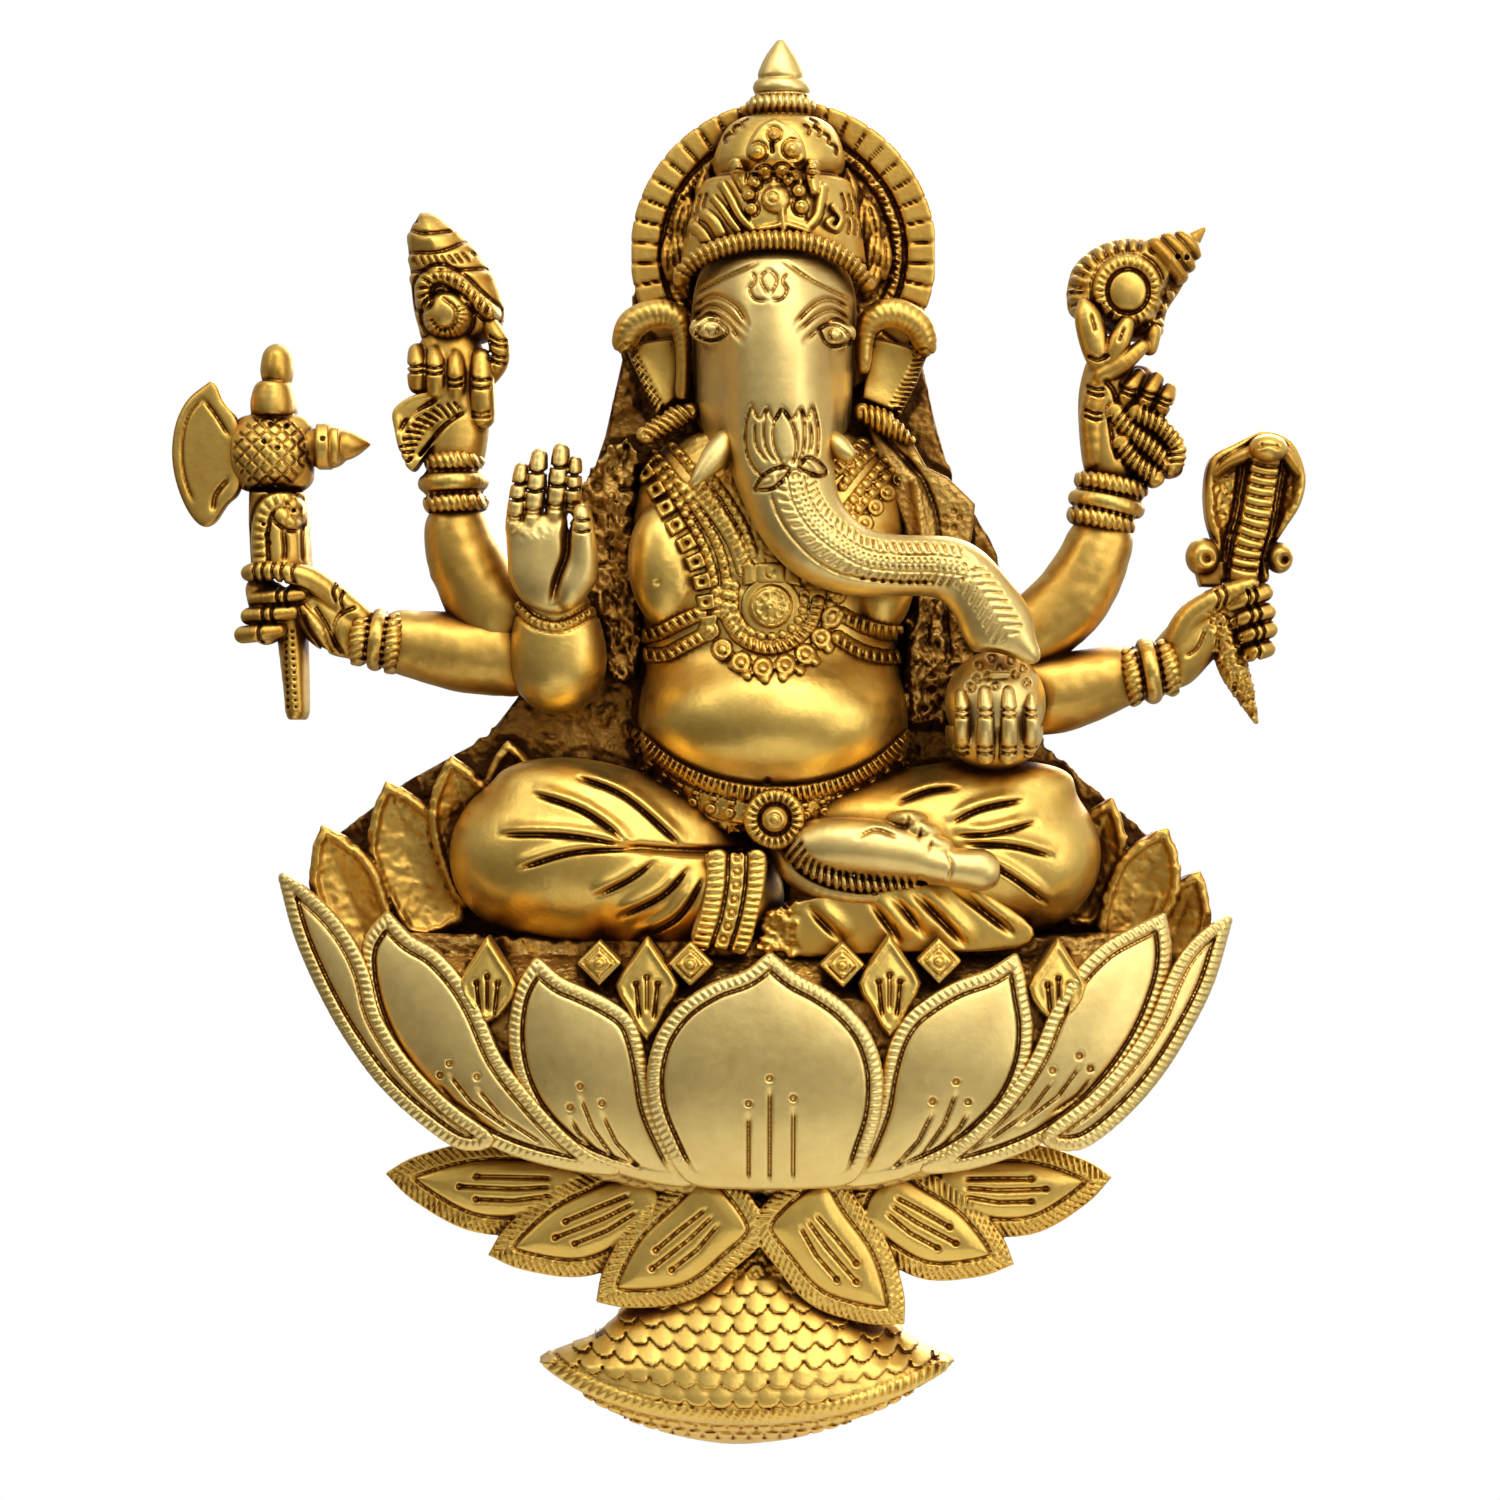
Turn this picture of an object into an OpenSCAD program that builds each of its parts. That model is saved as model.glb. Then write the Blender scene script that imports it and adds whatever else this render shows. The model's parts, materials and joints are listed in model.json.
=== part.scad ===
// Wall-hung brass relief of an elephant-headed deity seated on a lotus.
// The wall is the plane y = 0, the relief stands out from it towards -Y, and +Z is up.
// The origin is the middle of the keyhole's round hole, on the wall plane.
// Places are given as x, z and depth, the distance in front of the wall. Left and right are the viewer's.

/* [Backing] */
// Thickness of the cast backing plate
plate_t = 5; // [5:0.5:7]
// Wall thickness left round the hollows in the back
wall_t = 4.5; // [4:0.5:6]
// Radius of the halo's outer edge
halo_r = 32; // [30:0.5:34]
// Width of the halo's raised border
halo_w = 7; // [5:0.5:9]

/* [Hanger] */
// Length of the hanger strip
strip_l = 50; // [46:1:52]
// Height of the hanger strip
strip_h = 26; // [24:1:28]
// Thickness of the hanger strip
strip_t = 2; // [1.5:0.5:2.5]
// Radius of the keyhole's round hole
key_r = 4.25; // [4:0.25:5]
// Radius of the keyhole's slot
slot_r = 2.25; // [2:0.25:2.5]
// Rise from the round hole to the end of the slot
slot_rise = 7; // [6:0.5:8]
// Radius of a hanger screw's shank
screw_r = 1.5; // [1.25:0.25:2]
// Radius of a hanger screw's countersunk head
screw_head_r = 3; // [2.75:0.25:3.5]

/* [Figure] */
// Depth from the wall to the front of the belly
belly_d = 41; // [38:1:43]
// Depth from the wall to the front of the forehead
brow_d = 42; // [38:1:44]
// Depth from the wall to the middle of the trunk where it crosses the chest
trunk_d = 37; // [35:1:39]
// Depth from the wall to the middle of the four rear arms
arm_d = 12; // [11:0.5:14]
// Sides of each rounded form
sides = 12; // [10:2:14]

/* [Lotus] */
// Depth from the wall to the front of the middle petal
petal_d = 50; // [47:1:51]
// Thickness of a front petal at its middle
petal_t = 7; // [6:0.5:8]
// Depth from the wall to the front of the base mound
mound_d = 32; // [28:1:36]

/* [Colour] */
// Colour of the buffed metal
bright = "khaki"; // [khaki, darkkhaki, goldenrod]
// Colour of the patinated metal
aged = "goldenrod"; // [goldenrod, darkgoldenrod, peru]
// Colour of the steel screws
steel = "silver"; // [silver, lightgray]

/* [Hidden] */
$fn = 32;

mid = 1;
halo_at = [3, 17.5];
halo_t = 4;
strip_z = 3;
screw_x = strip_l / 2 - 4.5;
shank_end = plate_t - 0.5;
window = [30, 18];
window_z = 2.5;
window_d = 20;
screw_gap = 0.1;
gap = 0.03;

plate_outline = [
    [14, 42], [28, 34], [33, 18], [33, -4], [36, -18], [40, -32], [50, -46], [56, -70], [60, -92], [76, -104],
    [90, -116], [92, -131.5], [-98, -131.5], [-98, -110], [-80, -98], [-62, -88], [-54, -76], [-50, -56],
    [-42, -40], [-36, -22], [-32, -4], [-28, 18], [-22, 34], [-8, 42]
];

// The openings in the backing: behind the torso from z -94 to -38, and behind the legs from z -126 to -104.
torso_open = [mid - 22, mid + 22];
leg_open = [[-62, -10], [12, 58]];

// ---- forms -------------------------------------------------------------------------------------

// A station is [x, z, depth, half width, half depth]. Its ring stands square to the run of stations.
function run_at(s, i) = let (a = s[max(i - 1, 0)], b = s[min(i + 1, len(s) - 1)], d = [b[0] - a[0], b[1] - a[1]])
    d / norm(d);
function ring(st, run, back, straight) = [for (j = [0 : sides - 1])
    let (t = 90 + 360 * (j + 0.5) / sides, d = straight && sin(t) < 0 ? back : max(st[2] + st[4] * sin(t), back))
    [st[0] - run[1] * st[3] * cos(t), -d, st[1] + run[0] * st[3] * cos(t)]];

// A rounded form through its stations, flattened where it would pass behind the plane at depth back.
// A straight form has its sides run square to the wall from its middle back to that plane.
module loft(stations, back = plate_t, straight = false) {
    n = len(stations);
    points = [for (i = [0 : n - 1]) each ring(stations[i], run_at(stations, i), back, straight)];
    skin = [for (i = [0 : n - 2], j = [0 : sides - 1]) let (k = (j + 1) % sides, a = i * sides, b = a + sides)
        each [[a + j, b + j, b + k], [a + j, b + k, a + k]]];
    foot = [for (j = [0 : sides - 1]) j];
    top = [for (j = [sides - 1 : -1 : 0]) (n - 1) * sides + j];
    polyhedron(points, concat(skin, [foot, top]));
}

// The hollow inside a form, open towards the wall: the stations between its two ends, less the wall.
module hollow(stations) loft([for (i = [1 : len(stations) - 2]) let (s = stations[i])
    [s[0], s[1], s[2], s[3] - wall_t, s[4] - wall_t]], -1, true);

// A flat outline in x and z, from depth d0 to depth d1.
module slab(d0, d1) translate([0, -d0, 0]) rotate([90, 0, 0]) linear_extrude(d1 - d0) children();

// A round bar with its middle line square to the wall, from depth d0 to depth d1.
module boss(x, z, d0, d1, r) translate([x, -d0, z]) rotate([90, 0, 0]) cylinder(h = d1 - d0, r = r);

module ball(x, z, d, r) translate([x, -d, z]) sphere(r);

// A ring facing the viewer, of radius r and bar radius bar.
module hoop(x, z, d, r, bar) translate([x, -d, z]) rotate([90, 0, 0]) rotate_extrude() translate([r, 0]) circle(bar);

// A finger, toe or bar from one place to another, swelling to half width w in the middle.
module finger(a, b, w, back = plate_t) {
    shares = [0.45, 0.95, 1, 0.9, 0.4];
    loft([for (i = [0 : 4]) let (p = a + (b - a) * i / 4) [p[0], p[1], p[2], w * shares[i], w * shares[i]]], back);
}

// A rope or bar of even half width through places [x, z, depth].
module cord(places, w, back = 0) loft([for (p = places) [p[0], p[1], p[2], w, w]], back);

// A petal with a flat back at depth back, from foot to tip, widest at the share peak of its length.
module petal(foot, tip, w, back, front, peak = 0.45, foot_share = 0.45) {
    steps = 8;
    loft([for (i = [0 : steps]) let (t = i / steps, p = foot + (tip - foot) * t,
        share = t < peak ? foot_share + (1 - foot_share) * sin(90 * t / peak) : cos(88 * (t - peak) / (1 - peak)))
        [p[0], p[1], back, max(w * share, 0.8), (front - back) * max(share, 0.35)]], back);
}

// Places evenly spaced along a line of places.
function reach(p, i) = i == 0 ? 0 : reach(p, i - 1) + norm(p[i] - p[i - 1]);
function at_length(p, s, i = 1) = (i == len(p) - 1 || s <= reach(p, i))
    ? p[i - 1] + (p[i] - p[i - 1]) * (s - reach(p, i - 1)) / norm(p[i] - p[i - 1]) : at_length(p, s, i + 1);
function spaced(p, n) = [for (i = [0 : n - 1]) at_length(p, reach(p, len(p) - 1) * i / (n - 1))];

// ---- backing and hanger ------------------------------------------------------------------------

module hang_window(d0, d1) slab(d0, d1) translate([0, window_z]) square(window, center = true);

// The part of the backing between two x places and two z places.
module backing(x0, x1, z0, z1) slab(0, plate_t) intersection() {
    polygon(plate_outline);
    translate([x0, z0]) square([x1 - x0, z1 - z0]);
}

module back_plate() color(aged) difference() {
    backing(-60, 60, -38, 42);
    slab(-1, strip_t) translate([0, strip_z]) square([strip_l, strip_h], center = true);
    hang_window(strip_t - 1, plate_t + 1);
    for (s = [-1, 1]) boss(s * screw_x, strip_z, strip_t - 1, shank_end, screw_r);
}

module plate_left() color(aged) backing(-100, torso_open[0], -94, -38);
module plate_right() color(aged) backing(torso_open[1], 100, -94, -38);
module seat_rail() color(aged) backing(-100, 100, -104, -94);
module seat_post_left() color(aged) backing(-100, leg_open[0][0], -126, -104);
module seat_post_middle() color(aged) backing(leg_open[0][1], leg_open[1][0], -126, -104);
module seat_post_right() color(aged) backing(leg_open[1][1], 100, -126, -104);
module seat_sill() color(aged) backing(-100, 100, -131.5, -126);

module countersink() translate([0, 0.01, 0]) rotate([90, 0, 0])
    cylinder(h = strip_t + 0.02, r1 = screw_head_r, r2 = screw_r);

module hanger_plate() color(aged) difference() {
    slab(0, strip_t) difference() {
        translate([0, strip_z]) square([strip_l, strip_h], center = true);
        circle(key_r);
        translate([-slot_r, 0]) square([2 * slot_r, slot_rise]);
        translate([0, slot_rise]) circle(slot_r);
    }
    for (s = [-1, 1]) translate([s * screw_x, 0, strip_z]) countersink();
}

module hanger_screws() color(steel) for (s = [-1, 1]) {
    translate([s * screw_x, 0, strip_z]) rotate([90, 0, 0]) rotate_extrude()
        polygon([[0, 0.4], [1, 0.4], [1, 0], [screw_head_r - screw_gap, 0], [screw_r, strip_t],
            [screw_r, shank_end], [0, shank_end]]);
}

module halo() color(aged) difference() {
    translate([halo_at[0], -plate_t, halo_at[1]]) rotate([90, 0, 0]) union() {
        cylinder(h = halo_t, r = halo_r - 1);
        rotate_extrude() translate([halo_r - halo_w, 0])
            polygon([[0, halo_t - 1], [0, halo_t + 1], [1, halo_t + 2], [halo_w - 1, halo_t + 1],
                [halo_w, halo_t - 1], [halo_w, 1], [halo_w - 1, 0], [halo_w - 2, 0]]);
    }
    hang_window(plate_t - 1, plate_t + halo_t + 3);
}

// ---- crown -------------------------------------------------------------------------------------

module crown() color(aged) loft([
    [mid + 0.5, 16, 15, 22, 17], [mid + 0.5, 22, 15, 20, 18], [mid + 0.5, 29, 15, 18.5, 18],
    [mid + 0.5, 33, 15, 17, 15], [mid + 0.5, 34.5, 15, 14.5, 14], [mid + 1, 40, 15, 14, 13],
    [mid + 1, 45, 15, 11.5, 11], [mid + 1.5, 49, 15, 7, 7]
], plate_t + halo_t);

module crown_finial() color(bright) translate([mid + 1.5, -15, 0]) rotate_extrude()
    polygon([[0, 47], [6, 47], [7.2, 49], [7.2, 51], [5.6, 52], [6, 54], [4.8, 55.5], [4.8, 56.5], [3.4, 60],
        [1.6, 62.8], [0, 63.4]]);

module crown_crest() color(aged) {
    slab(28, 34) polygon([[mid, 44], [-4, 39], [-9, 35], [-12, 29], [-16, 24], [-13, 18.5], [15, 18.5],
        [18, 24], [14, 29], [11, 35], [6, 39]]);
    for (s = [-1, 1], i = [0 : 2]) ball(mid + s * (4 + 3.5 * i), 37 - 6 * i, 34, 2.4);
    ball(mid, 28, 34, 3.2);
    ball(mid, 36, 34, 2.4);
}

module brow_band() color(aged) cord([
    [-19, 11, 20], [-16, 15, 28], [-8, 17.5, 34], [0.5, 18.5, 36], [9, 17.5, 34], [18, 14, 28], [21, 10, 20]
], 2);

// ---- head --------------------------------------------------------------------------------------

head_stations = [
    [mid, 16, 13, 15, 20], [mid, 11, 13, 18, 27], [mid, 0, 13, 18.5, brow_d - 13], [mid, -10, 14, 17.5, 28],
    [mid, -17, 17, 15.2, 26]
];
trunk_stations = [
    [2, -26, 24, 11.5, 20], [3.2, -34, 32, 8.8, 12], [6, -41, 36, 7.8, 8.5], [11, -46.5, trunk_d, 7.2, 7],
    [18, -50.5, trunk_d, 6.2, 6.2], [28, -51.8, trunk_d, 5, 5.4], [37, -52, trunk_d, 4.6, 5],
    [43, -55.5, trunk_d, 4.6, 5], [47.5, -62, trunk_d + 1, 4.8, 5], [51.5, -68, trunk_d + 2, 5.4, 4.6],
    [55, -71, trunk_d + 2.5, 2, 2.6]
];

module head_and_trunk() color(bright) difference() {
    loft(concat(head_stations, trunk_stations), plate_t + halo_t);
    hollow(head_stations);
    hang_window(0, window_d);
}

module tusk_left() color(bright) loft([
    [-8.5, -24.5, 33, 3, 3], [-11.5, -28, 35, 2.6, 2.6], [-14.5, -31.5, 36, 1.8, 1.8], [-16.5, -34, 36.5, 0.5, 0.5]
]);

module tusk_right() color(bright) loft([
    [11, -24, 33, 2.8, 2.8], [14, -25.5, 35, 2.5, 2.5], [17, -27, 36, 2.2, 2.2], [17.8, -27.4, 36.3, 1.2, 1.2]
]);

// The ear's hanging panel, its folded top and the rib along its inner edge; s is -1 for the left ear.
ear_d = 15;
module ear(s) {
    slab(plate_t + 2, ear_d) polygon([for (p = [[18, 2], [31, -1], [32.5, -9], [32, -17], [26, -19.5], [19, -17]])
        [mid + s * p[0], p[1]]]);
    cord([for (p = [[18, 4.5], [24, 3.5], [30, 0.5], [34, -4]]) [mid + s * p[0], p[1], ear_d + 1]], 3, ear_d + gap);
    cord([for (p = [[21, -2], [21.5, -9], [21, -16]]) [mid + s * p[0], p[1], ear_d + 0.5]], 1.6, ear_d + gap);
}

module ear_left() color(aged) ear(-1);
module ear_right() color(aged) ear(1);

// ---- body --------------------------------------------------------------------------------------

torso_stations = [
    [mid - 1, -23, 10, 22, 12], [mid - 1, -31, 10, 29, 17], [mid - 1, -43, 10, 31, 20], [mid - 1, -56, 10, 29.5, 21],
    [mid - 1, -65, 10, 28.5, 22], [mid, -74, 10, 29.5, belly_d - 13], [mid, -84, 10, 30, belly_d - 10],
    [mid, -93, 10, 28.5, belly_d - 13], [mid, -101, 10, 24, 21]
];

module torso() color(aged) difference() {
    loft(torso_stations);
    hollow(torso_stations);
}

module shawl_left() color(aged) slab(plate_t, 17) polygon([
    [-34, -24], [-40, -32], [-43, -44], [-38, -60], [-33, -72], [-30, -72], [-31, -56], [-32, -42]
]);

module shawl_right() color(aged) slab(plate_t, 19) polygon([
    [33, -26], [40, -29], [45, -34], [45, -58], [40, -72], [36, -84], [31, -84], [32, -60], [33, -42]
]);

link_path = [
    [-29, -27.5, 19], [-21, -40, 28], [-15.5, -49.5, 30.5], [-13, -60, 32], [-10, -67.5, 34], [0, -72, 37.5],
    [9, -69.5, 35.5], [13.5, -60, 32.5], [19, -47, 30], [25, -36, 26], [29, -28, 20]
];

module link_necklace() color(aged) for (p = spaced(link_path, 21))
    slab(p[2] - 2.5, p[2] + 1.5) translate([p[0], p[1]]) rotate(p[0] * 2) square(3.6, center = true);

bead_path = [
    [-24, -26, 21], [-17.5, -37, 28.5], [-11, -47, 32], [-8, -55, 33], [0, -65.5, 34.5], [8, -60, 33.5],
    [12, -51, 32.5]
];

module bead_necklace() color(aged) for (p = spaced(bead_path, 21))
    boss(p[0], p[1], p[2] - 1.5, p[2] + 1.3, 1.35);

module pendant() color(aged) {
    boss(0, -59, 31, 34, 4.6);
    hoop(0, -59, 34, 4.2, 0.8);
    ball(0, -59, 34, 1.8);
}

module chest_ropes() color(aged) for (s = [-1, 1], i = [0, 1])
    cord([for (p = [[14.5, -64.5, 31], [20, -66, 29], [25, -67.5, 25], [28.5, -68.5, 20]])
        [mid + s * p[0], p[1] - 3.8 * i, p[2]]], 1.3);

belt_path = [
    [-29, -88, 25], [-22, -93.5, 31], [-12, -98, 34.5], [mid, -100, 36], [14, -98, 34.5], [24, -93.5, 31],
    [31, -88, 25]
];

module belt() color(aged) {
    cord(belt_path, 1.8);
    for (p = spaced([for (q = belt_path) q + [0, -5.2, -1]], 20)) ball(p[0], p[1], p[2], 1.5);
}

module belt_buckle() color(bright) {
    boss(mid, -105.5, 28, 37, 5.6);
    hoop(mid, -105.5, 37, 5, 0.9);
    ball(mid, -105.5, 37.5, 2.8);
}

// ---- rear arms ---------------------------------------------------------------------------------

module arm_conch() color(aged) loft([
    [-47, -60, arm_d, 8, 7], [-56, -60, arm_d, 8.5, 8], [-63, -55, arm_d, 8.5, 9], [-67, -47, arm_d, 8, 9],
    [-69, -39, arm_d, 7, 8]
]);

module arm_axe() color(aged) loft([
    [-46, -70.5, arm_d, 8.5, 7], [-56, -70, arm_d, 9, 9], [-68, -68.5, arm_d, 8.5, 9], [-79, -66.5, arm_d, 7, 8]
]);

module arm_shell() color(aged) loft([
    [45, -68, arm_d, 8, 7], [54, -66, arm_d, 8.5, 8.5], [63, -60, arm_d, 8.5, 9], [70, -52, arm_d, 8, 9],
    [73.5, -43, arm_d, 7.2, 8]
]);

module arm_cobra() color(aged) loft([
    [47, -79, arm_d, 8.5, 7], [57, -80, arm_d, 9, 9], [67, -79, arm_d, 8.5, 9], [76, -76, arm_d, 7.4, 8]
]);

// Three rings on a wrist, stepping from one place to the next.
module bangles(first, step, w) for (i = [0 : 2]) let (p = first + step * i) loft([
    [p[0] - step[0] * 0.42, p[1] - step[1] * 0.42, arm_d, w - 1, w - 0.5],
    [p[0] - step[0] * 0.2, p[1] - step[1] * 0.2, arm_d, w, w + 0.5],
    [p[0] + step[0] * 0.2, p[1] + step[1] * 0.2, arm_d, w, w + 0.5],
    [p[0] + step[0] * 0.42, p[1] + step[1] * 0.42, arm_d, w - 1, w - 0.5]
]);

module bangles_conch() color(aged) bangles([-69, -37, 0], [-0.3, 4.2, 0], 7.8);
module bangles_axe() color(aged) bangles([-81, -66.2, 0], [-4, 0.8, 0], 7.8);
module bangles_shell() color(aged) bangles([74, -41, 0], [1, 4.2, 0], 8.8);
module bangles_cobra() color(aged) bangles([78.5, -75, 0], [4, 1.2, 0], 8.4);

// The palm's front; fingers lie on it.
palm_d = 18.5;

module hand_conch() color(aged) {
    loft([[-69.5, -26.5, arm_d, 6, 6], [-70, -20, 13, 7.5, 5.4], [-71, -12, 13, 8.5, 5.4], [-72, -3, 13, 8, 5]]);
    for (i = [0 : 3]) finger([-79 + 4.2 * i, -12.5, palm_d + 1], [-79 + 4.2 * i, -2.5, palm_d + 1], 2, palm_d);
    loft([[-67, -16, palm_d, 2.5, 3], [-72, -20, palm_d, 4, 3.5], [-78, -24.5, palm_d, 3.6, 3], [-81, -28, palm_d, 1, 1]],
        palm_d);
}

module hand_axe() color(aged) {
    loft([[-91, -64, arm_d, 5.5, 6], [-97, -60, 13, 7.5, 5.4], [-104, -57, 13, 7, 5], [-109, -55, 13, 5, 4]]);
    for (i = [0 : 2]) finger([-97, -60.5 - 4.2 * i, palm_d + 1.5], [-113.5, -59.5 - 4.2 * i, palm_d + 1], 2, palm_d);
    finger([-95, -55, palm_d + 1.5], [-115, -53.5, palm_d + 1], 2.3, palm_d);
}

module hand_shell() color(aged) {
    loft([[77, -27.5, arm_d, 6, 6], [78, -20, 13, 7.5, 5.4], [76, -10, 13, 7, 5.4], [73, -2, 13, 5, 4.5]]);
    finger([73, -10, palm_d + 1], [67, 7, palm_d + 1], 2.5, palm_d);
    finger([79, -9.5, palm_d + 1], [81, 3, palm_d + 1], 2.5, palm_d);
    for (i = [0 : 2]) finger([77, -15 - 4.6 * i, palm_d + 1], [89, -12.5 - 4.8 * i, palm_d + 1], 2, palm_d);
}

module hand_cobra() color(aged) {
    loft([[89, -70.5, arm_d, 6, 6], [95, -66, 13, 7.5, 5.4], [101, -62, 13, 6.5, 5], [105, -58, 13, 4, 4]]);
    for (i = [0 : 3]) finger([99, -59 - 4.3 * i, palm_d + 1], [109, -58 - 4.3 * i, palm_d + 1], 2, palm_d);
    finger([92, -57.5, palm_d + 1], [104, -53.5, palm_d + 1], 2.1, palm_d);
}

// ---- attributes --------------------------------------------------------------------------------

module conch() color(aged) {
    loft([
        [-75.5, 26, arm_d, 1, 1.2], [-75.2, 21, arm_d, 3.6, 4], [-74, 14, arm_d, 6.2, 6], [-71.5, 7, arm_d, 9.5, 7],
        [-70.5, 1, arm_d, 10, 7], [-71.5, -2.4, arm_d, 6, 5]
    ]);
    hoop(-69.5, 3.5, arm_d + 7 + 1.6 + gap, 4, 1.6);
    ball(-69.5, 3.5, arm_d + 7 + 1.8 + gap, 1.8);
}

haft_x = -108;

module axe_haft() color(aged) union() {
    translate([haft_x, -arm_d, 0]) rotate_extrude()
        polygon([[0, -84], [1.6, -84], [3.4, -63.5], [5.8, -51], [6, -35], [4.6, -34], [7, -31], [8.3, -26], [7, -21],
            [4.8, -18.5], [5, -10.5], [3.6, -10], [3.6, -5], [2.4, -3.4], [0, -2.8]]);
    translate([haft_x, -arm_d, -25.5]) rotate([0, 90, 0]) rotate_extrude()
        polygon([[0, 2], [4, 2], [4, 9], [5, 10], [5, 14.5], [2.4, 15], [2.8, 17], [0.3, 21], [0, 21]]);
}

module axe_blade() color(aged) slab(arm_d - 3, arm_d + 3) polygon(concat(
    [for (i = [-4 : 4]) [-107.5 - 22.5 * cos(10 * i), -26 - 23 * sin(10.5 * i)]],
    [[-117.5, -35], [-115.7, -30], [-115.7, -22], [-117.5, -17]]));

module ridged_shell() color(aged) {
    loft([
        [68, 1, arm_d, 3, 4], [71, 4, arm_d, 8, 6], [76, 9, arm_d, 10.5, 7], [82, 14, arm_d, 8.5, 7],
        [88, 18.5, arm_d, 5.5, 5.5], [92, 21, arm_d, 3, 3.5], [94.5, 22.5, arm_d, 1, 1.2]
    ]);
    hoop(78, 8.5, arm_d + 7 + 1.6 + gap, 5, 1.6);
    ball(78, 8.5, arm_d + 7 + 2.8 + gap, 2.8);
}

module cobra() color(aged) {
    loft([
        [108.5, -21.8, 13, 4, 4], [108, -25, 13, 8.6, 5], [106.5, -32, 13, 10.6, 5], [105, -40, 13, 9.4, 5],
        [103.5, -47, 13, 7.5, 5], [102.5, -53, 13, 5.5, 5]
    ]);
    loft([for (p = [[108.6, -21.5, 2, 2.6], [108.2, -24, 4, 4.6], [107.6, -27, 3.8, 4.4], [106.6, -30, 2.6, 2.8],
        [105, -40, 3.9, 3], [103, -52, 3.2, 2.6]]) [p[0], p[1], 18 + gap, p[2], p[3]]], 18 + gap);
    for (s = [-1, 1]) hoop(102.8 + s * 10.4, -50.5, 15, 2.2, 1.4);
    loft([[99.5, -72, arm_d, 3.4, 3.4], [102, -78, arm_d, 3, 3], [105.5, -85, arm_d, 0.6, 0.8]]);
}

// ---- front hands -------------------------------------------------------------------------------

module blessing_forearm() color(aged) loft([
    [-47, -57, 20, 6, 7], [-46.5, -63, 19, 9, 9], [-46, -71, 17, 10.5, 11], [-45.5, -78, 15, 8.5, 9],
    [-45, -83, 13, 4, 5]
]);

module blessing_hand() color(bright) {
    loft([
        [-46.5, -61, 27, 5, 4], [-46.8, -56, 28.5, 8, 5], [-47, -49, 29, 9, 5], [-47, -43, 28.5, 9.2, 4.5],
        [-47, -41, 28, 8.4, 3]
    ], 22);
    for (f = [[-54, -29], [-49.7, -25.6], [-45.2, -24.6], [-41.2, -28]])
        finger([f[0] * 0.95 - 2.4, -40.2, 27.8], [f[0], f[1], 27.5], 2.1, 22);
    finger([-41, -54, 34.5], [-40.3, -38.5, 34.5], 2.4, 34 + gap);
}

module sweet() color(aged) ball(49, -79.5, 25, 11);

module sweet_hand() color(bright) {
    loft([[37, -88, 12, 7, 6], [43, -91, 15, 8, 8], [49, -93.5, 20, 6, 9], [54, -94, 22, 3, 5]]);
    for (i = [0 : 3]) finger([41 + 5 * i, -92.5, 33], [40.8 + 5.1 * i, -76.5, 36.5], 2.5);
}

// ---- legs --------------------------------------------------------------------------------------

left_leg_stations = [
    [-69, -114, 15, 8, 7], [-65, -114, 15, 14, 14], [-56, -113.5, 15, 18.5, 18], [-42, -113.5, 15, 20, 20],
    [-27, -117, 15, 18, 20], [-14, -121, 15, 15, 19], [-4, -124, 15, 11.5, 17], [1, -125, 15, 9, 13]
];

module leg_left() color(aged) difference() {
    loft(left_leg_stations, plate_t, true);
    hollow(left_leg_stations);
}

right_leg_stations = [
    [71, -115, 15, 8, 7], [67, -115, 15, 14, 13], [58, -114, 15, 18, 17], [44, -112, 15, 18, 19],
    [30, -110, 15, 14.5, 19], [16, -107, 15, 10, 17], [6, -105, 15, 6, 12]
];

module leg_right() color(aged) difference() {
    loft(right_leg_stations, plate_t, true);
    hollow(right_leg_stations);
}

module foot() color(bright) {
    loft([
        [2.5, -113.5, 27, 3, 5], [8, -112.5, 31, 5.5, 7], [18, -112.5, 33, 6.8, 7.5], [29, -113.5, 33, 6, 7],
        [36, -115, 33, 5, 5.5], [42, -116.5, 33, 3, 4]
    ], 20);
    for (i = [0 : 2]) finger([32 + 2.6 * i, -108.4 - 2.9 * i, 40.2], [38 + 2.2 * i, -106.5 - 3.3 * i, 40], 1.4, 40);
    cord([[4, -119.2, 30], [10, -120.4, 31], [20, -121.4, 31], [30, -121.4, 31], [36, -122, 30]], 1.3);
}

module hem_bands() color(aged) for (i = [0 : 3])
    cord([for (p = [[-13, -113, 33], [-13.6, -120, 35.5], [-14.5, -127, 33.5], [-15, -132, 29]])
        [p[0] + 4.2 * i, p[1] - 0.6 * i, p[2] - 0.7 * i]], 1.7);

module sash_pleats() color(aged) {
    slab(20, 28) polygon([[2, -124.5], [38, -121], [53, -129], [50, -133], [0, -134]]);
    for (i = [0 : 6]) cord([[5 + 6.4 * i, -123.8 + 0.4 * i, 29], [9 + 6.4 * i, -132.5, 29]], 1.8, 28 + gap);
}

// ---- lotus and base ----------------------------------------------------------------------------

bowl_d = 28;
bowl_stations = [
    [mid - 3, -187, 8, 34, 20], [mid - 3, -182, 8, 52, 23], [mid - 3, -174, 8, 68, 26], [mid - 3, -160, 8, 84, bowl_d],
    [mid - 3, -144, 8, 93, bowl_d], [mid - 3, -137, 8, 96, bowl_d - 1], [mid - 3, -131.5, 8, 98, bowl_d - 2]
];

module lotus_bowl() color(aged) difference() {
    loft(bowl_stations, 0, true);
    hollow(bowl_stations);
}

// A front petal whose face stands at depth front.
module front_petal(foot, tip, w, front, peak = 0.48, foot_share = 0.45)
    petal(foot, tip, w, front - petal_t, front, peak, foot_share);

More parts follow.
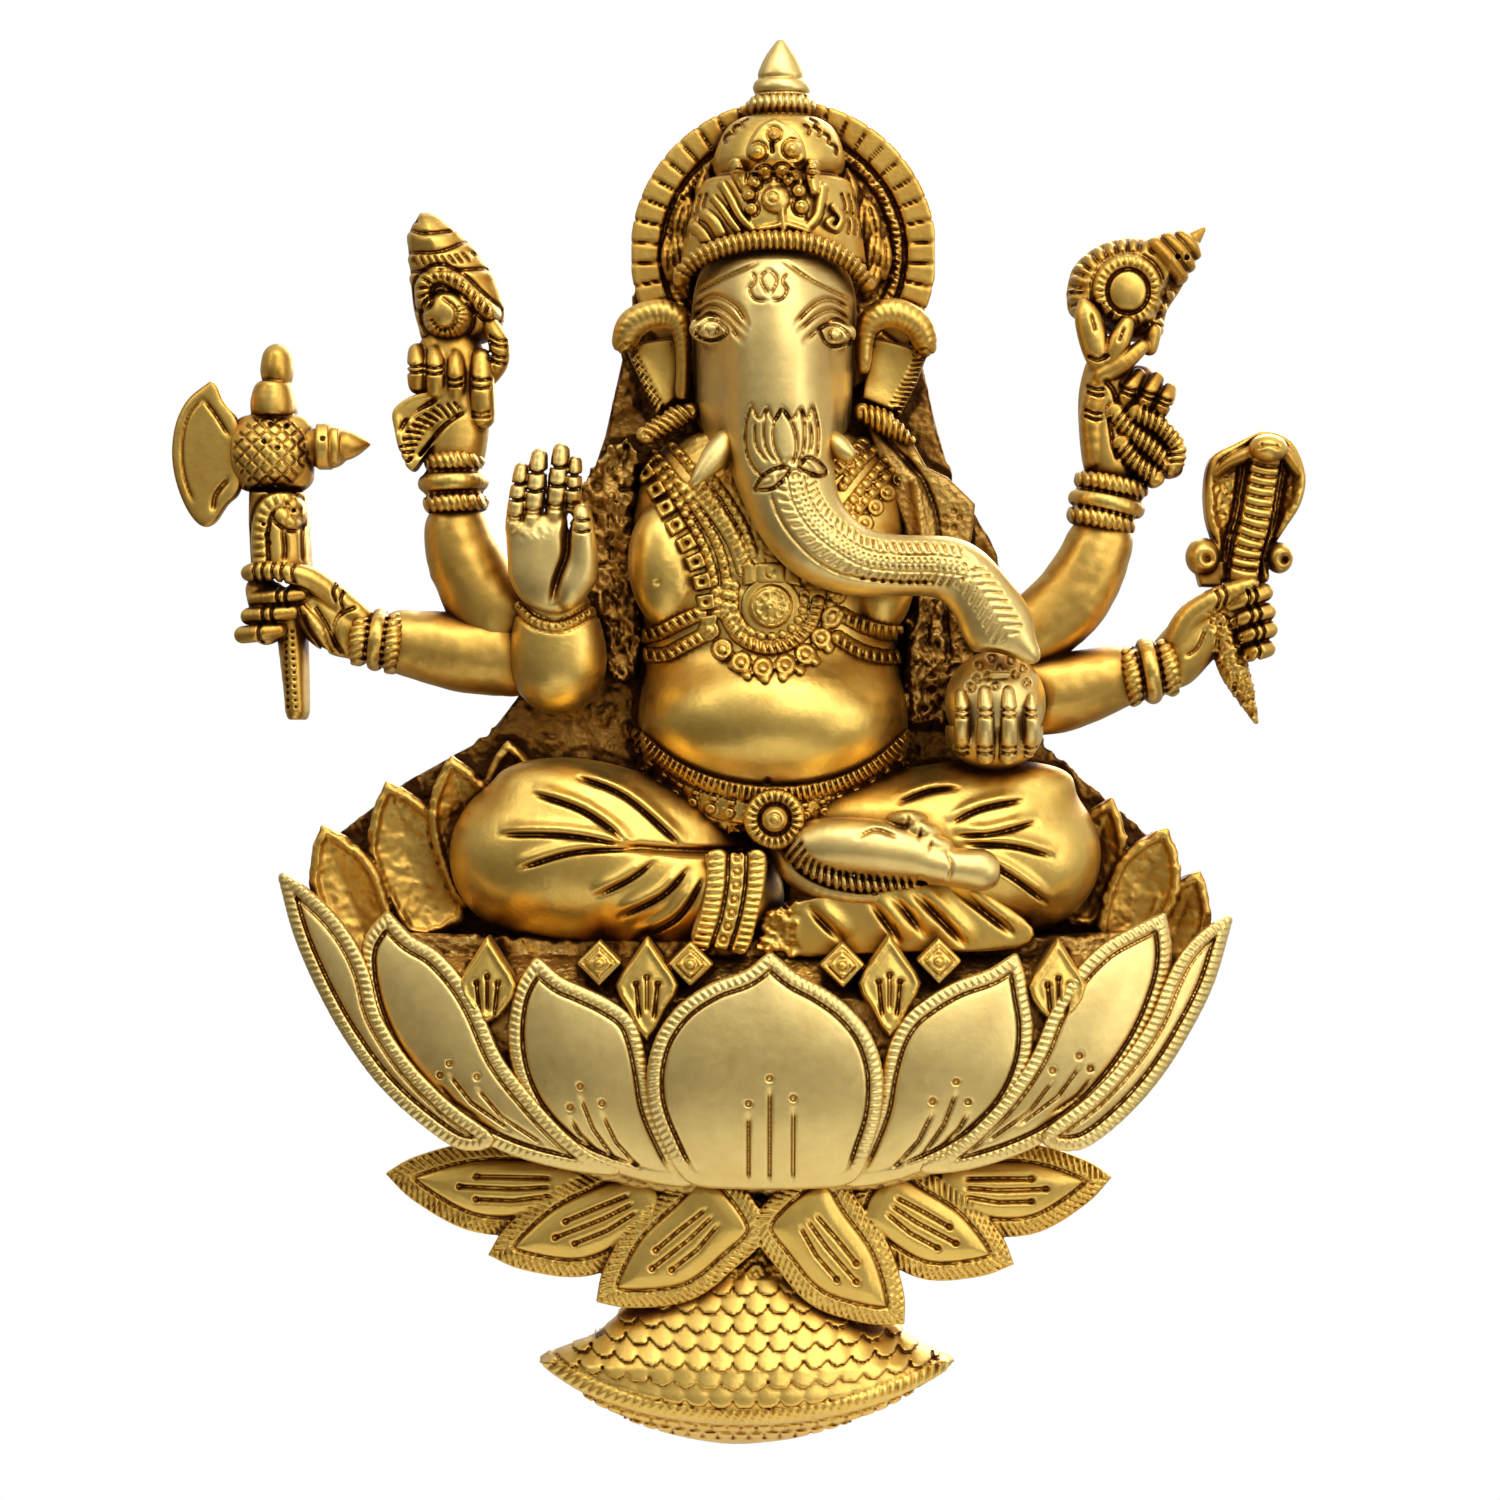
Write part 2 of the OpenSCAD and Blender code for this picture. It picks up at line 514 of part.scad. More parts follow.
module petal_middle() color(bright) front_petal([-0.5, -181.5], [0, -135], 23.5, petal_d, 0.4, 0.72);
module petal_inner_left() color(bright) front_petal([-25, -180], [-50, -136.5], 17, petal_d - 5);
module petal_inner_right() color(bright) front_petal([25, -180], [52, -136], 17, petal_d - 5);
module petal_outer_left() color(bright) front_petal([-46, -178], [-82, -127.5], 16, petal_d - 14, 0.5, 0.35);
module petal_outer_right() color(bright) front_petal([44, -178], [83, -127.5], 16, petal_d - 14, 0.5, 0.35);
module petal_edge_left() color(bright) front_petal([-66, -174], [-106, -119], 11, petal_d - 24, 0.5, 0.35);
module petal_edge_right() color(bright) front_petal([63, -175], [99, -128], 10, petal_d - 24, 0.5, 0.35);

small_d = 30;
module small_petals() color(aged) for (s = [-1, 1]) {
    for (p = [[25, 4], [61, 0]])
        petal([mid + s * (p[0] - 1), -152], [mid + s * p[0], -132.5], 5, small_d + p[1], small_d + p[1] + 6);
    for (p = [[15.5, 5], [36, 3]]) slab(small_d + p[1], small_d + p[1] + 5) translate([mid + s * p[0], -136])
        rotate(45) square(4.6, center = true);
}

// The scalloped rim of the petals behind; the left side stands a little further out than the right.
module rear_rim(s, grow) slab(plate_t + gap, 11) polygon([for (p = [
    [96, -128], [96, -116], [90, -114], [94 + grow, -107], [84, -108], [83 + grow, -98], [74, -100], [70, -92.5],
    [63, -94], [58, -88], [52, -92], [72, -106], [80, -128]]) [mid + s * p[0], p[1]]]);

module rear_petals() color(aged) {
    rear_rim(-1, 2);
    rear_rim(1, -4);
}

// Each skirt petal as [foot x, tip x, tip z, half width, layer]; the middle pair lies in front.
module skirt_petals() color(aged) for (p = [
    [-40, -83, -183, 9, 0], [-24, -60.5, -199.5, 10, 1], [-11, -37, -209.5, 10, 2], [9, 29, -214, 10, 2],
    [26, 53, -202, 10, 1], [40, 74, -184, 9, 0]]) let (back = 14 + 6 * p[4])
    petal([p[0], -188], [p[1], p[2]], p[3], back + gap, back + 5.9, 0.5, 0.35);

mound_x = mid - 6;
mound_stations = [
    [mound_x, -189, 8, 16, 14], [mound_x, -194, 8, 20, 17], [mound_x, -205, 8, 25, 20], [mound_x, -214, 8, 33, 22],
    [mound_x, -223.5, 8, 45, mound_d - 8], [mound_x, -228, 8, 41, mound_d - 9], [mound_x, -234, 8, 29, 19],
    [mound_x, -239, 8, 15, 12], [mound_x, -241.5, 8, 6, 6]
];

module base_mound() color(aged) difference() {
    loft(mound_stations, 0, true);
    hollow(mound_stations);
}

back_plate();
plate_left();
plate_right();
seat_rail();
seat_post_left();
seat_post_middle();
seat_post_right();
seat_sill();
hanger_plate();
hanger_screws();
halo();
crown();
crown_finial();
crown_crest();
brow_band();
head_and_trunk();
tusk_left();
tusk_right();
ear_left();
ear_right();
torso();
shawl_left();
shawl_right();
link_necklace();
bead_necklace();
pendant();
chest_ropes();
belt();
belt_buckle();
arm_conch();
arm_axe();
arm_shell();
arm_cobra();
bangles_conch();
bangles_axe();
bangles_shell();
bangles_cobra();
hand_conch();
hand_axe();
hand_shell();
hand_cobra();
conch();
axe_haft();
axe_blade();
ridged_shell();
cobra();
blessing_forearm();
blessing_hand();
sweet_hand();
sweet();
leg_left();
leg_right();
foot();
hem_bands();
sash_pleats();
lotus_bowl();
petal_middle();
petal_inner_left();
petal_inner_right();
petal_outer_left();
petal_outer_right();
petal_edge_left();
petal_edge_right();
small_petals();
rear_petals();
skirt_petals();
base_mound();
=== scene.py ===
import json
import math
import bpy
import numpy as np
import openvdb
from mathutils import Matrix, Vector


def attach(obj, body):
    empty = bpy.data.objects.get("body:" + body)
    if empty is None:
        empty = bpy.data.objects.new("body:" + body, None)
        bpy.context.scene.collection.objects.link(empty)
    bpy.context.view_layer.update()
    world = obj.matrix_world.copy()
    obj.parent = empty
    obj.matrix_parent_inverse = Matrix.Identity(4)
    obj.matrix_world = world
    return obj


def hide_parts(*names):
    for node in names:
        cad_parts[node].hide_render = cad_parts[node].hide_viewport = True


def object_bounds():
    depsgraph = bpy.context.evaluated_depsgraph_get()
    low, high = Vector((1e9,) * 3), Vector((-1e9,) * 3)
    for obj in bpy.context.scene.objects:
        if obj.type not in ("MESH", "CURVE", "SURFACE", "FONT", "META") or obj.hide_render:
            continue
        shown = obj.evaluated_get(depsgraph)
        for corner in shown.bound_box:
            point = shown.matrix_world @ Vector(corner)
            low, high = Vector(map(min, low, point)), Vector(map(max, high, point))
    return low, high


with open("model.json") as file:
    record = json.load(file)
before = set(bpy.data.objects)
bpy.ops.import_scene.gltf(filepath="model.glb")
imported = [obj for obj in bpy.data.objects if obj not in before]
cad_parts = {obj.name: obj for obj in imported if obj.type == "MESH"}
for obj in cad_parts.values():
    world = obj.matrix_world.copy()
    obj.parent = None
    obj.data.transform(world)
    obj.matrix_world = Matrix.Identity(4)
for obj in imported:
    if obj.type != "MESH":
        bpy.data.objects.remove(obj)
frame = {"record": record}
cadLow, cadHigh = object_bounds()

# Wall-hung brass relief, modelled like clay: each piece is a distance field in mm, which is then skinned.
# Every place is in mm from the hanging hole, the frame's origin: x right, z up, d out from the wall.
hole = [v / 0.001 for v in frame["record"]["mounts"][0]["pos_m"]]
mm = 0.001
farAway = 6.0     # value of a field well outside the clay
print("frame loaded, CAD box", [round(v, 4) for v in (*cadLow, *cadHigh)])


# Clay: a block of distances to a skin, and the ways to add to it.

def softMin(a, b, k):
    if k <= 0:
        return np.minimum(a, b)
    h = np.clip(0.5 + 0.5 * (b - a) / k, 0, 1)
    return b + (a - b) * h - k * h * (1 - h)


def softMax(a, b, k):
    return -softMin(-a, -b, k)


def smooth(points, steps=6):
    # Catmull-Rom through the points
    p = np.array(points, float)
    p = np.vstack([2 * p[0] - p[1], p, 2 * p[-1] - p[-2]])
    out = []
    for i in range(1, len(p) - 2):
        for j in range(steps):
            t = j / steps
            out.append(0.5 * (2 * p[i] + (p[i + 1] - p[i - 1]) * t
                              + (2 * p[i - 1] - 5 * p[i] + 4 * p[i + 1] - p[i + 2]) * t ** 2
                              + (3 * p[i] - p[i - 1] - 3 * p[i + 1] + p[i + 2]) * t ** 3))
    return np.array(out + [p[-2]])


class Clay:
    def __init__(self, x0, x1, z0, z1, d0, d1, grain=0.4):
        self.grain = grain
        self.low = np.floor(np.array([x0, d0, z0]) / grain - 3) * grain
        high = np.array([x1, d1, z1]) + 3 * grain
        n = np.ceil((high - self.low) / grain).astype(int) + 1
        self.x, self.d, self.z = [(self.low[i] + grain * np.arange(n[i])).astype(np.float32)
                                  for i in range(3)]
        self.f = np.full(n, farAway, np.float32)
        self.xs, self.zs = np.meshgrid(self.x, self.z, indexing="ij")   # for maps seen from the front

    def near(self, lo, hi):
        # the part of the block between two corners (x, d, z), with its coordinates
        cut = []
        for axis, a, b in zip((self.x, self.d, self.z), lo, hi):
            i = int(np.clip(np.searchsorted(axis, a), 0, len(axis)))
            cut.append(slice(i, int(np.clip(np.searchsorted(axis, b), i, len(axis)))))
        return (tuple(cut), self.x[cut[0]][:, None, None],
                self.d[cut[1]][None, :, None], self.z[cut[2]][None, None, :])

    def put(self, cut, g, blend=0.0, take=False):
        if take:
            self.f[cut] = softMax(self.f[cut], -g, blend)
        else:
            self.f[cut] = softMin(self.f[cut], g, blend)

    def blob(self, x, z, d, rx, rz, rd, turn=0.0, blend=0.0, take=False):
        r = max(rx, rz, rd) + blend + 1.5
        cut, xs, ds, zs = self.near((x - r, d - r, z - r), (x + r, d + r, z + r))
        c, s = math.cos(math.radians(turn)), math.sin(math.radians(turn))
        u, w, v = c * (xs - x) + s * (zs - z), -s * (xs - x) + c * (zs - z), ds - d
        a = np.sqrt((u / rx) ** 2 + (w / rz) ** 2 + (v / rd) ** 2) + 1e-6
        b = np.sqrt((u / rx ** 2) ** 2 + (w / rz ** 2) ** 2 + (v / rd ** 2) ** 2) + 1e-6
        self.put(cut, (a * (a - 1) / b).astype(np.float32), blend, take)

    def limb(self, stations, blend=0.0, steps=4, take=False):
        # a rounded form through stations (x, z, d, half width, half depth)
        s = smooth(stations, steps)
        for a, b in zip(s[:-1], s[1:]):
            r = max(a[3], b[3], a[4], b[4]) + blend + 1.0
            lo = (min(a[0], b[0]) - r, min(a[2], b[2]) - r, min(a[1], b[1]) - r)
            hi = (max(a[0], b[0]) + r, max(a[2], b[2]) + r, max(a[1], b[1]) + r)
            cut, xs, ds, zs = self.near(lo, hi)
            k = (a[3] + b[3]) / (a[4] + b[4])
            ex, ez, ed = b[0] - a[0], b[1] - a[1], (b[2] - a[2]) * k
            px, pz, pd = xs - a[0], zs - a[1], (ds - a[2]) * k
            t = np.clip((px * ex + pz * ez + pd * ed) / (ex * ex + ez * ez + ed * ed + 1e-9), 0, 1)
            g = (np.sqrt((px - t * ex) ** 2 + (pz - t * ez) ** 2 + (pd - t * ed) ** 2)
                 - (a[3] + (b[3] - a[3]) * t))
            self.put(cut, (g / max(k, 1.0)).astype(np.float32), blend, take)

    def relief(self, edge, front, back, blend=0.0, corner=0.6, take=False):
        # a form inside edge (a map, negative inside), from depth back to depth front (maps or numbers)
        front = np.broadcast_to(np.asarray(front, np.float32), self.xs.shape)
        back = np.broadcast_to(np.asarray(back, np.float32), self.xs.shape)
        gx, gz = np.gradient(front, self.grain)
        lean = np.sqrt(1 + np.clip(gx, -3, 3) ** 2 + np.clip(gz, -3, 3) ** 2)
        i, k = np.where(edge < blend + 1.5)
        if len(i) == 0:
            return
        bx, bz = slice(i.min(), i.max() + 1), slice(k.min(), k.max() + 1)
        ds = self.d[None, :, None]
        e, fr, ba, le = edge[bx, None, bz], front[bx, None, bz], back[bx, None, bz], lean[bx, None, bz]
        g = softMax(softMax((ds - fr) / le, ba - ds, corner), e, corner)
        self.put((bx, slice(None), bz), g.astype(np.float32), blend, take)

    def raiseBy(self, height, fromDepth=None):
        # lifts (or sinks) the skin by a map of heights, on the side that faces out
        h = height[:, None, :].astype(np.float32)
        if fromDepth is not None:
            h = h * np.clip((self.d[None, :, None] - fromDepth) / 1.5, 0, 1).astype(np.float32)
        self.f -= h

    def flatBack(self, depth, corner=0.5):
        self.f = softMax(self.f, (depth - self.d)[None, :, None], corner).astype(np.float32)

    def trim(self, edge, corner=0.3):
        self.f = softMax(self.f, edge[:, None, :], corner).astype(np.float32)

    def hollow(self, thick):
        # takes out the inside of a form that runs on past the back of the block
        self.f = softMax(self.f, -(self.f + thick), 0.4).astype(np.float32)

    def front(self):
        # map of how far out the skin reaches, and -99 where there is none
        solid = self.f < 0
        top = solid.shape[1] - 1 - np.argmax(solid[:, ::-1, :], axis=1)
        depth = self.d[top]
        return np.where(solid.any(axis=1), depth, -99.0)

    def over(self, x0, x1, z0, z1, extra=2.5):
        # a new block holding this one's field, for pieces that lie on it
        cut, _, _, _ = self.near((x0, -99, z0), (x1, 99, z1))
        new = Clay.__new__(Clay)
        new.grain = self.grain
        new.x, new.d, new.z = self.x[cut[0]], self.d, self.z[cut[2]]
        new.low = np.array([new.x[0], new.d[0], new.z[0]], float)
        new.f = self.f[cut].copy()
        new.xs, new.zs = np.meshgrid(new.x, new.z, indexing="ij")
        return new

    def shell(self, height, edge, sink=0.8, fromDepth=None):
        # turns the block into a skin lying on the form in it: raised by height inside edge
        base = self.f
        self.f = np.maximum(softMax(base - height[:, None, :], -(base + sink), 0.2),
                            edge[:, None, :]).astype(np.float32)
        if fromDepth is not None:
            self.f = np.maximum(self.f, (fromDepth - self.d)[None, :, None]).astype(np.float32)


# Drawing on the front: every function gives a map of heights or distances over a block.

def curve(points, steps=5):
    return smooth([p[:2] for p in points], steps)


def follow(clay, path, reach=5.0):
    # distance to a path, how far along it, and the signed side
    s = np.full(clay.xs.shape, 99.0, np.float32)
    t = np.zeros_like(s)
    side = np.zeros_like(s)
    start = 0.0
    for a, b in zip(path[:-1], path[1:]):
        dx, dz = b[0] - a[0], b[1] - a[1]
        length = math.hypot(dx, dz)
        if length < 1e-6:
            continue
        i0, i1 = np.searchsorted(clay.x, [min(a[0], b[0]) - reach, max(a[0], b[0]) + reach])
        k0, k1 = np.searchsorted(clay.z, [min(a[1], b[1]) - reach, max(a[1], b[1]) + reach])
        xs, zs = clay.xs[i0:i1, k0:k1], clay.zs[i0:i1, k0:k1]
        u = np.clip(((xs - a[0]) * dx + (zs - a[1]) * dz) / length ** 2, 0, 1)
        away = np.hypot(xs - a[0] - u * dx, zs - a[1] - u * dz)
        closer = away < s[i0:i1, k0:k1]
        s[i0:i1, k0:k1][closer] = away[closer]
        t[i0:i1, k0:k1][closer] = (start + u * length)[closer]
        side[i0:i1, k0:k1][closer] = np.sign((zs - a[1]) * dx - (xs - a[0]) * dz)[closer]
        start += length
    return s, t, np.where(s < 99, side * s, 99.0)


def soften(values, cells):
    # three running means each way
    for axis in (0, 1, 0, 1, 0, 1):
        pad = [(cells + 1, cells) if i == axis else (0, 0) for i in (0, 1)]
        total = np.cumsum(np.pad(values, pad, mode="edge").astype(np.float64), axis)
        n = values.shape[axis]
        ahead, behind = [slice(None)] * 2, [slice(None)] * 2
        ahead[axis], behind[axis] = slice(2 * cells + 1, 2 * cells + 1 + n), slice(0, n)
        values = (total[tuple(ahead)] - total[tuple(behind)]) / (2 * cells + 1)
    return values.astype(np.float32)


def inside(clay, points, reach=8.0):
    # signed distance to a closed outline, negative inside
    p = np.array(points, float)
    ring = np.vstack([p, p[:1]])
    s, _, _ = follow(clay, ring, reach)
    hit = np.zeros(clay.xs.shape, bool)
    for a, b in zip(ring[:-1], ring[1:]):
        crosses = (a[1] > clay.zs) != (b[1] > clay.zs)
        if a[1] != b[1]:
            hit ^= crosses & (clay.xs < (b[0] - a[0]) * (clay.zs - a[1]) / (b[1] - a[1]) + a[0])
    s = np.minimum(s, reach)
    return np.where(hit, -s, s)


def wave(along, pitch):
    # from 0 to 1 and back over each pitch
    return 0.5 + 0.5 * np.cos(2 * math.pi * along / pitch)


def bell(away, w):
    return np.exp(-((away / w) ** 2))


def dome(away, r, h):
    return h * np.sqrt(np.clip(1 - (away / r) ** 2, 0, 1))


def rope(clay, path, w=1.1, h=0.9, pitch=1.7, twist=0.45):
    s, t, side = follow(clay, path, w + 1)
    strand = 0.5 + 0.5 * np.cos(2 * math.pi * (t / pitch + twist * side / w))
    return dome(s, w, h) * (0.5 + 0.5 * np.sqrt(strand))


def beads(clay, path, r=0.9, h=0.8, every=2.1, base=0.0):
    s, t, _ = follow(clay, path, r + 1.5)
    u = (t / every - np.round(t / every)) * every
    lift = dome(np.hypot(u, s), r, h)
    return np.maximum(lift, np.where(s < r * 0.9, base, 0))


def tiles(clay, path, w=1.7, h=1.1, every=3.6, hollowDot=0.5):
    # square links with a dimple in each
    s, t, _ = follow(clay, path, w + 1.5)
    u = np.abs((t / every - np.round(t / every)) * every)
    edge = np.maximum(u - every * 0.42, s - w)
    lift = h * np.clip(-edge / 0.45, 0, 1)
    return lift - hollowDot * h * np.exp(-((np.hypot(u, s) / (0.33 * w)) ** 2) * 1.2) * (edge < 0)


def groove(clay, path, w=0.5, depth=0.5, fade=1.5):
    s, t, _ = follow(clay, path, 3 * w + 1)
    ends = np.clip(np.minimum(t, t.max() - t) / max(fade, 0.01) + 0.25, 0, 1)
    return -depth * bell(s, w) * ends


def dots(clay, places, r=0.6, h=-0.5):
    out = np.zeros_like(clay.xs)
    for x, z in places:
        away = np.hypot(clay.xs - x, clay.zs - z)
        out = np.where(away < r, dome(away, r, h), out)
    return out


def hatch(clay, path, inner, outer, every=1.2, depth=0.35, lean=0.5):
    # short strokes in a band beside a path
    s, t, side = follow(clay, path, max(abs(inner), abs(outer)) + 1)
    band = np.clip((side - inner) / 0.3, 0, 1) * np.clip((outer - side) / 0.3, 0, 1)
    return -depth * band * (wave(t + lean * side, every)) ** 2


def grit(clay, size, seed):
    # a rough cast skin: smooth noise with a grain of about size mm
    draw = np.random.default_rng(seed)
    out = np.zeros_like(clay.xs)
    for scale, share in ((1.0, 0.6), (0.45, 0.4)):
        step = size * scale
        n = [int((a[-1] - a[0]) / step) + 3 for a in (clay.x, clay.z)]
        values = draw.standard_normal(n).astype(np.float32)
        u, w = (clay.xs - clay.x[0]) / step, (clay.zs - clay.z[0]) / step
        i, k = u.astype(int), w.astype(int)
        u, w = u - i, w - k
        u, w = u * u * (3 - 2 * u), w * w * (3 - 2 * w)
        out += share * ((values[i, k] * (1 - u) + values[i + 1, k] * u) * (1 - w)
                        + (values[i, k + 1] * (1 - u) + values[i + 1, k + 1] * u) * w)
    return out


# Each finished block becomes a mesh, and all share a coarse block that says how shaded a place is; that shade
# is painted into the colour.

shadeStep = 1.0
shadeLow = np.array([cadLow[0] / mm - 12, -8.0, cadLow[2] / mm - 12])
shadeSize = ((np.array([cadHigh[0] / mm + 12, -cadLow[1] / mm + 14, cadHigh[2] / mm + 12])
              - shadeLow) / shadeStep)
shadeField = np.full(shadeSize.astype(int) + 1, farAway, np.float32)
made = []


def sample(field, low, step, p):
    q = (p - low) / step
    top = np.array(field.shape) - 1.001
    q = np.clip(q, 0, top)
    i = q.astype(int)
    w = q - i
    out = 0
    for a in (0, 1):
        for b in (0, 1):
            for c in (0, 1):
                share = ((w[:, 0] if a else 1 - w[:, 0]) * (w[:, 1] if b else 1 - w[:, 1])
                         * (w[:, 2] if c else 1 - w[:, 2]))
                out = out + share * field[i[:, 0] + a, i[:, 1] + b, i[:, 2] + c]
    return out


def finishClay(clay, node, look=None, nodes=None):
    # skins a block as the piece that stands for a node, or for several; a look is a slot and its material
    slot, material = look or antique
    name, nodes = node.replace("_", "-"), nodes or [node]
    f = clay.f
    for face in (f[0], f[-1], f[:, 0], f[:, -1], f[:, :, 0], f[:, :, -1]):
        np.maximum(face, 0.2, out=face)
    grid = openvdb.FloatGrid(farAway)
    grid.copyFromArray(f)
    points, quads = grid.convertToQuads(0.0)
    points = np.asarray(points, float)
    quads = np.asarray(quads, np.int64)
    places = clay.low + points * clay.grain
    e = 0.5 * clay.grain
    slope = np.stack([sample(f, clay.low, clay.grain, places + v)
                      - sample(f, clay.low, clay.grain, places - v) for v in np.eye(3) * e], 1)
    normals = slope / (np.linalg.norm(slope, axis=1, keepdims=True) + 1e-6)
    reachOut = 0.9
    pit = 1 - sample(f, clay.low, clay.grain, places + normals * reachOut) / reachOut
    wear = 1 + sample(f, clay.low, clay.grain, places - normals * reachOut) / reachOut
    # the coarse field that all pieces share, for the shade between them that is painted into the colour
    a = np.ceil((clay.low - shadeLow) / shadeStep).astype(int)
    b = np.floor((clay.low + (np.array(f.shape) - 1) * clay.grain - shadeLow) / shadeStep).astype(int) + 1
    a, b = np.maximum(a, 0), np.minimum(b, shadeField.shape)
    pick = [np.round((shadeLow[i] + shadeStep * np.arange(a[i], b[i])
                      - clay.low[i]) / clay.grain).astype(int) for i in range(3)]
    part = f[np.ix_(*[np.clip(p, 0, n - 1) for p, n in zip(pick, f.shape)])]
    block = shadeField[a[0]:b[0], a[1]:b[1], a[2]:b[2]]
    np.minimum(block, part, out=block)
    made.append(dict(name=name, nodes=nodes, slot=slot, material=material, places=places, quads=quads,
                     normals=normals, pit=pit, wear=wear))
    print(f"  {name}: {len(quads)} faces")


def buildPieces():
    pieces = {}
    for m in made:
        p, n = m["places"], m["normals"]
        # shade: how closed in each place is by the pieces around it, painted into the colour as shade
        shade = 0
        for h, share in ((2.0, 0.3), (4.0, 0.35), (5.5, 0.35)):
            shade = shade + share * np.clip(
                1 - sample(shadeField, shadeLow, shadeStep, p + n * h) / h, 0, 1)
        mesh = bpy.data.meshes.new(m["name"])
        quads = m["quads"]
        v = np.stack([p[:, 0], -p[:, 1], p[:, 2]], 1) * mm + np.array([hole[0], hole[1], hole[2]]) * mm
        a, b, c = v[quads[:, 0]], v[quads[:, 1]], v[quads[:, 2]]
        facing = np.cross(b - a, c - a)
        out = n[quads[:, 0]] * np.array([1, -1, 1])
        if (facing * out).sum() < 0:
            quads = quads[:, ::-1]
        mesh.vertices.add(len(v))
        mesh.vertices.foreach_set("co", v.astype(np.float32).ravel())
        mesh.loops.add(quads.size)
        mesh.loops.foreach_set("vertex_index", quads.astype(np.int32).ravel())
        mesh.polygons.add(len(quads))
        mesh.polygons.foreach_set("loop_start", np.arange(0, quads.size, 4, dtype=np.int32))
        mesh.update(calc_edges=True)
        mesh.validate()
        mesh.shade_smooth()
        # colour attribute: tarnish in the pits (red), painted shade between the forms (green), wear on raised
        # edges (blue)
        layer = mesh.attributes.new("patinaAndShade", "FLOAT_COLOR", "POINT")
        rgba = np.stack([np.clip(m["pit"], 0, 1), np.clip(shade, 0, 1), np.clip(m["wear"], 0, 1),
                         np.ones(len(v))], 1)
        layer.data.foreach_set("color", rgba.astype(np.float32).ravel())
        piece = bpy.data.objects.new(m["name"], mesh)
        bpy.context.scene.collection.objects.link(piece)
        mesh.materials.append(m["material"])
        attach(piece, "root")
        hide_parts(*m["nodes"])
        pieces[m["name"]] = piece
    return pieces


# Materials.

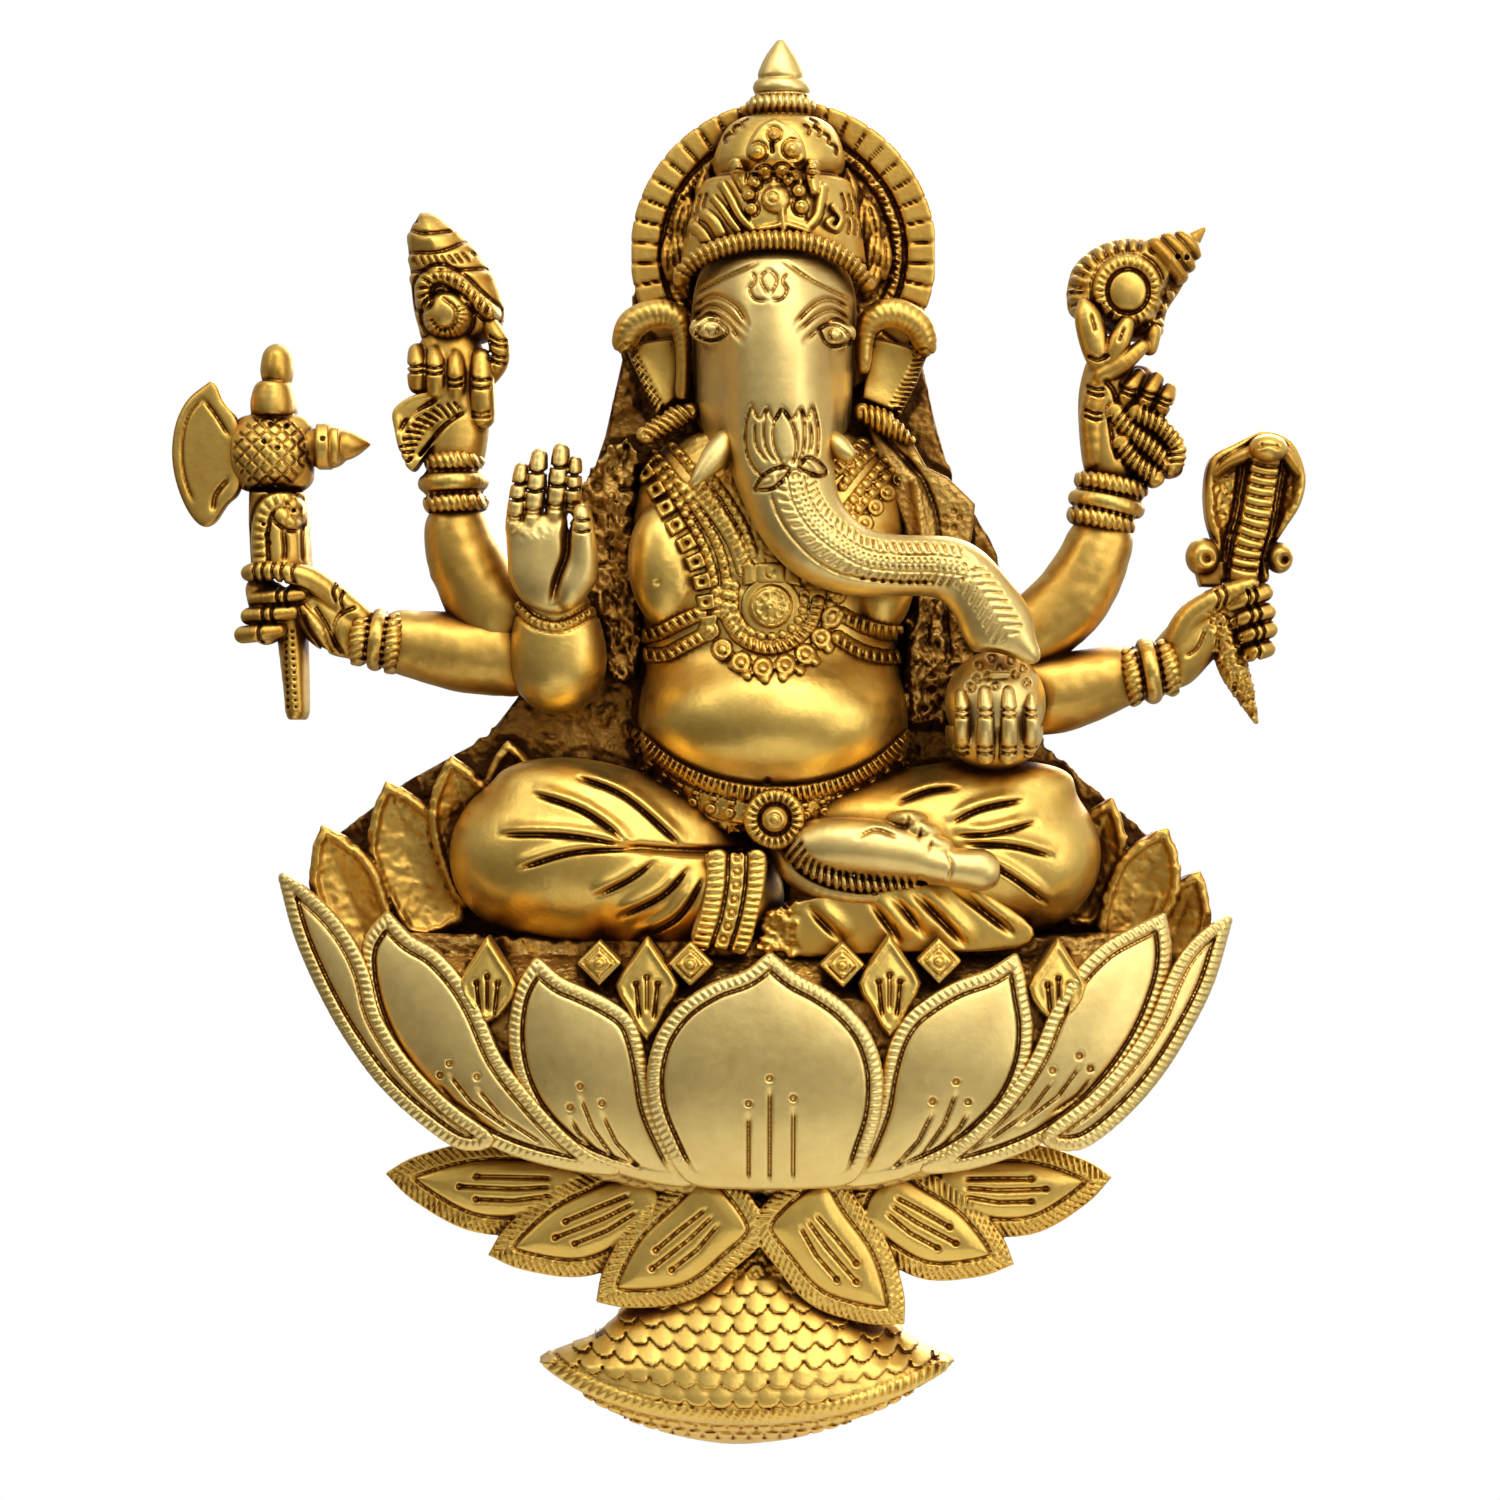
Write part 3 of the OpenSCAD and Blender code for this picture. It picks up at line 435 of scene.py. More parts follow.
def brass(name, bright, deep, dark, patinaAndShade=1.0, rough=(0.24, 0.46), bump=0.25, grainSize=260.0, spots=0.0,
          depthShadeAndDirt=0.0):
    # bright metal on what the cloth reaches, deeper gold lower down and brown in the recesses, from tarnish
    # and from painted shade
    mat = bpy.data.materials.new(name)
    mat.use_nodes = True
    nodes, links = mat.node_tree.nodes, mat.node_tree.links
    shader = nodes["Principled BSDF"]
    shader.inputs["Metallic"].default_value = 1.0

    def math2(kind, a, b, clamp=False):
        n = nodes.new("ShaderNodeMath")
        n.operation, n.use_clamp = kind, clamp
        for socket, value in zip(n.inputs, (a, b)):
            if isinstance(value, (int, float)):
                socket.default_value = value
            else:
                links.new(value, socket)
        return n.outputs[0]

    where = nodes.new("ShaderNodeTexCoord").outputs["Object"]

    def noise(scale, detail=4.0, roughness=0.6):
        n = nodes.new("ShaderNodeTexNoise")
        n.inputs["Scale"].default_value = scale
        n.inputs["Detail"].default_value = detail
        n.inputs["Roughness"].default_value = roughness
        links.new(where, n.inputs["Vector"])
        return n.outputs["Fac"]

    att = nodes.new("ShaderNodeAttribute")
    att.attribute_name = "patinaAndShade"
    split = nodes.new("ShaderNodeSeparateColor")
    links.new(att.outputs["Color"], split.inputs[0])
    pit, shade, wear = split.outputs
    cloud, fine = noise(55.0), noise(420.0, 3.0)
    # how dark the colour lies here: tarnish in the pits, then painted shade between forms, broken up by noise
    dirtAndShade = math2("MULTIPLY_ADD", pit, 1.15)
    dirtAndShade.node.inputs[2].default_value = -0.08
    dirtAndShade = math2("ADD", dirtAndShade, math2("MULTIPLY", math2("POWER", shade, 1.4), 1.0))
    dirtAndShade = math2("ADD", dirtAndShade, math2("MULTIPLY", math2("SUBTRACT", cloud, 0.5), 0.42))
    dirtAndShade = math2("SUBTRACT", dirtAndShade, math2("MULTIPLY", wear, 0.34))
    # the polishing cloth reaches what stands out from the wall; nearer the wall the colour is also darkened as
    # painted shade
    place = nodes.new("ShaderNodeSeparateXYZ")
    links.new(where, place.inputs[0])
    back = math2("MULTIPLY_ADD", place.outputs["Y"], 40.0, clamp=True)
    back.node.inputs[2].default_value = 1.28
    dirtAndShade = math2("ADD", dirtAndShade, math2("MULTIPLY", back, depthShadeAndDirt))
    dirtAndShade = math2("MULTIPLY", dirtAndShade, patinaAndShade, clamp=True)
    ramp = nodes.new("ShaderNodeValToRGB")
    stops = ramp.color_ramp
    stops.elements[0].position, stops.elements[0].color = 0.10, (*bright, 1)
    stops.elements[1].position, stops.elements[1].color = 0.92, (*dark, 1)
    middle = stops.elements.new(0.46)
    middle.color = (*deep, 1)
    links.new(dirtAndShade, ramp.inputs[0])
    tint = nodes.new("ShaderNodeMix")
    tint.data_type, tint.blend_type = "RGBA", "MULTIPLY"
    tint.inputs[0].default_value = 0.35
    links.new(ramp.outputs[0], tint.inputs[6])
    shadeRamp = nodes.new("ShaderNodeValToRGB")
    shadeRamp.color_ramp.elements[0].position, shadeRamp.color_ramp.elements[0].color = 0.30, (0.72, 0.60,
            0.42, 1)
    shadeRamp.color_ramp.elements[1].position, shadeRamp.color_ramp.elements[1].color = 0.62, (1, 1, 1, 1)
    links.new(noise(130.0, 5.0, 0.65), shadeRamp.inputs[0])
    links.new(shadeRamp.outputs[0], tint.inputs[7])
    links.new(tint.outputs[2], shader.inputs["Base Color"])
    gloss = math2("MULTIPLY_ADD", dirtAndShade, rough[1] - rough[0])
    gloss.node.inputs[2].default_value = rough[0]
    gloss = math2("ADD", gloss, math2("MULTIPLY", math2("SUBTRACT", fine, 0.5), 0.22), clamp=True)
    links.new(gloss, shader.inputs["Roughness"])
    # cast grain and polishing marks
    lumps = nodes.new("ShaderNodeBump")
    lumps.inputs["Strength"].default_value = bump
    lumps.inputs["Distance"].default_value = 0.0004
    height = math2("ADD", noise(grainSize, 4.0), math2("MULTIPLY", fine, 0.6))
    if spots:
        cell = nodes.new("ShaderNodeTexVoronoi")
        cell.inputs["Scale"].default_value = 700.0
        links.new(where, cell.inputs["Vector"])
        height = math2("ADD", height, math2("MULTIPLY", cell.outputs["Distance"], spots))
    links.new(height, lumps.inputs["Height"])
    links.new(lumps.outputs[0], shader.inputs["Normal"])
    return mat


# each brass below: how strongly tarnish and painted shade darken it, and how much darker it grows near the
# wall as painted shade
satinBrass = brass("satin brass", bright=(0.88, 0.67, 0.25), deep=(0.66, 0.40, 0.09),
                   dark=(0.15, 0.06, 0.014), patinaAndShade=0.85, rough=(0.40, 0.52), bump=0.16)
antiqueBrass = brass("antique brass", bright=(0.85, 0.575, 0.14), deep=(0.60, 0.31, 0.045),
                     dark=(0.13, 0.048, 0.011), patinaAndShade=0.92, rough=(0.36, 0.52), bump=0.28, depthShadeAndDirt=0.42)
castBrass = brass("rough cast brass", bright=(0.62, 0.40, 0.11), deep=(0.36, 0.18, 0.035),
                  dark=(0.075, 0.030, 0.008), patinaAndShade=1.15, rough=(0.38, 0.62), bump=0.9, grainSize=210.0,
                  spots=0.8, depthShadeAndDirt=0.5)
# amber brass: a deeper-toned brass, also darkened to paint the shade on the back layers it covers (arms, rear
# petals)
shadedAmberBrass = brass("amber brass", bright=(0.74, 0.46, 0.10), deep=(0.50, 0.25, 0.036),
                   dark=(0.12, 0.044, 0.010), patinaAndShade=0.95, rough=(0.38, 0.54), bump=0.22, depthShadeAndDirt=0.25)
satin, antique = ("brass_satin", satinBrass), ("brass_antique", antiqueBrass)
cast, shadedAmber = ("brass_antique", castBrass), ("brass_antique", shadedAmberBrass)
print("materials made")


# The lotus seat and the mound under it.

# reachOut is how far the middle petal stands out, and thick and grow are a petal's thickness and how far it
# reaches past its drawn outline
lotus = dict(reachOut=cadLow[1] / -mm - 1.0, halfWidth=118.0, middle=-2.0, tuck=0.17, swell=2.4, thick=4.3,
             grow=1.0)


def lotusFront(clay):
    # how far out the flower's swelling side stands
    x = np.clip(np.abs(clay.xs - lotus["middle"]) / lotus["halfWidth"], 0, 0.97)
    low = np.clip((-152 - clay.zs) / 32, 0, 1.2)
    high = np.clip((clay.zs + 150) / 30, 0, 1)
    return lotus["reachOut"] * np.sqrt(1 - x ** 2) * (1 - lotus["tuck"] * low ** 2) - 0.2 - 2.8 * high ** 2


petals = dict(petal_middle=dict(outline=[(0, -134.8), (-5, -138.6), (-12, -141.2), (-18.5, -145.5),
                                         (-23, -151.5), (-25, -158.5), (-24.8, -166), (-22, -174),
                                         (-17.2, -182.2), (-8, -183.6), (8, -183.6), (17.2, -182.2),
                                         (20.6, -175), (22.7, -167.5), (22.8, -159), (20.4, -151.5),
                                         (16, -146), (10.5, -142), (5, -139)], rim=(0, 15), lift=0,
                                stamens=[(-4.6, -168.4, -182.4), (-0.1, -163, -182.8),
                                         (4.9, -167.2, -182.4)]),
              petal_inner_left=dict(outline=[(-49.8, -136), (-45, -140), (-40.5, -142), (-35, -144.6),
                                             (-30.2, -148), (-28, -153), (-26.5, -160), (-25, -168),
                                             (-20, -179), (-17.5, -183.2), (-25, -182.6), (-34.5, -179.8),
                                             (-43, -175.5), (-49.5, -169), (-53.5, -161), (-55, -153),
                                             (-54.5, -145.5), (-52.8, -140.4)], rim=(0, 8), lift=-3.2,
                                    stamens=[(-42.6, -169.6, -176, 5.0), (-40.4, -165, -178, 7.0),
                                             (-35.8, -168.6, -180.4, 8.0)], lean=0.35),
              petal_inner_right=dict(outline=[(52.3, -135.4), (47, -138.6), (40, -141), (34, -144.4),
                  (29.5, -148), (26.5, -153), (24.5, -160), (23, -168), (19, -178), (16.5, -183.2),
                  (25, -182.4), (34.5, -179), (43.5, -173.8), (50.5, -166.5), (54.4, -158),
                  (55.3, -150), (54.3, -143), (53.6, -139)], rim=(0, 8),
                  lift=-3.2, stamens=[(42.2, -168.4, -175, -5.0), (39.6, -164, -177.4, -7.0),
                  (34.6, -168.2, -180, -8.0)], lean=-0.35),
                  petal_outer_left=dict(outline=[(-82.4, -126.6), (-77.5, -131.4), (-72, -134.6),
                  (-66.5, -140.4), (-62.5, -147), (-58, -157), (-51, -166), (-44.5, -173),
                  (-38.5, -178), (-33, -180.8), (-42, -180), (-55, -176.6), (-66, -171), (-75.5, -163),
                  (-82.5, -153.5), (-86.4, -143), (-87.2, -134.5), (-85.4, -130)], rim=(0, 9),
                  lift=-3.0, stamens=[(-70.6, -163, -169.6, 8.0), (-68.6, -160.4, -172, 13.0),
                  (-62.6, -163.2, -175, 14.0)], lean=0.6), petal_outer_right=dict(outline=[(84.6, -127),
                  (78, -130), (71.5, -133.6), (65.5, -139.5), (60.8, -147), (57, -156), (51, -165),
                  (44, -172.4), (38, -177.4), (33, -180.4), (42, -179.8), (54, -176), (64, -170.4),
                  (73, -162), (80, -152), (84.4, -141.5), (85.6, -134)], rim=(0, 9),
                  lift=-3.0, stamens=[(68.6, -161.6, -168.4, -8.0), (66.2, -158.8, -171, -13.0),
                  (60.4, -161.8, -174.4, -14.0)], lean=-0.6),
                  petal_edge_left=dict(outline=[(-105.8, -118.6), (-101, -121.4), (-95.4, -126),
                  (-90.5, -132), (-87, -139), (-84.5, -148), (-78, -158), (-69, -167), (-60, -174),
                  (-66, -175.4), (-74, -170.4), (-83, -162.4), (-91, -152), (-97.4, -141),
                  (-102.4, -130)], rim=(0, 8), lift=-2.0, stamens=[], lean=0.9),
                  petal_edge_right=dict(outline=[(99.3, -127.6), (94, -130.6), (89.5, -135), (86, -141),
                  (82.5, -149), (77, -157), (69, -165.5), (59, -173.6), (66, -175.6), (74.5, -170),
                  (83, -161), (90, -150.5), (95.2, -140.4)], rim=(0, 7), lift=-2.0, stamens=[],
                  lean=-0.9))


def addPetal(name, spec):
    outline = smooth(spec["outline"] + spec["outline"][:1], 4)
    xs, zs = [p[0] for p in spec["outline"]], [p[1] for p in spec["outline"]]
    c = Clay(min(xs) - 2, max(xs) + 2, min(zs) - 2, max(zs) + 2, 4, lotus["reachOut"] + 3, 0.36)
    edge = inside(c, outline, 13) - lotus["grow"]
    depth = lotusFront(c) + spec["lift"]
    lean = spec.get("lean", 0)
    depth = depth + lean * 1.5 * np.clip((c.xs - np.mean(xs)) / 20, -1, 1)
    swell = soften(np.sqrt(np.clip(-edge / 12, 0, 1)), 7)
    # the foot sits on the bowl and the tip stands free
    foot = lotusFront(c) - 9.0 + 5.0 * np.clip((c.zs + 148) / 6, 0, 1)
    c.relief(edge, depth + lotus["swell"] * (swell - 1), np.minimum(depth - lotus["thick"], foot),
             corner=0.9)
    # roped rim down both sides from the tip, and a fine ledge inside it
    s, t, side = follow(c, outline, 4)
    top = np.clip((c.zs + 181.5) / 4, 0, 1)
    rim = (dome(-edge - 1.45, 1.5, 0.95) * (0.5
                                            + 0.5 * np.sqrt(0.5 + 0.5 * np.cos(2 * math.pi
                                                    * (t / 1.5 - 0.16 * edge)))))
    ledge = -0.7 * bell(edge + 3.2, 0.45)
    c.raiseBy((rim + ledge) * top, fromDepth=8)
    for x, z0, z1, *sweep in spec["stamens"]:
        x1 = x + (sweep[0] if sweep else 0)
        c.raiseBy(groove(c, [(x, z0 + 0.2), (x + 0.36 * (x1 - x), (z0 + z1) / 2), (x1, z1)], 0.45, 0.9, 2)
                  + dots(c, [(x, z0 + 2.6)], 0.85, -1.1), fromDepth=8)
    finishClay(c, name, satin)


for petalName, petalSpec in petals.items():
    addPetal(petalName, petalSpec)


def makeBowl():
    c = Clay(-106, 100, -188, -126, -1, 48, 0.6)
    outline = smooth([(-92, -130), (-60, -131), (0, -131.5), (60, -131), (88, -130.5), (84, -143),
                      (74, -157), (60, -170), (40, -180.5), (18, -185.6), (-2, -186.6), (-22, -185.6),
                      (-44, -180.5), (-64, -170), (-78, -158), (-89, -144), (-92, -130)], 3)
    edge = inside(c, outline, 12)
    c.relief(edge, lotusFront(c) - 7.5 - 13.0 * np.clip((c.zs + 144) / 9, 0, 1), 0, corner=1.0)
    deepest = lotusFront(c) - 11.5 - 13.0 * np.clip((c.zs + 146) / 9, 0, 1)
    room = np.maximum((edge + 5.0)[:, None, :], c.d[None, :, None] - deepest[:, None, :])
    room = softMax(room, -9 + 0 * c.f, 0.1)
    c.f = softMax(c.f, -room.astype(np.float32), 0.8).astype(np.float32)
    c.raiseBy(grit(c, 2.2, 3) * 0.35, fromDepth=14)
    finishClay(c, "lotus_bowl", cast)


makeBowl()


def makeSmallPetals():
    leaves = [(-26.2, -130.5, -153, 6.7), (-60.4, -130.5, -149, 6.3), (25.4, -130, -152, 6.7),
              (61.6, -131, -149, 6.4)]
    studs = [(-36.4, -136.2), (-17.0, -136.4), (15.4, -136.6), (36.0, -135.8)]
    c = Clay(-68, 69, -156, -128, 8, 49, 0.4)
    depth = lotusFront(c)
    rear = depth - 9.5 - 12.0 * np.clip((c.zs + 144) / 9, 0, 1)
    for x, top, foot, w in leaves:
        path = smooth([(x, top), (x + w * 0.55, top - 5.4), (x + w, top - 10.4), (x + w * 0.62, top - 15.6),
                       (x, foot), (x - w * 0.62, top - 15.6), (x - w, top - 10.4),
                       (x - w * 0.55, top - 5.4), (x, top)], 2)
        edge = inside(c, path, 6)
        c.relief(edge, depth - 5.0 + 1.6 * np.sqrt(np.clip(-edge / w, 0, 1)), rear, corner=0.5)
        for k in (-1, 0, 1):
            start = top - 8.6 - 1.4 * abs(k)
            cut = (groove(c, [(x + 2.3 * k, start), (x + 1.5 * k, start - 7.6)], 0.42, 1.1, 1)
                   + dots(c, [(x + 2.3 * k, start)], 0.8, -1.1))
            c.raiseBy(cut, fromDepth=20)
        c.raiseBy(0.7 * bell(edge + 0.9, 0.6) * (edge < 0.5), fromDepth=20)
    for x, z in studs:
        edge = (np.abs(c.xs - x) + np.abs(c.zs - z) - 4.9) * 0.707
        c.relief(edge, depth - 5.2 + 1.2 * np.clip(-edge / 2, 0, 1), rear, corner=0.4)
        c.raiseBy(-0.6 * bell(edge + 1.1, 0.3) + dots(c, [(x, z)], 1.0, 0.7)
                  - 0.5 * bell(np.hypot(c.xs - x, c.zs - z) - 1.4, 0.3), fromDepth=20)
    finishClay(c, "small_petals")


makeSmallPetals()


def makeRearPetals():
    # (tip, foot, half width) of each petal behind the seat
    rows = [[(-97.5, -107), (-86, -136), 7.5], [(-83.5, -97.5), (-72, -130), 9],
            [(-69.5, -91.8), (-62, -124), 8], [(-57, -88.5), (-54, -116), 7], [(63, -95), (57, -118), 7],
            [(74.5, -101), (66, -128), 7], [(86.5, -107.5), (76, -134), 7.5], [(93.6, -117), (84, -140), 6.5]]
    c = Clay(-102, 98, -142, -84, 3, 22, 0.45)
    for i, ((tx, tz), (fx, fz), w) in enumerate(rows):
        ux, uz = (tx - fx), (tz - fz)
        n = math.hypot(ux, uz)
        ux, uz = ux / n, uz / n

        def at(a, b):
            return (fx + ux * n * a - uz * w * b, fz + uz * n * a + ux * w * b)

        path = smooth([at(1, 0), at(0.84, 0.55), at(0.6, 1), at(0.25, 0.95), at(0, 0.6), at(0, -0.6),
                       at(0.25, -0.95), at(0.6, -1), at(0.84, -0.55), at(1, 0)], 4)
        edge = inside(c, path, 8)
        along = ((c.xs - fx) * ux + (c.zs - fz) * uz) / n
        depth = 13 + 2.5 * np.clip(along, 0, 1) - (1.4 if i % 2 else 0)
        dish = -2.6 * np.clip(-edge / w, 0, 1) + 1.0 * bell(edge + 1.4, 0.8)
        c.relief(edge, depth + dish, 4.6, corner=0.6)
    c.raiseBy(grit(c, 1.6, 5) * 0.2, fromDepth=6)
    # the rear petals take the darkened amber brass: partly their deeper tone, partly painted shade
    finishClay(c, "rear_petals", ("brass_cast", shadedAmberBrass))


makeRearPetals()


skirt = [  # tip, foot, half width, layer, bend
    ((-83.4, -182.6), (-38, -184), 9.5, 0, 4.5), ((74.2, -183.4), (34, -184), 9.5, 0, -4.5),
    ((-61, -200), (-22, -184), 10.0, 1, 4.0), ((52.8, -202), (20, -184), 10.0, 1, -4.0),
    ((-37.5, -209.8), (-7, -185), 10.5, 2, 4.0), ((29, -214.6), (4, -185), 10.5, 2, -4.0)]


def makeSkirt():
    c = Clay(-86, 77, -217, -174, 6, 38, 0.4)
    for (tx, tz), (fx, fz), w, layer, bend in skirt:
        ux, uz = tx - fx, tz - fz
        n = math.hypot(ux, uz)
        ux, uz = ux / n, uz / n

        def at(a, b):
            arc = bend * math.sin(math.pi * min(a, 1.0)) * 0.5
            return (fx + ux * n * a - uz * (w * b + arc), fz + uz * n * a + ux * (w * b + arc))

        path = smooth([at(1, 0), at(0.86, 0.5), at(0.6, 1.0), at(0.32, 1.08), at(0.0, 0.95), at(0.0, -0.95),
                       at(0.32, -1.08), at(0.6, -1.0), at(0.86, -0.5), at(1, 0)], 5)
        edge = inside(c, path, 11)
        along = np.clip(((c.xs - fx) * ux + (c.zs - fz) * uz) / n, 0, 1)
        depth = 21.5 + 4.2 * layer + 5.0 * (1 - along) ** 2 - 1.6 * along
        c.relief(edge, depth + 2.6 * (soften(np.sqrt(np.clip(-edge / w, 0, 1)), 4) - 1), depth - 6.0,
                 corner=0.7)
        s, t, side = follow(c, path, 5)
        band = np.clip((edge + 3.5) / 0.4, 0, 1) * np.clip((-edge - 0.25) / 0.3, 0, 1)
        strokes = -0.5 * band * (wave(t - 0.7 * edge, 1.55)) ** 2
        here = (np.abs(c.front() - depth) < 3.2).astype(np.float32)
        cut = strokes - 0.9 * bell(edge + 3.9, 0.42) + 0.5 * np.clip((-edge - 4.3) / 2.5, 0, 1)
        for k in (-1, 0, 1):
            end = at(0.56 + 0.08 * (k == 0), 0.26 * k)
            cut = (cut + groove(c, [at(0.2, 0.2 * k), at(0.38, 0.27 * k), end], 0.45, 0.95, 1)
                   + dots(c, [end], 0.8, -1.0))
        c.raiseBy(cut * (edge < 0) * here, fromDepth=10)
    finishClay(c, "skirt_petals")


makeSkirt()


mound = dict(middle=-5.5, rowHeight=4.0, scaleWidth=5.1, brick=3.2)


def makeMound():
    c = Clay(-52, 42, -243, -186, -1, 34, 0.42)
    outline = smooth([(-20, -188), (-24, -200), (-30.5, -211), (-38, -218.5), (-49.8, -224), (-42, -229.5),
                      (-31, -235.6), (-18, -240), (-8, -241.6), (4, -240.4), (18, -236), (30, -230.4),
                      (39.6, -224.6), (31, -219.6), (26, -214), (20, -203), (16, -188), (-20, -188)], 4)
    edge = inside(c, outline, 14)
    middle = mound["middle"]
    half = 20 + 24 * np.clip((-c.zs - 196) / 28, 0, 1) ** 1.3
    u = np.clip(np.abs(c.xs - middle) / (half + 1), 0, 1)
    shoulder = np.clip((-c.zs - 188) / 36, 0, 1)
    depth = 7 + (14 + 9.5 * shoulder) * np.sqrt(np.clip(1 - u ** 2.2, 0, 1))
    low = np.clip((-c.zs - 229) / 12.5, 0, 1)
    depth = depth * (1 - 0.5 * low ** 2)
    c.relief(edge, depth, 0, corner=1.0)
    # rows of scales, each a U with its lower edge raised
    rimPath = smooth([(-49, -224.4), (-40, -229), (-26, -233.4), (-10, -235.6), (6, -235), (22, -231.6),
                      (38, -225.4)], 6)
    sRim, tRim, sideRim = follow(c, rimPath, 12)
    above = np.clip((sideRim - 3.0) / 0.6, 0, 1)
    rowHeight, scaleWidth = mound["rowHeight"], mound["scaleWidth"]
    sag = -0.0028 * (c.xs - middle) ** 2
    v = -(c.zs + 203.5 + sag) / rowHeight
    scales = np.zeros_like(c.xs) - 0.4
    for k in range(-1, 9):
        # the scale of row k that hangs here: its lower edge is round, and it lies over the next row
        wide = (c.xs - middle) / scaleWidth + 0.5 * (k % 2)
        across = (wide - np.round(wide)) * scaleWidth
        drop = (v - k) * rowHeight
        tip = rowHeight * 0.55 + 2.5 * np.sqrt(np.clip(1 - (across / 2.62) ** 2, 0, 1))
        tile = np.where((drop > -1) & (drop < tip), 0.1 + 0.24 * drop - 0.05 * across ** 2, -0.4)
        scales = np.maximum(scales, tile)
    neck = np.clip((-c.zs - 203) / 2, 0, 1)
    c.raiseBy(scales * above * neck + (1 - neck) * 0.8 * grit(c, 1.6, 7), fromDepth=8)
    # hatched rim and the brick course under it
    band = dome(sideRim - 1.2, 1.9, 1.2) * (0.5 + 0.5 * np.sqrt(wave(tRim - 0.5 * sideRim, 1.9)))
    under = np.clip((-0.9 - sideRim) / 0.3, 0, 1) * np.clip((sideRim + 4.6) / 0.3, 0, 1)
    brickRow = (sideRim < -2.7)
    brick = np.abs(((tRim + 1.6 * brickRow) / mound["brick"]) % 1 - 0.5) * 2
    joints = np.maximum(bell((1 - brick) * 1.6, 0.35), bell(sideRim + 2.7, 0.3))
    c.raiseBy(band - 0.55 * joints * under - 0.5 * bell(sideRim + 0.9, 0.35), fromDepth=4)
    inner = softMax(edge + 4.6, -20 + 0 * edge, 0.1)
    room = np.maximum(inner[:, None, :], c.d[None, :, None] - (depth - 5.0)[:, None, :])
    c.f = softMax(c.f, -room.astype(np.float32), 0.8).astype(np.float32)
    finishClay(c, "base_mound")


makeMound()
print("lotus and base done")


# The body, its cloth and its jewellery.

def barrel(clay, stations, steps=4):
    # outline and front of an upright rounded form through stations
    # (x, z, d, half width, half depth), top first
    s = smooth(stations, steps)[::-1]
    x0, d0, halfWidth, halfDepth = [np.interp(clay.zs, s[:, 1], s[:, k]).astype(np.float32)
                                    for k in (0, 2, 3, 4)]
    u = np.abs(clay.xs - x0) / halfWidth
    front = d0 + halfDepth * np.sqrt(np.clip(1 - u ** 2, 0, 1))
    edge = np.maximum(np.abs(clay.xs - x0) - halfWidth, np.maximum(clay.zs - s[-1, 1], s[0, 1] - clay.zs))
    return edge, front


def ringBeads(clay, path, r=2.0, h=1.2, every=4.4):
    s, t, _ = follow(clay, path, r + 1.5)
    away = np.hypot((t / every - np.round(t / every)) * every, s)
    return dome(away, r, h) - 0.55 * bell(away - 0.5 * r, 0.32) * (away < r)


def fold(clay, path, w=1.0, depth=1.1):
    # a pleat: a groove with a soft raised lip on one side
    s, t, side = follow(clay, path, 5)
    ends = np.clip(np.minimum(t, t.max() - t) / 5, 0, 1)
    return ends * (0.7 * depth * bell(side - 1.5 * w, 1.2 * w) - depth * bell(side, 0.5 * w))


def lay(base, area, height, sink, node, margin=0.15):
    # an ornament on a form: a skin over the form's field, raised by height where that is above zero
    c = base.over(*area)
    h = height(c)
    edge = (margin - h) * 1.2
    c.shell(h, np.clip(edge, -1.5, 1.5), sink, fromDepth=7)
    finishClay(c, node)


legs = dict(left=[(-53, -113.8, 13, 16.6, 19), (-45, -113, 14, 19.2, 20.5), (-34, -115, 15, 18.6, 20),
                  (-22, -118.5, 15, 15.5, 19), (-12, -121.5, 15, 12.0, 18.5), (-7.5, -122.5, 15, 10.2, 18)],
            right=[(55.5, -113.5, 13, 16.5, 18), (46, -112, 14, 17.6, 19.5), (34, -109.5, 15, 14.5, 19),
                   (22, -107, 15, 10.5, 17.5), (12, -105.5, 15, 7.5, 15)])


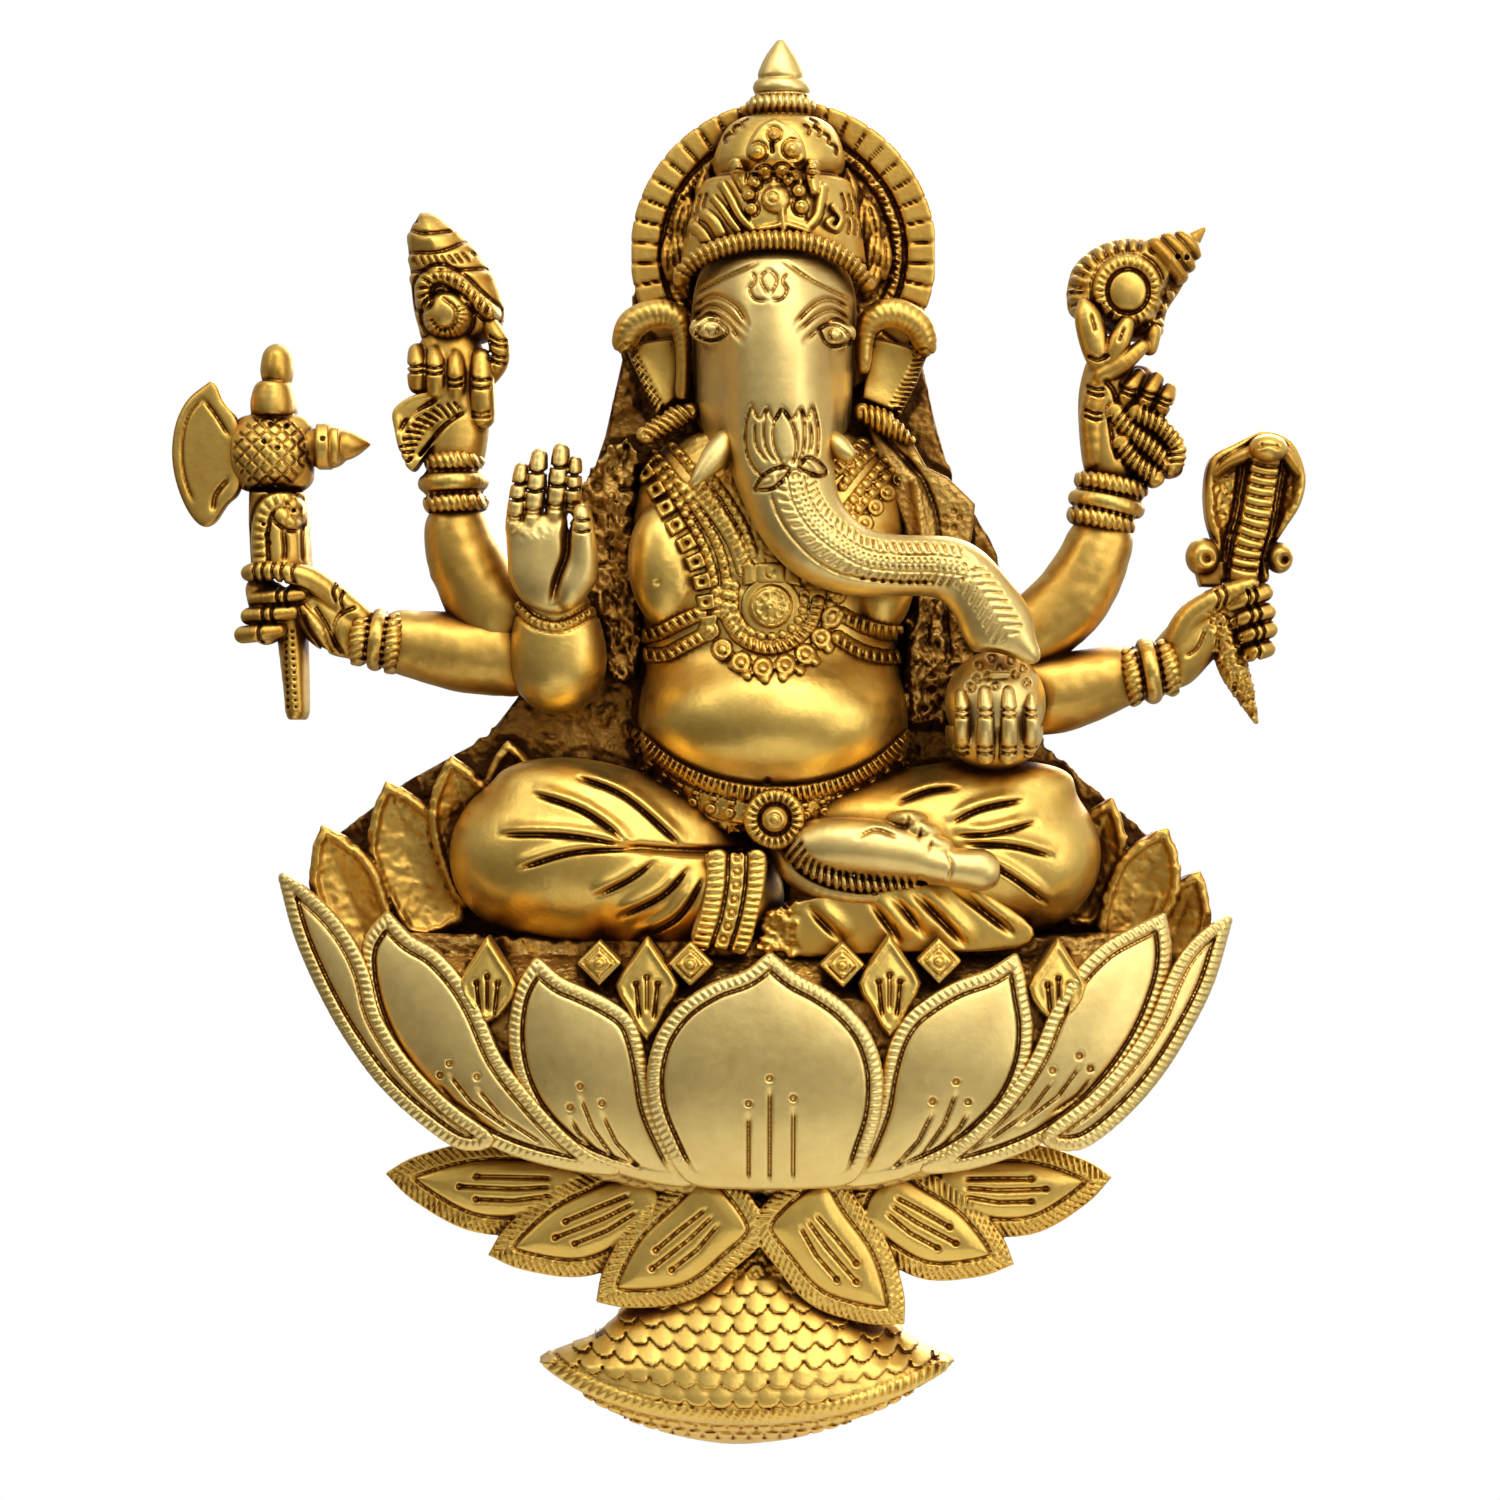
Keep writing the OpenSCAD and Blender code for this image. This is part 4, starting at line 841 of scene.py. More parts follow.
def makeLegLeft():
    c = Clay(-71, 3, -135, -92, 3, 38, 0.4)
    c.limb(legs["left"], 2.0)
    c.blob(-33, -103.5, 20, 26, 7.5, 11, turn=-14, blend=5)
    for path in ([(-58.5, -109), (-44, -109.2), (-29, -111.5)], [(-54.5, -116.5), (-42, -112.8),
            (-28, -112)], [(-38, -122.5), (-30, -118.5), (-24, -114)], [(-33, -127), (-23, -122),
                    (-17, -115.5)], [(-30, -132), (-20, -127), (-14, -118)], [(-51.5, -100), (-40, -104),
                            (-30, -111)], [(-42, -96.5), (-31, -101), (-19, -111.5)]):
        c.raiseBy(fold(c, curve(path), 1.0, 1.5), fromDepth=12)
    c.raiseBy(groove(c, curve([(-31, -111.5), (-18, -112.5), (-5, -112.6)]), 1.0, 1.6, 3), fromDepth=12)
    c.trim(np.maximum(-135 - c.zs, c.zs + 92))
    c.hollow(3.6)
    c.flatBack(5)
    finishClay(c, "leg_left")
    hem = Clay(-17, 2, -134.5, -111, 16, 39, 0.33)
    hem.f = np.full_like(hem.f, farAway)
    path = smooth([(-14, -113.2), (-8, -112.6), (-1, -113.4), (-1.4, -120), (-3.2, -127), (-5.4, -133.4),
                   (-12, -133.2), (-17, -131.8), (-15, -124), (-13.6, -118), (-14, -113.2)], 4)
    edge = inside(hem, path, 6)
    front = 33.5 + 2.4 * np.cos((hem.zs + 122) / 14) - 0.012 * (hem.xs + 9) ** 2
    hem.relief(edge, front, front - 9, corner=0.7)
    for dx, w in ((-11.4, 2.0), (-2.6, 1.9)):
        line = [(dx, -113.4), (dx - 0.4, -120), (dx - 1.9, -127), (dx - 3.8, -133.4)]
        s, t, side = follow(hem, curve(line), 4)
        hem.raiseBy(dome(s, w, 1.1) * (0.45 + 0.55
                                       * np.sqrt(0.5 + 0.5 * np.cos(2 * math.pi
                                               * (t / 1.5 + 0.12 * side)))), 18)
    line = curve([(-7, -113.8), (-7.3, -120), (-8.6, -127), (-10.6, -133)])
    s, t, side = follow(hem, line, 4)
    away = np.hypot((t / 3.0 - np.round(t / 3.0)) * 3.0, s)
    hem.raiseBy(-0.6 * bell(away - 0.8, 0.3) - 0.9 * bell(s - 1.9, 0.4), 18)
    finishClay(hem, "hem_bands")


def makeLegRight():
    c = Clay(3, 74, -134, -92, 3, 37, 0.4)
    c.limb(legs["right"], 2.0)
    c.blob(44, -102, 18, 22, 7, 11, turn=12, blend=5)
    for path in ([(39, -109.2), (48, -108.8), (58, -106)], [(41, -111), (52, -111.5), (61.5, -114)],
                 [(42.5, -113.5), (51, -117.5), (60.5, -124.5)], [(38, -107), (45, -103.6), (55, -101.5)],
                 [(27, -102.5), (34, -99.8), (41, -99)]):
        c.raiseBy(fold(c, curve(path), 1.0, 1.5), fromDepth=12)
    c.hollow(3.6)
    c.flatBack(5)
    finishClay(c, "leg_right")
    sash = Clay(-2, 58, -135.5, -117.5, 16, 37, 0.36)
    edge = inside(sash, smooth([(-1.4, -125.5), (8, -122.8), (20, -121.2), (32, -119.6), (40, -118.4),
                                (48, -123), (56.5, -129), (53, -133.5), (30, -134.5), (0, -134.8),
                                (-1.4, -126.5)], 3), 6)
    front = 31.5 - 0.003 * (sash.xs - 22) ** 2 + 0.12 * (sash.zs + 127)
    sash.relief(edge, front, 18, corner=0.8)
    for path in ([(7.5, -123.6), (11, -127.6), (16, -132.5)], [(20.7, -122.6), (24, -126.6),
            (28.4, -132.9)], [(26, -121.9), (29.6, -126), (33.6, -131.5)], [(30.7, -121.2), (36, -126.6),
                    (42.5, -133.4)], [(38.8, -119.8), (45, -124.8), (53, -131)]):
        sash.raiseBy(fold(sash, curve(path), 1.5, 1.7), fromDepth=18)
    sash.raiseBy(0.8 * grit(sash, 1.8, 11) * np.clip((7 - sash.xs) / 3, 0, 1), fromDepth=18)
    finishClay(sash, "sash_pleats")


def makeFoot():
    c = Clay(-1, 48, -124.5, -102, 18, 42.5, 0.36)
    c.limb([(7, -111.6, 30, 4.6, 6), (13, -111.4, 32, 5.6, 7), (21, -111.9, 33.2, 6.0, 7),
            (29, -113, 33.2, 5.6, 6.4), (35, -114.4, 33, 4.6, 5.6)], 1.5)
    c.limb([(33, -114.8, 34, 4.2, 5.2), (39, -115.8, 34.5, 3.9, 4.6), (44.2, -116.4, 34.3, 4.1, 4.2),
            (45.4, -116.6, 34, 3.9, 4.0)], 1.0)
    for i, (x0, z0, x1, z1, r) in enumerate(((31, -110.4, 37.4, -111.6, 2.1), (29, -107.8, 35.2, -108.6,
            2.0), (26.5, -105.8, 32.6, -105.9, 1.8))):
        c.limb([(x0, z0, 33.5, r, 3), ((x0 + x1) / 2, (z0 + z1) / 2 + 0.4, 35.5, r, 3),
                (x1, z1, 34.6 - i, r * 0.95, 2.8)], 0.35)
        c.raiseBy(groove(c, [(x1 - 3.4, z1 - 1.6), (x1 - 3.0, z1 + 1.8)], 0.3, 0.45), fromDepth=30)
    c.raiseBy(groove(c, curve([(18.5, -109.6), (22.5, -107.9), (27, -109.4)]), 0.45, 0.7, 2), fromDepth=30)
    c.raiseBy(groove(c, curve([(37.8, -112.4), (38.6, -115.5), (38, -118.8)]), 0.35, 0.45, 2), fromDepth=30)
    # the cloth turned back round the ankle, with its ribbed edge
    c.limb([(1.8, -111.5, 27, 2.2, 3), (4.6, -116.5, 28, 2.6, 3.4), (10, -120, 29, 2.7, 3.6),
            (18, -121.8, 29.5, 2.5, 3.4), (27, -122.2, 29, 2.1, 3)], 0.3)
    c.limb([(4.4, -110.8, 31, 1.8, 2.4), (7.6, -115.2, 33, 1.9, 2.6), (13.4, -118.2, 34, 1.9, 2.6),
            (21, -119.4, 33.6, 1.8, 2.6), (31.5, -119.7, 31.5, 1.1, 2)], 0.2)
    s, t, side = follow(c, curve([(4.4, -110.8), (7.6, -115.2), (13.4, -118.2), (21, -119.4),
                                  (31.5, -119.7)]), 3)
    c.raiseBy(-0.75 * (s < 2.2) * (wave(t + 0.3 * side, 1.7)) ** 2, fromDepth=26)
    finishClay(c, "foot", satin)


def makeTorso():
    torso = Clay(-34, 36, -109, -21, 3, 45, 0.36)
    edge, front = barrel(torso, [(0, -22, 10, 21, 15), (0, -31, 10, 28, 18.5), (0, -43, 10, 30.5, 21),
                                 (0, -55, 10, 29, 21.5), (0, -65, 10, 28, 21.5), (0.5, -72, 10, 28.2, 21),
                                 (1, -84, 10, 28.8, 21), (1, -94, 10, 28, 21), (1, -102, 10, 25, 21.5),
                                 (1, -108.5, 10, 22, 20)])
    torso.relief(edge, front, -6, corner=1.5)
    torso.blob(1, -84.2, 15, 28.6, 17.6, 25.6, blend=5)                        # belly
    torso.blob(-22.6, -51.5, 22, 8.0, 13.5, 9.4, turn=6, blend=2.5)            # breasts
    torso.blob(24.6, -55, 22, 6.6, 11, 8.6, turn=-6, blend=2.5)
    torso.raiseBy(dots(torso, [(-24.3, -54.8)], 0.8, -0.5) + dots(torso, [(-0.6, -97.6)], 0.9, -0.7),
                  fromDepth=20)
    plain = torso.over(-99, 99, -999, 999)
    torso.hollow(3.4)
    torso.flatBack(5)
    # the hem of the cloth below the belt, rough and dark
    torso.raiseBy(0.22 * grit(torso, 1.2, 22) * np.clip((torso.zs + 62) / 6, 0, 1)
                  * np.clip(1.4 - np.abs(torso.xs + 2) / 16, 0, 1), fromDepth=12)
    torso.raiseBy(0.7 * grit(torso, 1.5, 21) * np.clip((-98.5 - torso.zs) / 3, 0, 1), fromDepth=12)
    torso.raiseBy(-0.6
                  * bell(follow(torso, curve([(-28.5, -86.8), (-21, -93), (-11, -97), (1, -98.6), (13, -97),
                                              (23, -93), (30, -86.8)]), 4)[0], 0.8), fromDepth=12)
    finishClay(torso, "torso")

    leftLinks = curve([(-29.4, -27), (-25.2, -33.5), (-21.4, -40.5), (-17.6, -46.8), (-14.8, -53.5),
                       (-13.2, -62.5)])
    rightLinks = curve([(14.6, -57.5), (16.5, -50), (19.6, -43.5), (22.8, -38.5), (27, -33.5),
                        (31.8, -28.2)])
    lowLinks = curve([(-13.2, -65.2), (-9.4, -70), (-4.2, -72.6), (1.2, -73), (6.4, -71), (10.8, -67),
                      (13.6, -61.8)])

    def links(c):
        pearls = np.maximum(beads(c, smooth([(-11, -69.8), (-5, -74.6), (1.4, -75.2), (8, -72.8),
                                             (13, -68.6)], 5), 1.25, 1.2, 3.9), 0)
        return np.maximum.reduce([tiles(c, leftLinks, 2.1, 1.7, 4.5, 0.75), ringBeads(c, rightLinks, 2.0,
                1.6, 4.2), ringBeads(c, lowLinks, 2.5, 2.1, 4.9), pearls])

    lay(plain, (-33, 35, -78, -24), links, 1.0, "link_necklace")

    def strands(c):
        paths = [[(-25.6, -25.4), (-21.5, -31), (-17.5, -37), (-13.6, -42.6), (-10.8, -48), (-9.4, -54),
                  (-9.6, -60)], [(-21.4, -24.5), (-17, -30), (-12.6, -36.4), (-8.6, -43), (-6, -49)],
                 [(28, -24.4), (23, -30.6), (18.4, -36.4), (14.4, -41.4)], [(24, -24), (19.4, -29),
                         (15.6, -34)], [(12.2, -64), (13.6, -56), (14.5, -50)],
                 [(-28.4, -24.6), (-24.2, -30.6), (-20.2, -36.8), (-16.6, -42.8), (-13.6, -49), (-12, -55),
                  (-11.6, -61.4)], [(-14.4, -30), (-9.4, -36.6), (-5.6, -43), (-3.6, -48.6)],
                 [(31, -24.8), (26.6, -30), (22.4, -35.2), (18.2, -40.6), (15.8, -46)],
                 [(-7.6, -55.6), (-7.8, -60.4), (-5.6, -64.6), (-1.4, -66.4), (3.4, -65.6), (6.6, -62),
                  (7.4, -57.4)]]
        out = np.zeros_like(c.xs)
        for path in paths:
            out = np.maximum(out, beads(c, curve(path), 1.25, 1.5, 2.3, 0.6))
        ropes = [[(-16.2, -33.6), (-11.4, -39.4), (-7.6, -45.4), (-5, -51)],
                 [(-9.8, -61.4), (-6.8, -66.4), (-1.6, -68.8), (4, -68), (8.4, -64.4), (10.4, -59)],
                 [(20.5, -24), (15.5, -29.4), (12.4, -32)]]
        for path in ropes:
            out = np.maximum(out, rope(c, curve(path), 1.6, 1.6, 1.5, 0.2))
        out = np.maximum(out,
                         dome(follow(c, curve([(-18.8, -33.4), (-13, -39.8), (-8.6, -46.6), (-6.4, -53)]),
                                     3)[0], 0.75, 1.1))
        # collar plaque above the medallion
        plaque = np.maximum(np.abs(c.xs - 0.4) - 6.4, np.abs(c.zs + 52.8 + 0.04 * (c.xs ** 2) * 0.4) - 2.4)
        out = np.maximum(out, 1.3 * np.clip(-plaque / 0.5, 0, 1)
                         - 0.7 * dome(np.hypot(c.xs - 0.2, c.zs + 52.9), 1.2, 1)
                         - 0.5 * bell(np.abs(c.xs - 0.2) - 3.2, 0.35) * (plaque < 0))
        return out

    lay(plain, (-33, 35, -78, -22.5), strands, 1.0, "bead_necklace")

    def medallion(c):
        away = np.hypot(c.xs - 0.2, c.zs + 60)
        flange = 0.8 * np.clip((6.6 - away) / 0.5, 0, 1)
        body = flange + 1.7 * np.clip((4.7 - away) / 0.6, 0, 1) - 0.55 * bell(away - 3.7, 0.3)
        ringed = [(0.2 + 2.5 * math.cos(k * math.pi / 4.5), -60 + 2.5 * math.sin(k * math.pi / 4.5))
                  for k in range(9)]
        return (body + dots(c, ringed, 0.62, -0.6) + dots(c, [(0.2, -60)], 1.2, 0.6)
                - 0.35 * dome(away, 0.5, 1))

    lay(plain, (-8, 8, -68, -52), medallion, 1.0, "pendant")

    def chestRopes(c):
        out = np.zeros_like(c.xs)
        for path in ([(-28.5, -66.2), (-24, -65.6), (-19, -63.2), (-15, -61.4)],
                     [(-28.5, -70), (-23, -70.2), (-18.5, -68.2), (-14, -66)],
                     [(15.4, -61.6), (20, -64), (24.5, -65.4), (29, -65.6)], [(14.6, -66.6), (19.5, -69.4),
                             (24.6, -70.6), (29, -70.6)]):
            out = np.maximum(out, rope(c, curve(path), 1.75, 1.8, 1.75, 0.25))
        return out

    lay(plain, (-31, 32, -74, -58), chestRopes, 1.2, "chest_ropes")

    beltLine = curve([(-29.5, -87.6), (-21.5, -94.2), (-11.5, -98.6), (1, -100.4), (13.5, -98.8),
                      (23, -94.4), (30.6, -87.8)])
    below = curve([(-30, -92.4), (-22.4, -98.6), (-13, -102.8), (1, -105), (14, -103), (24, -98.6),
                   (31, -92.4)])

    def belt(c):
        s, t, side = follow(c, below, 6)
        u = (t / 4.1 - np.round(t / 4.1)) * 4.1
        stud = ((dome(np.hypot(u, side + 0.6), 1.45, 1.6) - 0.4 * dome(np.hypot(u, side + 0.6), 0.55, 1))
                * (s < 5))
        cap = (1.5 * np.clip((1.0 - np.maximum(np.abs(u) - 0.75, np.abs(side - 1.7) - 0.5)) / 0.6 - 0.9, 0, 1))
        frill = 0.65 * np.clip((2.6 - s) / 0.5, 0, 1)
        return np.maximum.reduce([rope(c, beltLine, 1.9, 1.7, 1.3, 0.1), 1.25 * stud, cap, frill])

    lay(plain, (-33, 34, -109.5, -84), belt, 1.4, "belt")

    b = Clay(-7, 9, -113, -98, 26, 41, 0.3)
    away = np.hypot(b.xs - 1, b.zs + 105.6)
    angle = np.arctan2(b.zs + 105.6, b.xs - 1)
    ring = 1.6 * dome(away - 4.9, 1.6, 1) * (0.55 + 0.45 * np.sqrt(0.5 + 0.5 * np.cos(22 * angle)))
    b.relief(away - 6.6, 34.2 + ring + dome(away, 3.1, 3.4) - 0.5 * bell(away - 1.1, 0.3), 27, corner=0.5)
    finishClay(b, "belt_buckle", ("brass_satin", antiqueBrass))


def makeShawls():
    c = Clay(-46, -27, -76, -20, 3, 20, 0.5)
    edge = inside(c, smooth([(-31, -23), (-36, -27), (-40.5, -33), (-43.5, -44), (-42, -54), (-40, -62),
                             (-35, -72), (-28.6, -75), (-28.6, -58), (-29.6, -44), (-28.6, -32),
                             (-31, -23)], 3), 6)
    c.relief(edge, 14.5 + 0.12 * (c.xs + 36), 5, corner=1.0)
    c.raiseBy(1.1 * grit(c, 2.6, 31) + 0.4 * grit(c, 1.2, 32), fromDepth=7)
    finishClay(c, "shawl_left", cast)
    c = Clay(19, 47, -87, -17, 3, 23, 0.42)
    edge = inside(c, [(20.5, -19), (27, -18.6), (31, -24), (34, -29.4), (38.6, -31.6), (44.6, -37.4),
                      (43.8, -45), (41.8, -49.6), (42.4, -60), (44.4, -70), (41, -78), (37.5, -84.6),
                      (29, -85.5), (29.5, -70), (30.5, -56), (29, -42), (24, -30)], 6)
    c.relief(edge, 17.0 - 0.08 * (c.xs - 30) + 0.8 * np.sin(c.zs / 9), 5, corner=0.8)
    rough = np.clip((-50 - c.zs) / 4, 0, 1)
    c.raiseBy(rough * (0.9 * grit(c, 2.2, 33) + 0.4 * grit(c, 1.1, 34)), fromDepth=7)
    c.raiseBy(1.4 * bell(follow(c, curve([(31.6, -33), (33, -45), (32.2, -60), (31.4, -84)]), 5)[0], 1.3),
              fromDepth=7)
    c.raiseBy(groove(c, curve([(29, -27), (33.5, -33), (36.5, -42), (36, -52)]), 0.7, 1.1)
              + groove(c, [(24.5, -22), (31.5, -30.5)], 0.6, 0.9)
              + groove(c, curve([(41, -50), (38, -60), (39.5, -72)]), 0.8, 1.2), fromDepth=7)
    flower = [(39.4 + 1.7 * math.cos(k * 1.257), -41 + 1.9 * math.sin(k * 1.257 + 0.3)) for k in range(5)]
    c.raiseBy(dots(c, flower, 0.8, -0.7), fromDepth=7)
    # cloth gathered behind the sweet: two ribbed bands
    for path in ([(36, -60.5), (41, -58.6), (46, -58.2)], [(36, -65), (41, -63.6), (46, -63)]):
        c.raiseBy(0.8 * dome(follow(c, curve(path), 3)[0], 1.6, 1), fromDepth=7)
    finishClay(c, "shawl_right", cast)


makeLegLeft()
makeLegRight()
makeFoot()
makeTorso()
makeShawls()
print("body done")


# Head, trunk and crown, and the plate behind.

def makeHead():
    c = Clay(-21, 58, -74.5, 19, 4, 47, 0.36)
    edge, front = barrel(c, [(1, 17, 13, 13.5, 20), (1, 14, 13, 16, 25), (1, 8, 13, 17.8, 28),
                             (0.9, 0, 13, 18.0, 28.4), (0.8, -8, 13, 17.6, 26.5),
                             (0.8, -15, 13.5, 17.2, 24.5), (0.9, -21, 14.5, 16.2, 22.5),
                             (0.9, -25, 15.5, 14.6, 19.5), (1.2, -28, 17, 12.4, 16)])
    c.relief(edge, front, 9, corner=2.0)
    # trunk, from between the brows across the chest to the sweet
    c.limb([(1.2, 2, 28, 9.5, 13), (1.4, -8, 28.4, 10.2, 13.4), (1.7, -18, 29.4, 10.4, 12.6),
            (2.4, -27, 31, 9.8, 11), (3.8, -34.5, 33, 8.4, 9), (6.4, -41.2, 34.8, 7.6, 7.8),
            (11, -46.8, 35.6, 7.0, 7), (18, -50.4, 36, 5.9, 6.2), (26, -51.4, 36, 5.1, 5.6),
            (34, -51.4, 36, 4.9, 5.4), (40, -52.6, 36.2, 5.1, 5.4), (44.4, -57, 36.6, 5.1, 5.3),
            (47.4, -62, 37, 5.4, 5.2), (49.8, -66, 37.2, 6.0, 4.8)], 3.5, 3)
    c.limb([(51.5, -66, 38, 3.6, 3.6), (54.2, -69, 38.6, 2.2, 2.6), (56.2, -71, 38.8, 0.9, 1.3)], 1.6)
    c.blob(48.6, -73.2, 38.6, 5.8, 4.0, 8, turn=-24, blend=0.8, take=True)
    for s, x in ((-1, -4.4), (1, 7.0)):
        c.raiseBy(0.2 * bell(follow(c, curve([(x + 1.5 * s, 4), (x, -5), (x - 1.2 * s, -16)]), 9)[0], 3.4), 24)
    c.blob(-12.8, -0.6, 30.6, 4.6, 3.4, 3.5, turn=-8, blend=1.6)
    c.blob(13.9, -1.6, 30.2, 4.6, 3.4, 3.5, turn=8, blend=1.6)
    cuts = np.zeros_like(c.xs)
    for path in ([(-16.4, 4.8), (-12.1, 6.6), (-7.4, 3.9), (-4.8, -0.4)], [(-16.8, 2.6), (-12.9, 4.4),
            (-9.4, 2.8), (-5.3, -1.6)], [(-16.6, 0.4), (-13.2, 2.7), (-9.3, 0.7), (-6.1, -3.7)],
                 [(5.2, -0.1), (9.4, 4.3), (13, 5.7), (16.9, 4.2)], [(6, -1.6), (9.9, 2), (13.6, 3.4),
                         (17.3, 1.5)], [(7.2, -3.8), (11.3, 0.1), (14.1, 1.5), (17.6, 0)]):
        cuts += groove(c, curve(path), 0.55, 1.0, 2.5)
    for x, z, s in ((-12.6, -0.6, 1), (13.7, -1.8, -1)):
        lens = [(x - 3.4, z - 0.9 * s), (x - 1.2, z + 1.9 - 0.2 * s), (x + 1.4, z + 1.6),
                (x + 3.6, z - 0.9), (x + 0.8, z - 2.3), (x - 1.8, z - 2.0), (x - 3.4, z - 0.9 * s)]
        cuts += groove(c, smooth(lens, 4), 0.4, 0.9, 0)
        cuts += -0.55 * bell(np.hypot(c.xs - x - 0.2, c.zs - z + 0.1) - 1.25, 0.3)
    for path in ([(-16.8, 7.6), (-9.5, 10.4), (-2.9, 13)], [(3.1, 13.3), (8.3, 9.8), (13, 7.6),
            (17.3, 6.3)]):
        cuts += groove(c, curve(path), 0.4, 0.7, 3)
    for path in ([(-3.9, 11.2), (-3.1, 9.4), (-4.4, 7.4), (-3.2, 5.2), (-0.8, 4.8)],
                 [(3.8, 11), (2.6, 9.2), (3.6, 7.2), (2.4, 5.2), (0.2, 4.8)], [(-0.5, 11.8), (-2.1, 9.6),
                         (-0.4, 6)], [(-0.3, 11.8), (1.5, 9.4), (-0.1, 6)]):
        cuts += groove(c, curve(path), 0.36, 0.7, 1)
    # lotus and leaves cut into the trunk's root
    for path in ([(-4, -17.4), (-5.2, -21.9), (-4.9, -27.6), (-2.8, -31.6), (0, -33)],
                 [(-4, -17.4), (-2.4, -20.4), (-0.7, -18)], [(-3.3, -21), (-3, -26), (-0.6, -29.6)],
                 [(-0.7, -18), (-1.4, -22.5), (-0.8, -27), (1.4, -29.8)], [(-0.7, -18), (0.8, -20.6),
                         (2.5, -18)], [(2.5, -18), (0.6, -22.2), (1, -27), (2.8, -30.4)],
                 [(2.5, -18), (4.9, -22.2), (5.6, -26.6), (4.6, -30.4)], [(2.9, -18.4), (4.6, -20.4),
                         (6.5, -18)], [(6.5, -18), (7.3, -22), (7.0, -27), (5.8, -29.8)],
                 [(6.5, -18), (7.8, -20.2), (9.1, -17.4)], [(9.1, -17.4), (10.2, -22.6), (10, -28.4)],
                 [(8.4, -21), (8.8, -25), (8.2, -27.6)]):
        cuts += groove(c, curve(path), 0.34, 0.6, 1)
    for leaf in ([(-3.4, -35.4), (-1.4, -32.4), (1.8, -30.8), (4.0, -31.2), (2.4, -33.6), (0.2, -35.2),
                  (-3.4, -35.4)], [(6, -30.8), (7.8, -28.6), (10.4, -29.6), (11.8, -31.6), (10, -32.4),
                                   (6, -30.8)]):
        cuts += groove(c, smooth(leaf, 4), 0.42, 0.8, 0)
        cuts += (0.7 * dome(np.clip(inside(c, smooth(leaf, 4), 3) + 1.5, 0, 9), 1.5, 1)
                 * (inside(c, smooth(leaf, 4), 3) < 0))
    # twin rows of dots down the middle, with strokes on both sides
    spine = curve([(5.4, -33), (6.4, -37.4), (9.2, -42.2), (13.8, -46.4), (20, -50), (27, -51), (34, -51.1),
                   (40.8, -51.9)])
    s, t, side = follow(c, spine, 7)
    for off in (-0.85, 0.85):
        away = np.hypot((t / 1.35 - np.round(t / 1.35)) * 1.35, side - off)
        cuts += -0.75 * bell(away, 0.42)
    cuts += -0.35 * bell(side, 0.28) * (s < 2)
    strokes = (wave(t + 0.45 * np.abs(side), 1.75)) ** 3
    band = np.clip((np.abs(side) - 2.0) / 0.4, 0, 1) * np.clip((4.7 - np.abs(side)) / 0.5, 0, 1)
    cuts += -0.5 * strokes * band
    cuts += -0.55 * bell(np.abs(side) - 1.75, 0.28) * (s < 3)
    cuts += groove(c, curve([(0, -36), (1.8, -41), (4.6, -45.4), (9.4, -50.2), (16, -53.6), (26, -54.9),
                             (35, -55)]), 0.4, 0.6, 2)
    s, t, side = follow(c, curve([(41.6, -52.8), (45.6, -57.8), (48.4, -62.6), (51.4, -67.8)]), 7)
    chevrons = (wave(t - 0.55 * np.abs(side), 2.0)) ** 3
    cuts += -0.45 * chevrons * np.clip((4.0 - s) / 0.6, 0, 1) * (t > 0.4) * (t < t.max() - 1)
    c.raiseBy(cuts * (c.zs < 16), fromDepth=19)
    # a passage for the wall screw's head, and the hollow behind the face
    inner = softMax(np.abs(c.xs - 0.9) - 12.6, np.maximum(c.zs - 8.6, -14.5 - c.zs), 1.5)
    room = np.maximum(inner[:, None, :], (c.d - 24)[None, :, None] * np.ones_like(c.f))
    c.f = np.maximum(c.f, -room).astype(np.float32)
    finishClay(c, "head_and_trunk", satin)
    left = Clay(-19, -6, -36, -22, 27, 40, 0.3)
    left.limb([(-9.2, -25.2, 32, 3.2, 3.4), (-12, -28.4, 34, 2.7, 2.8), (-14.6, -31.6, 35.6, 1.6, 1.8),
               (-16.5, -34, 36.4, 0.5, 0.6)], 0.6)
    finishClay(left, "tusk_left", satin)
    right = Clay(9, 20, -31, -21.5, 27, 39, 0.3)
    right.limb([(12, -24.6, 31.5, 2.8, 3), (14.6, -26, 33.6, 2.4, 2.6), (16.8, -27.6, 34.6, 1.5, 1.8)], 0.6)
    finishClay(right, "tusk_right", satin)


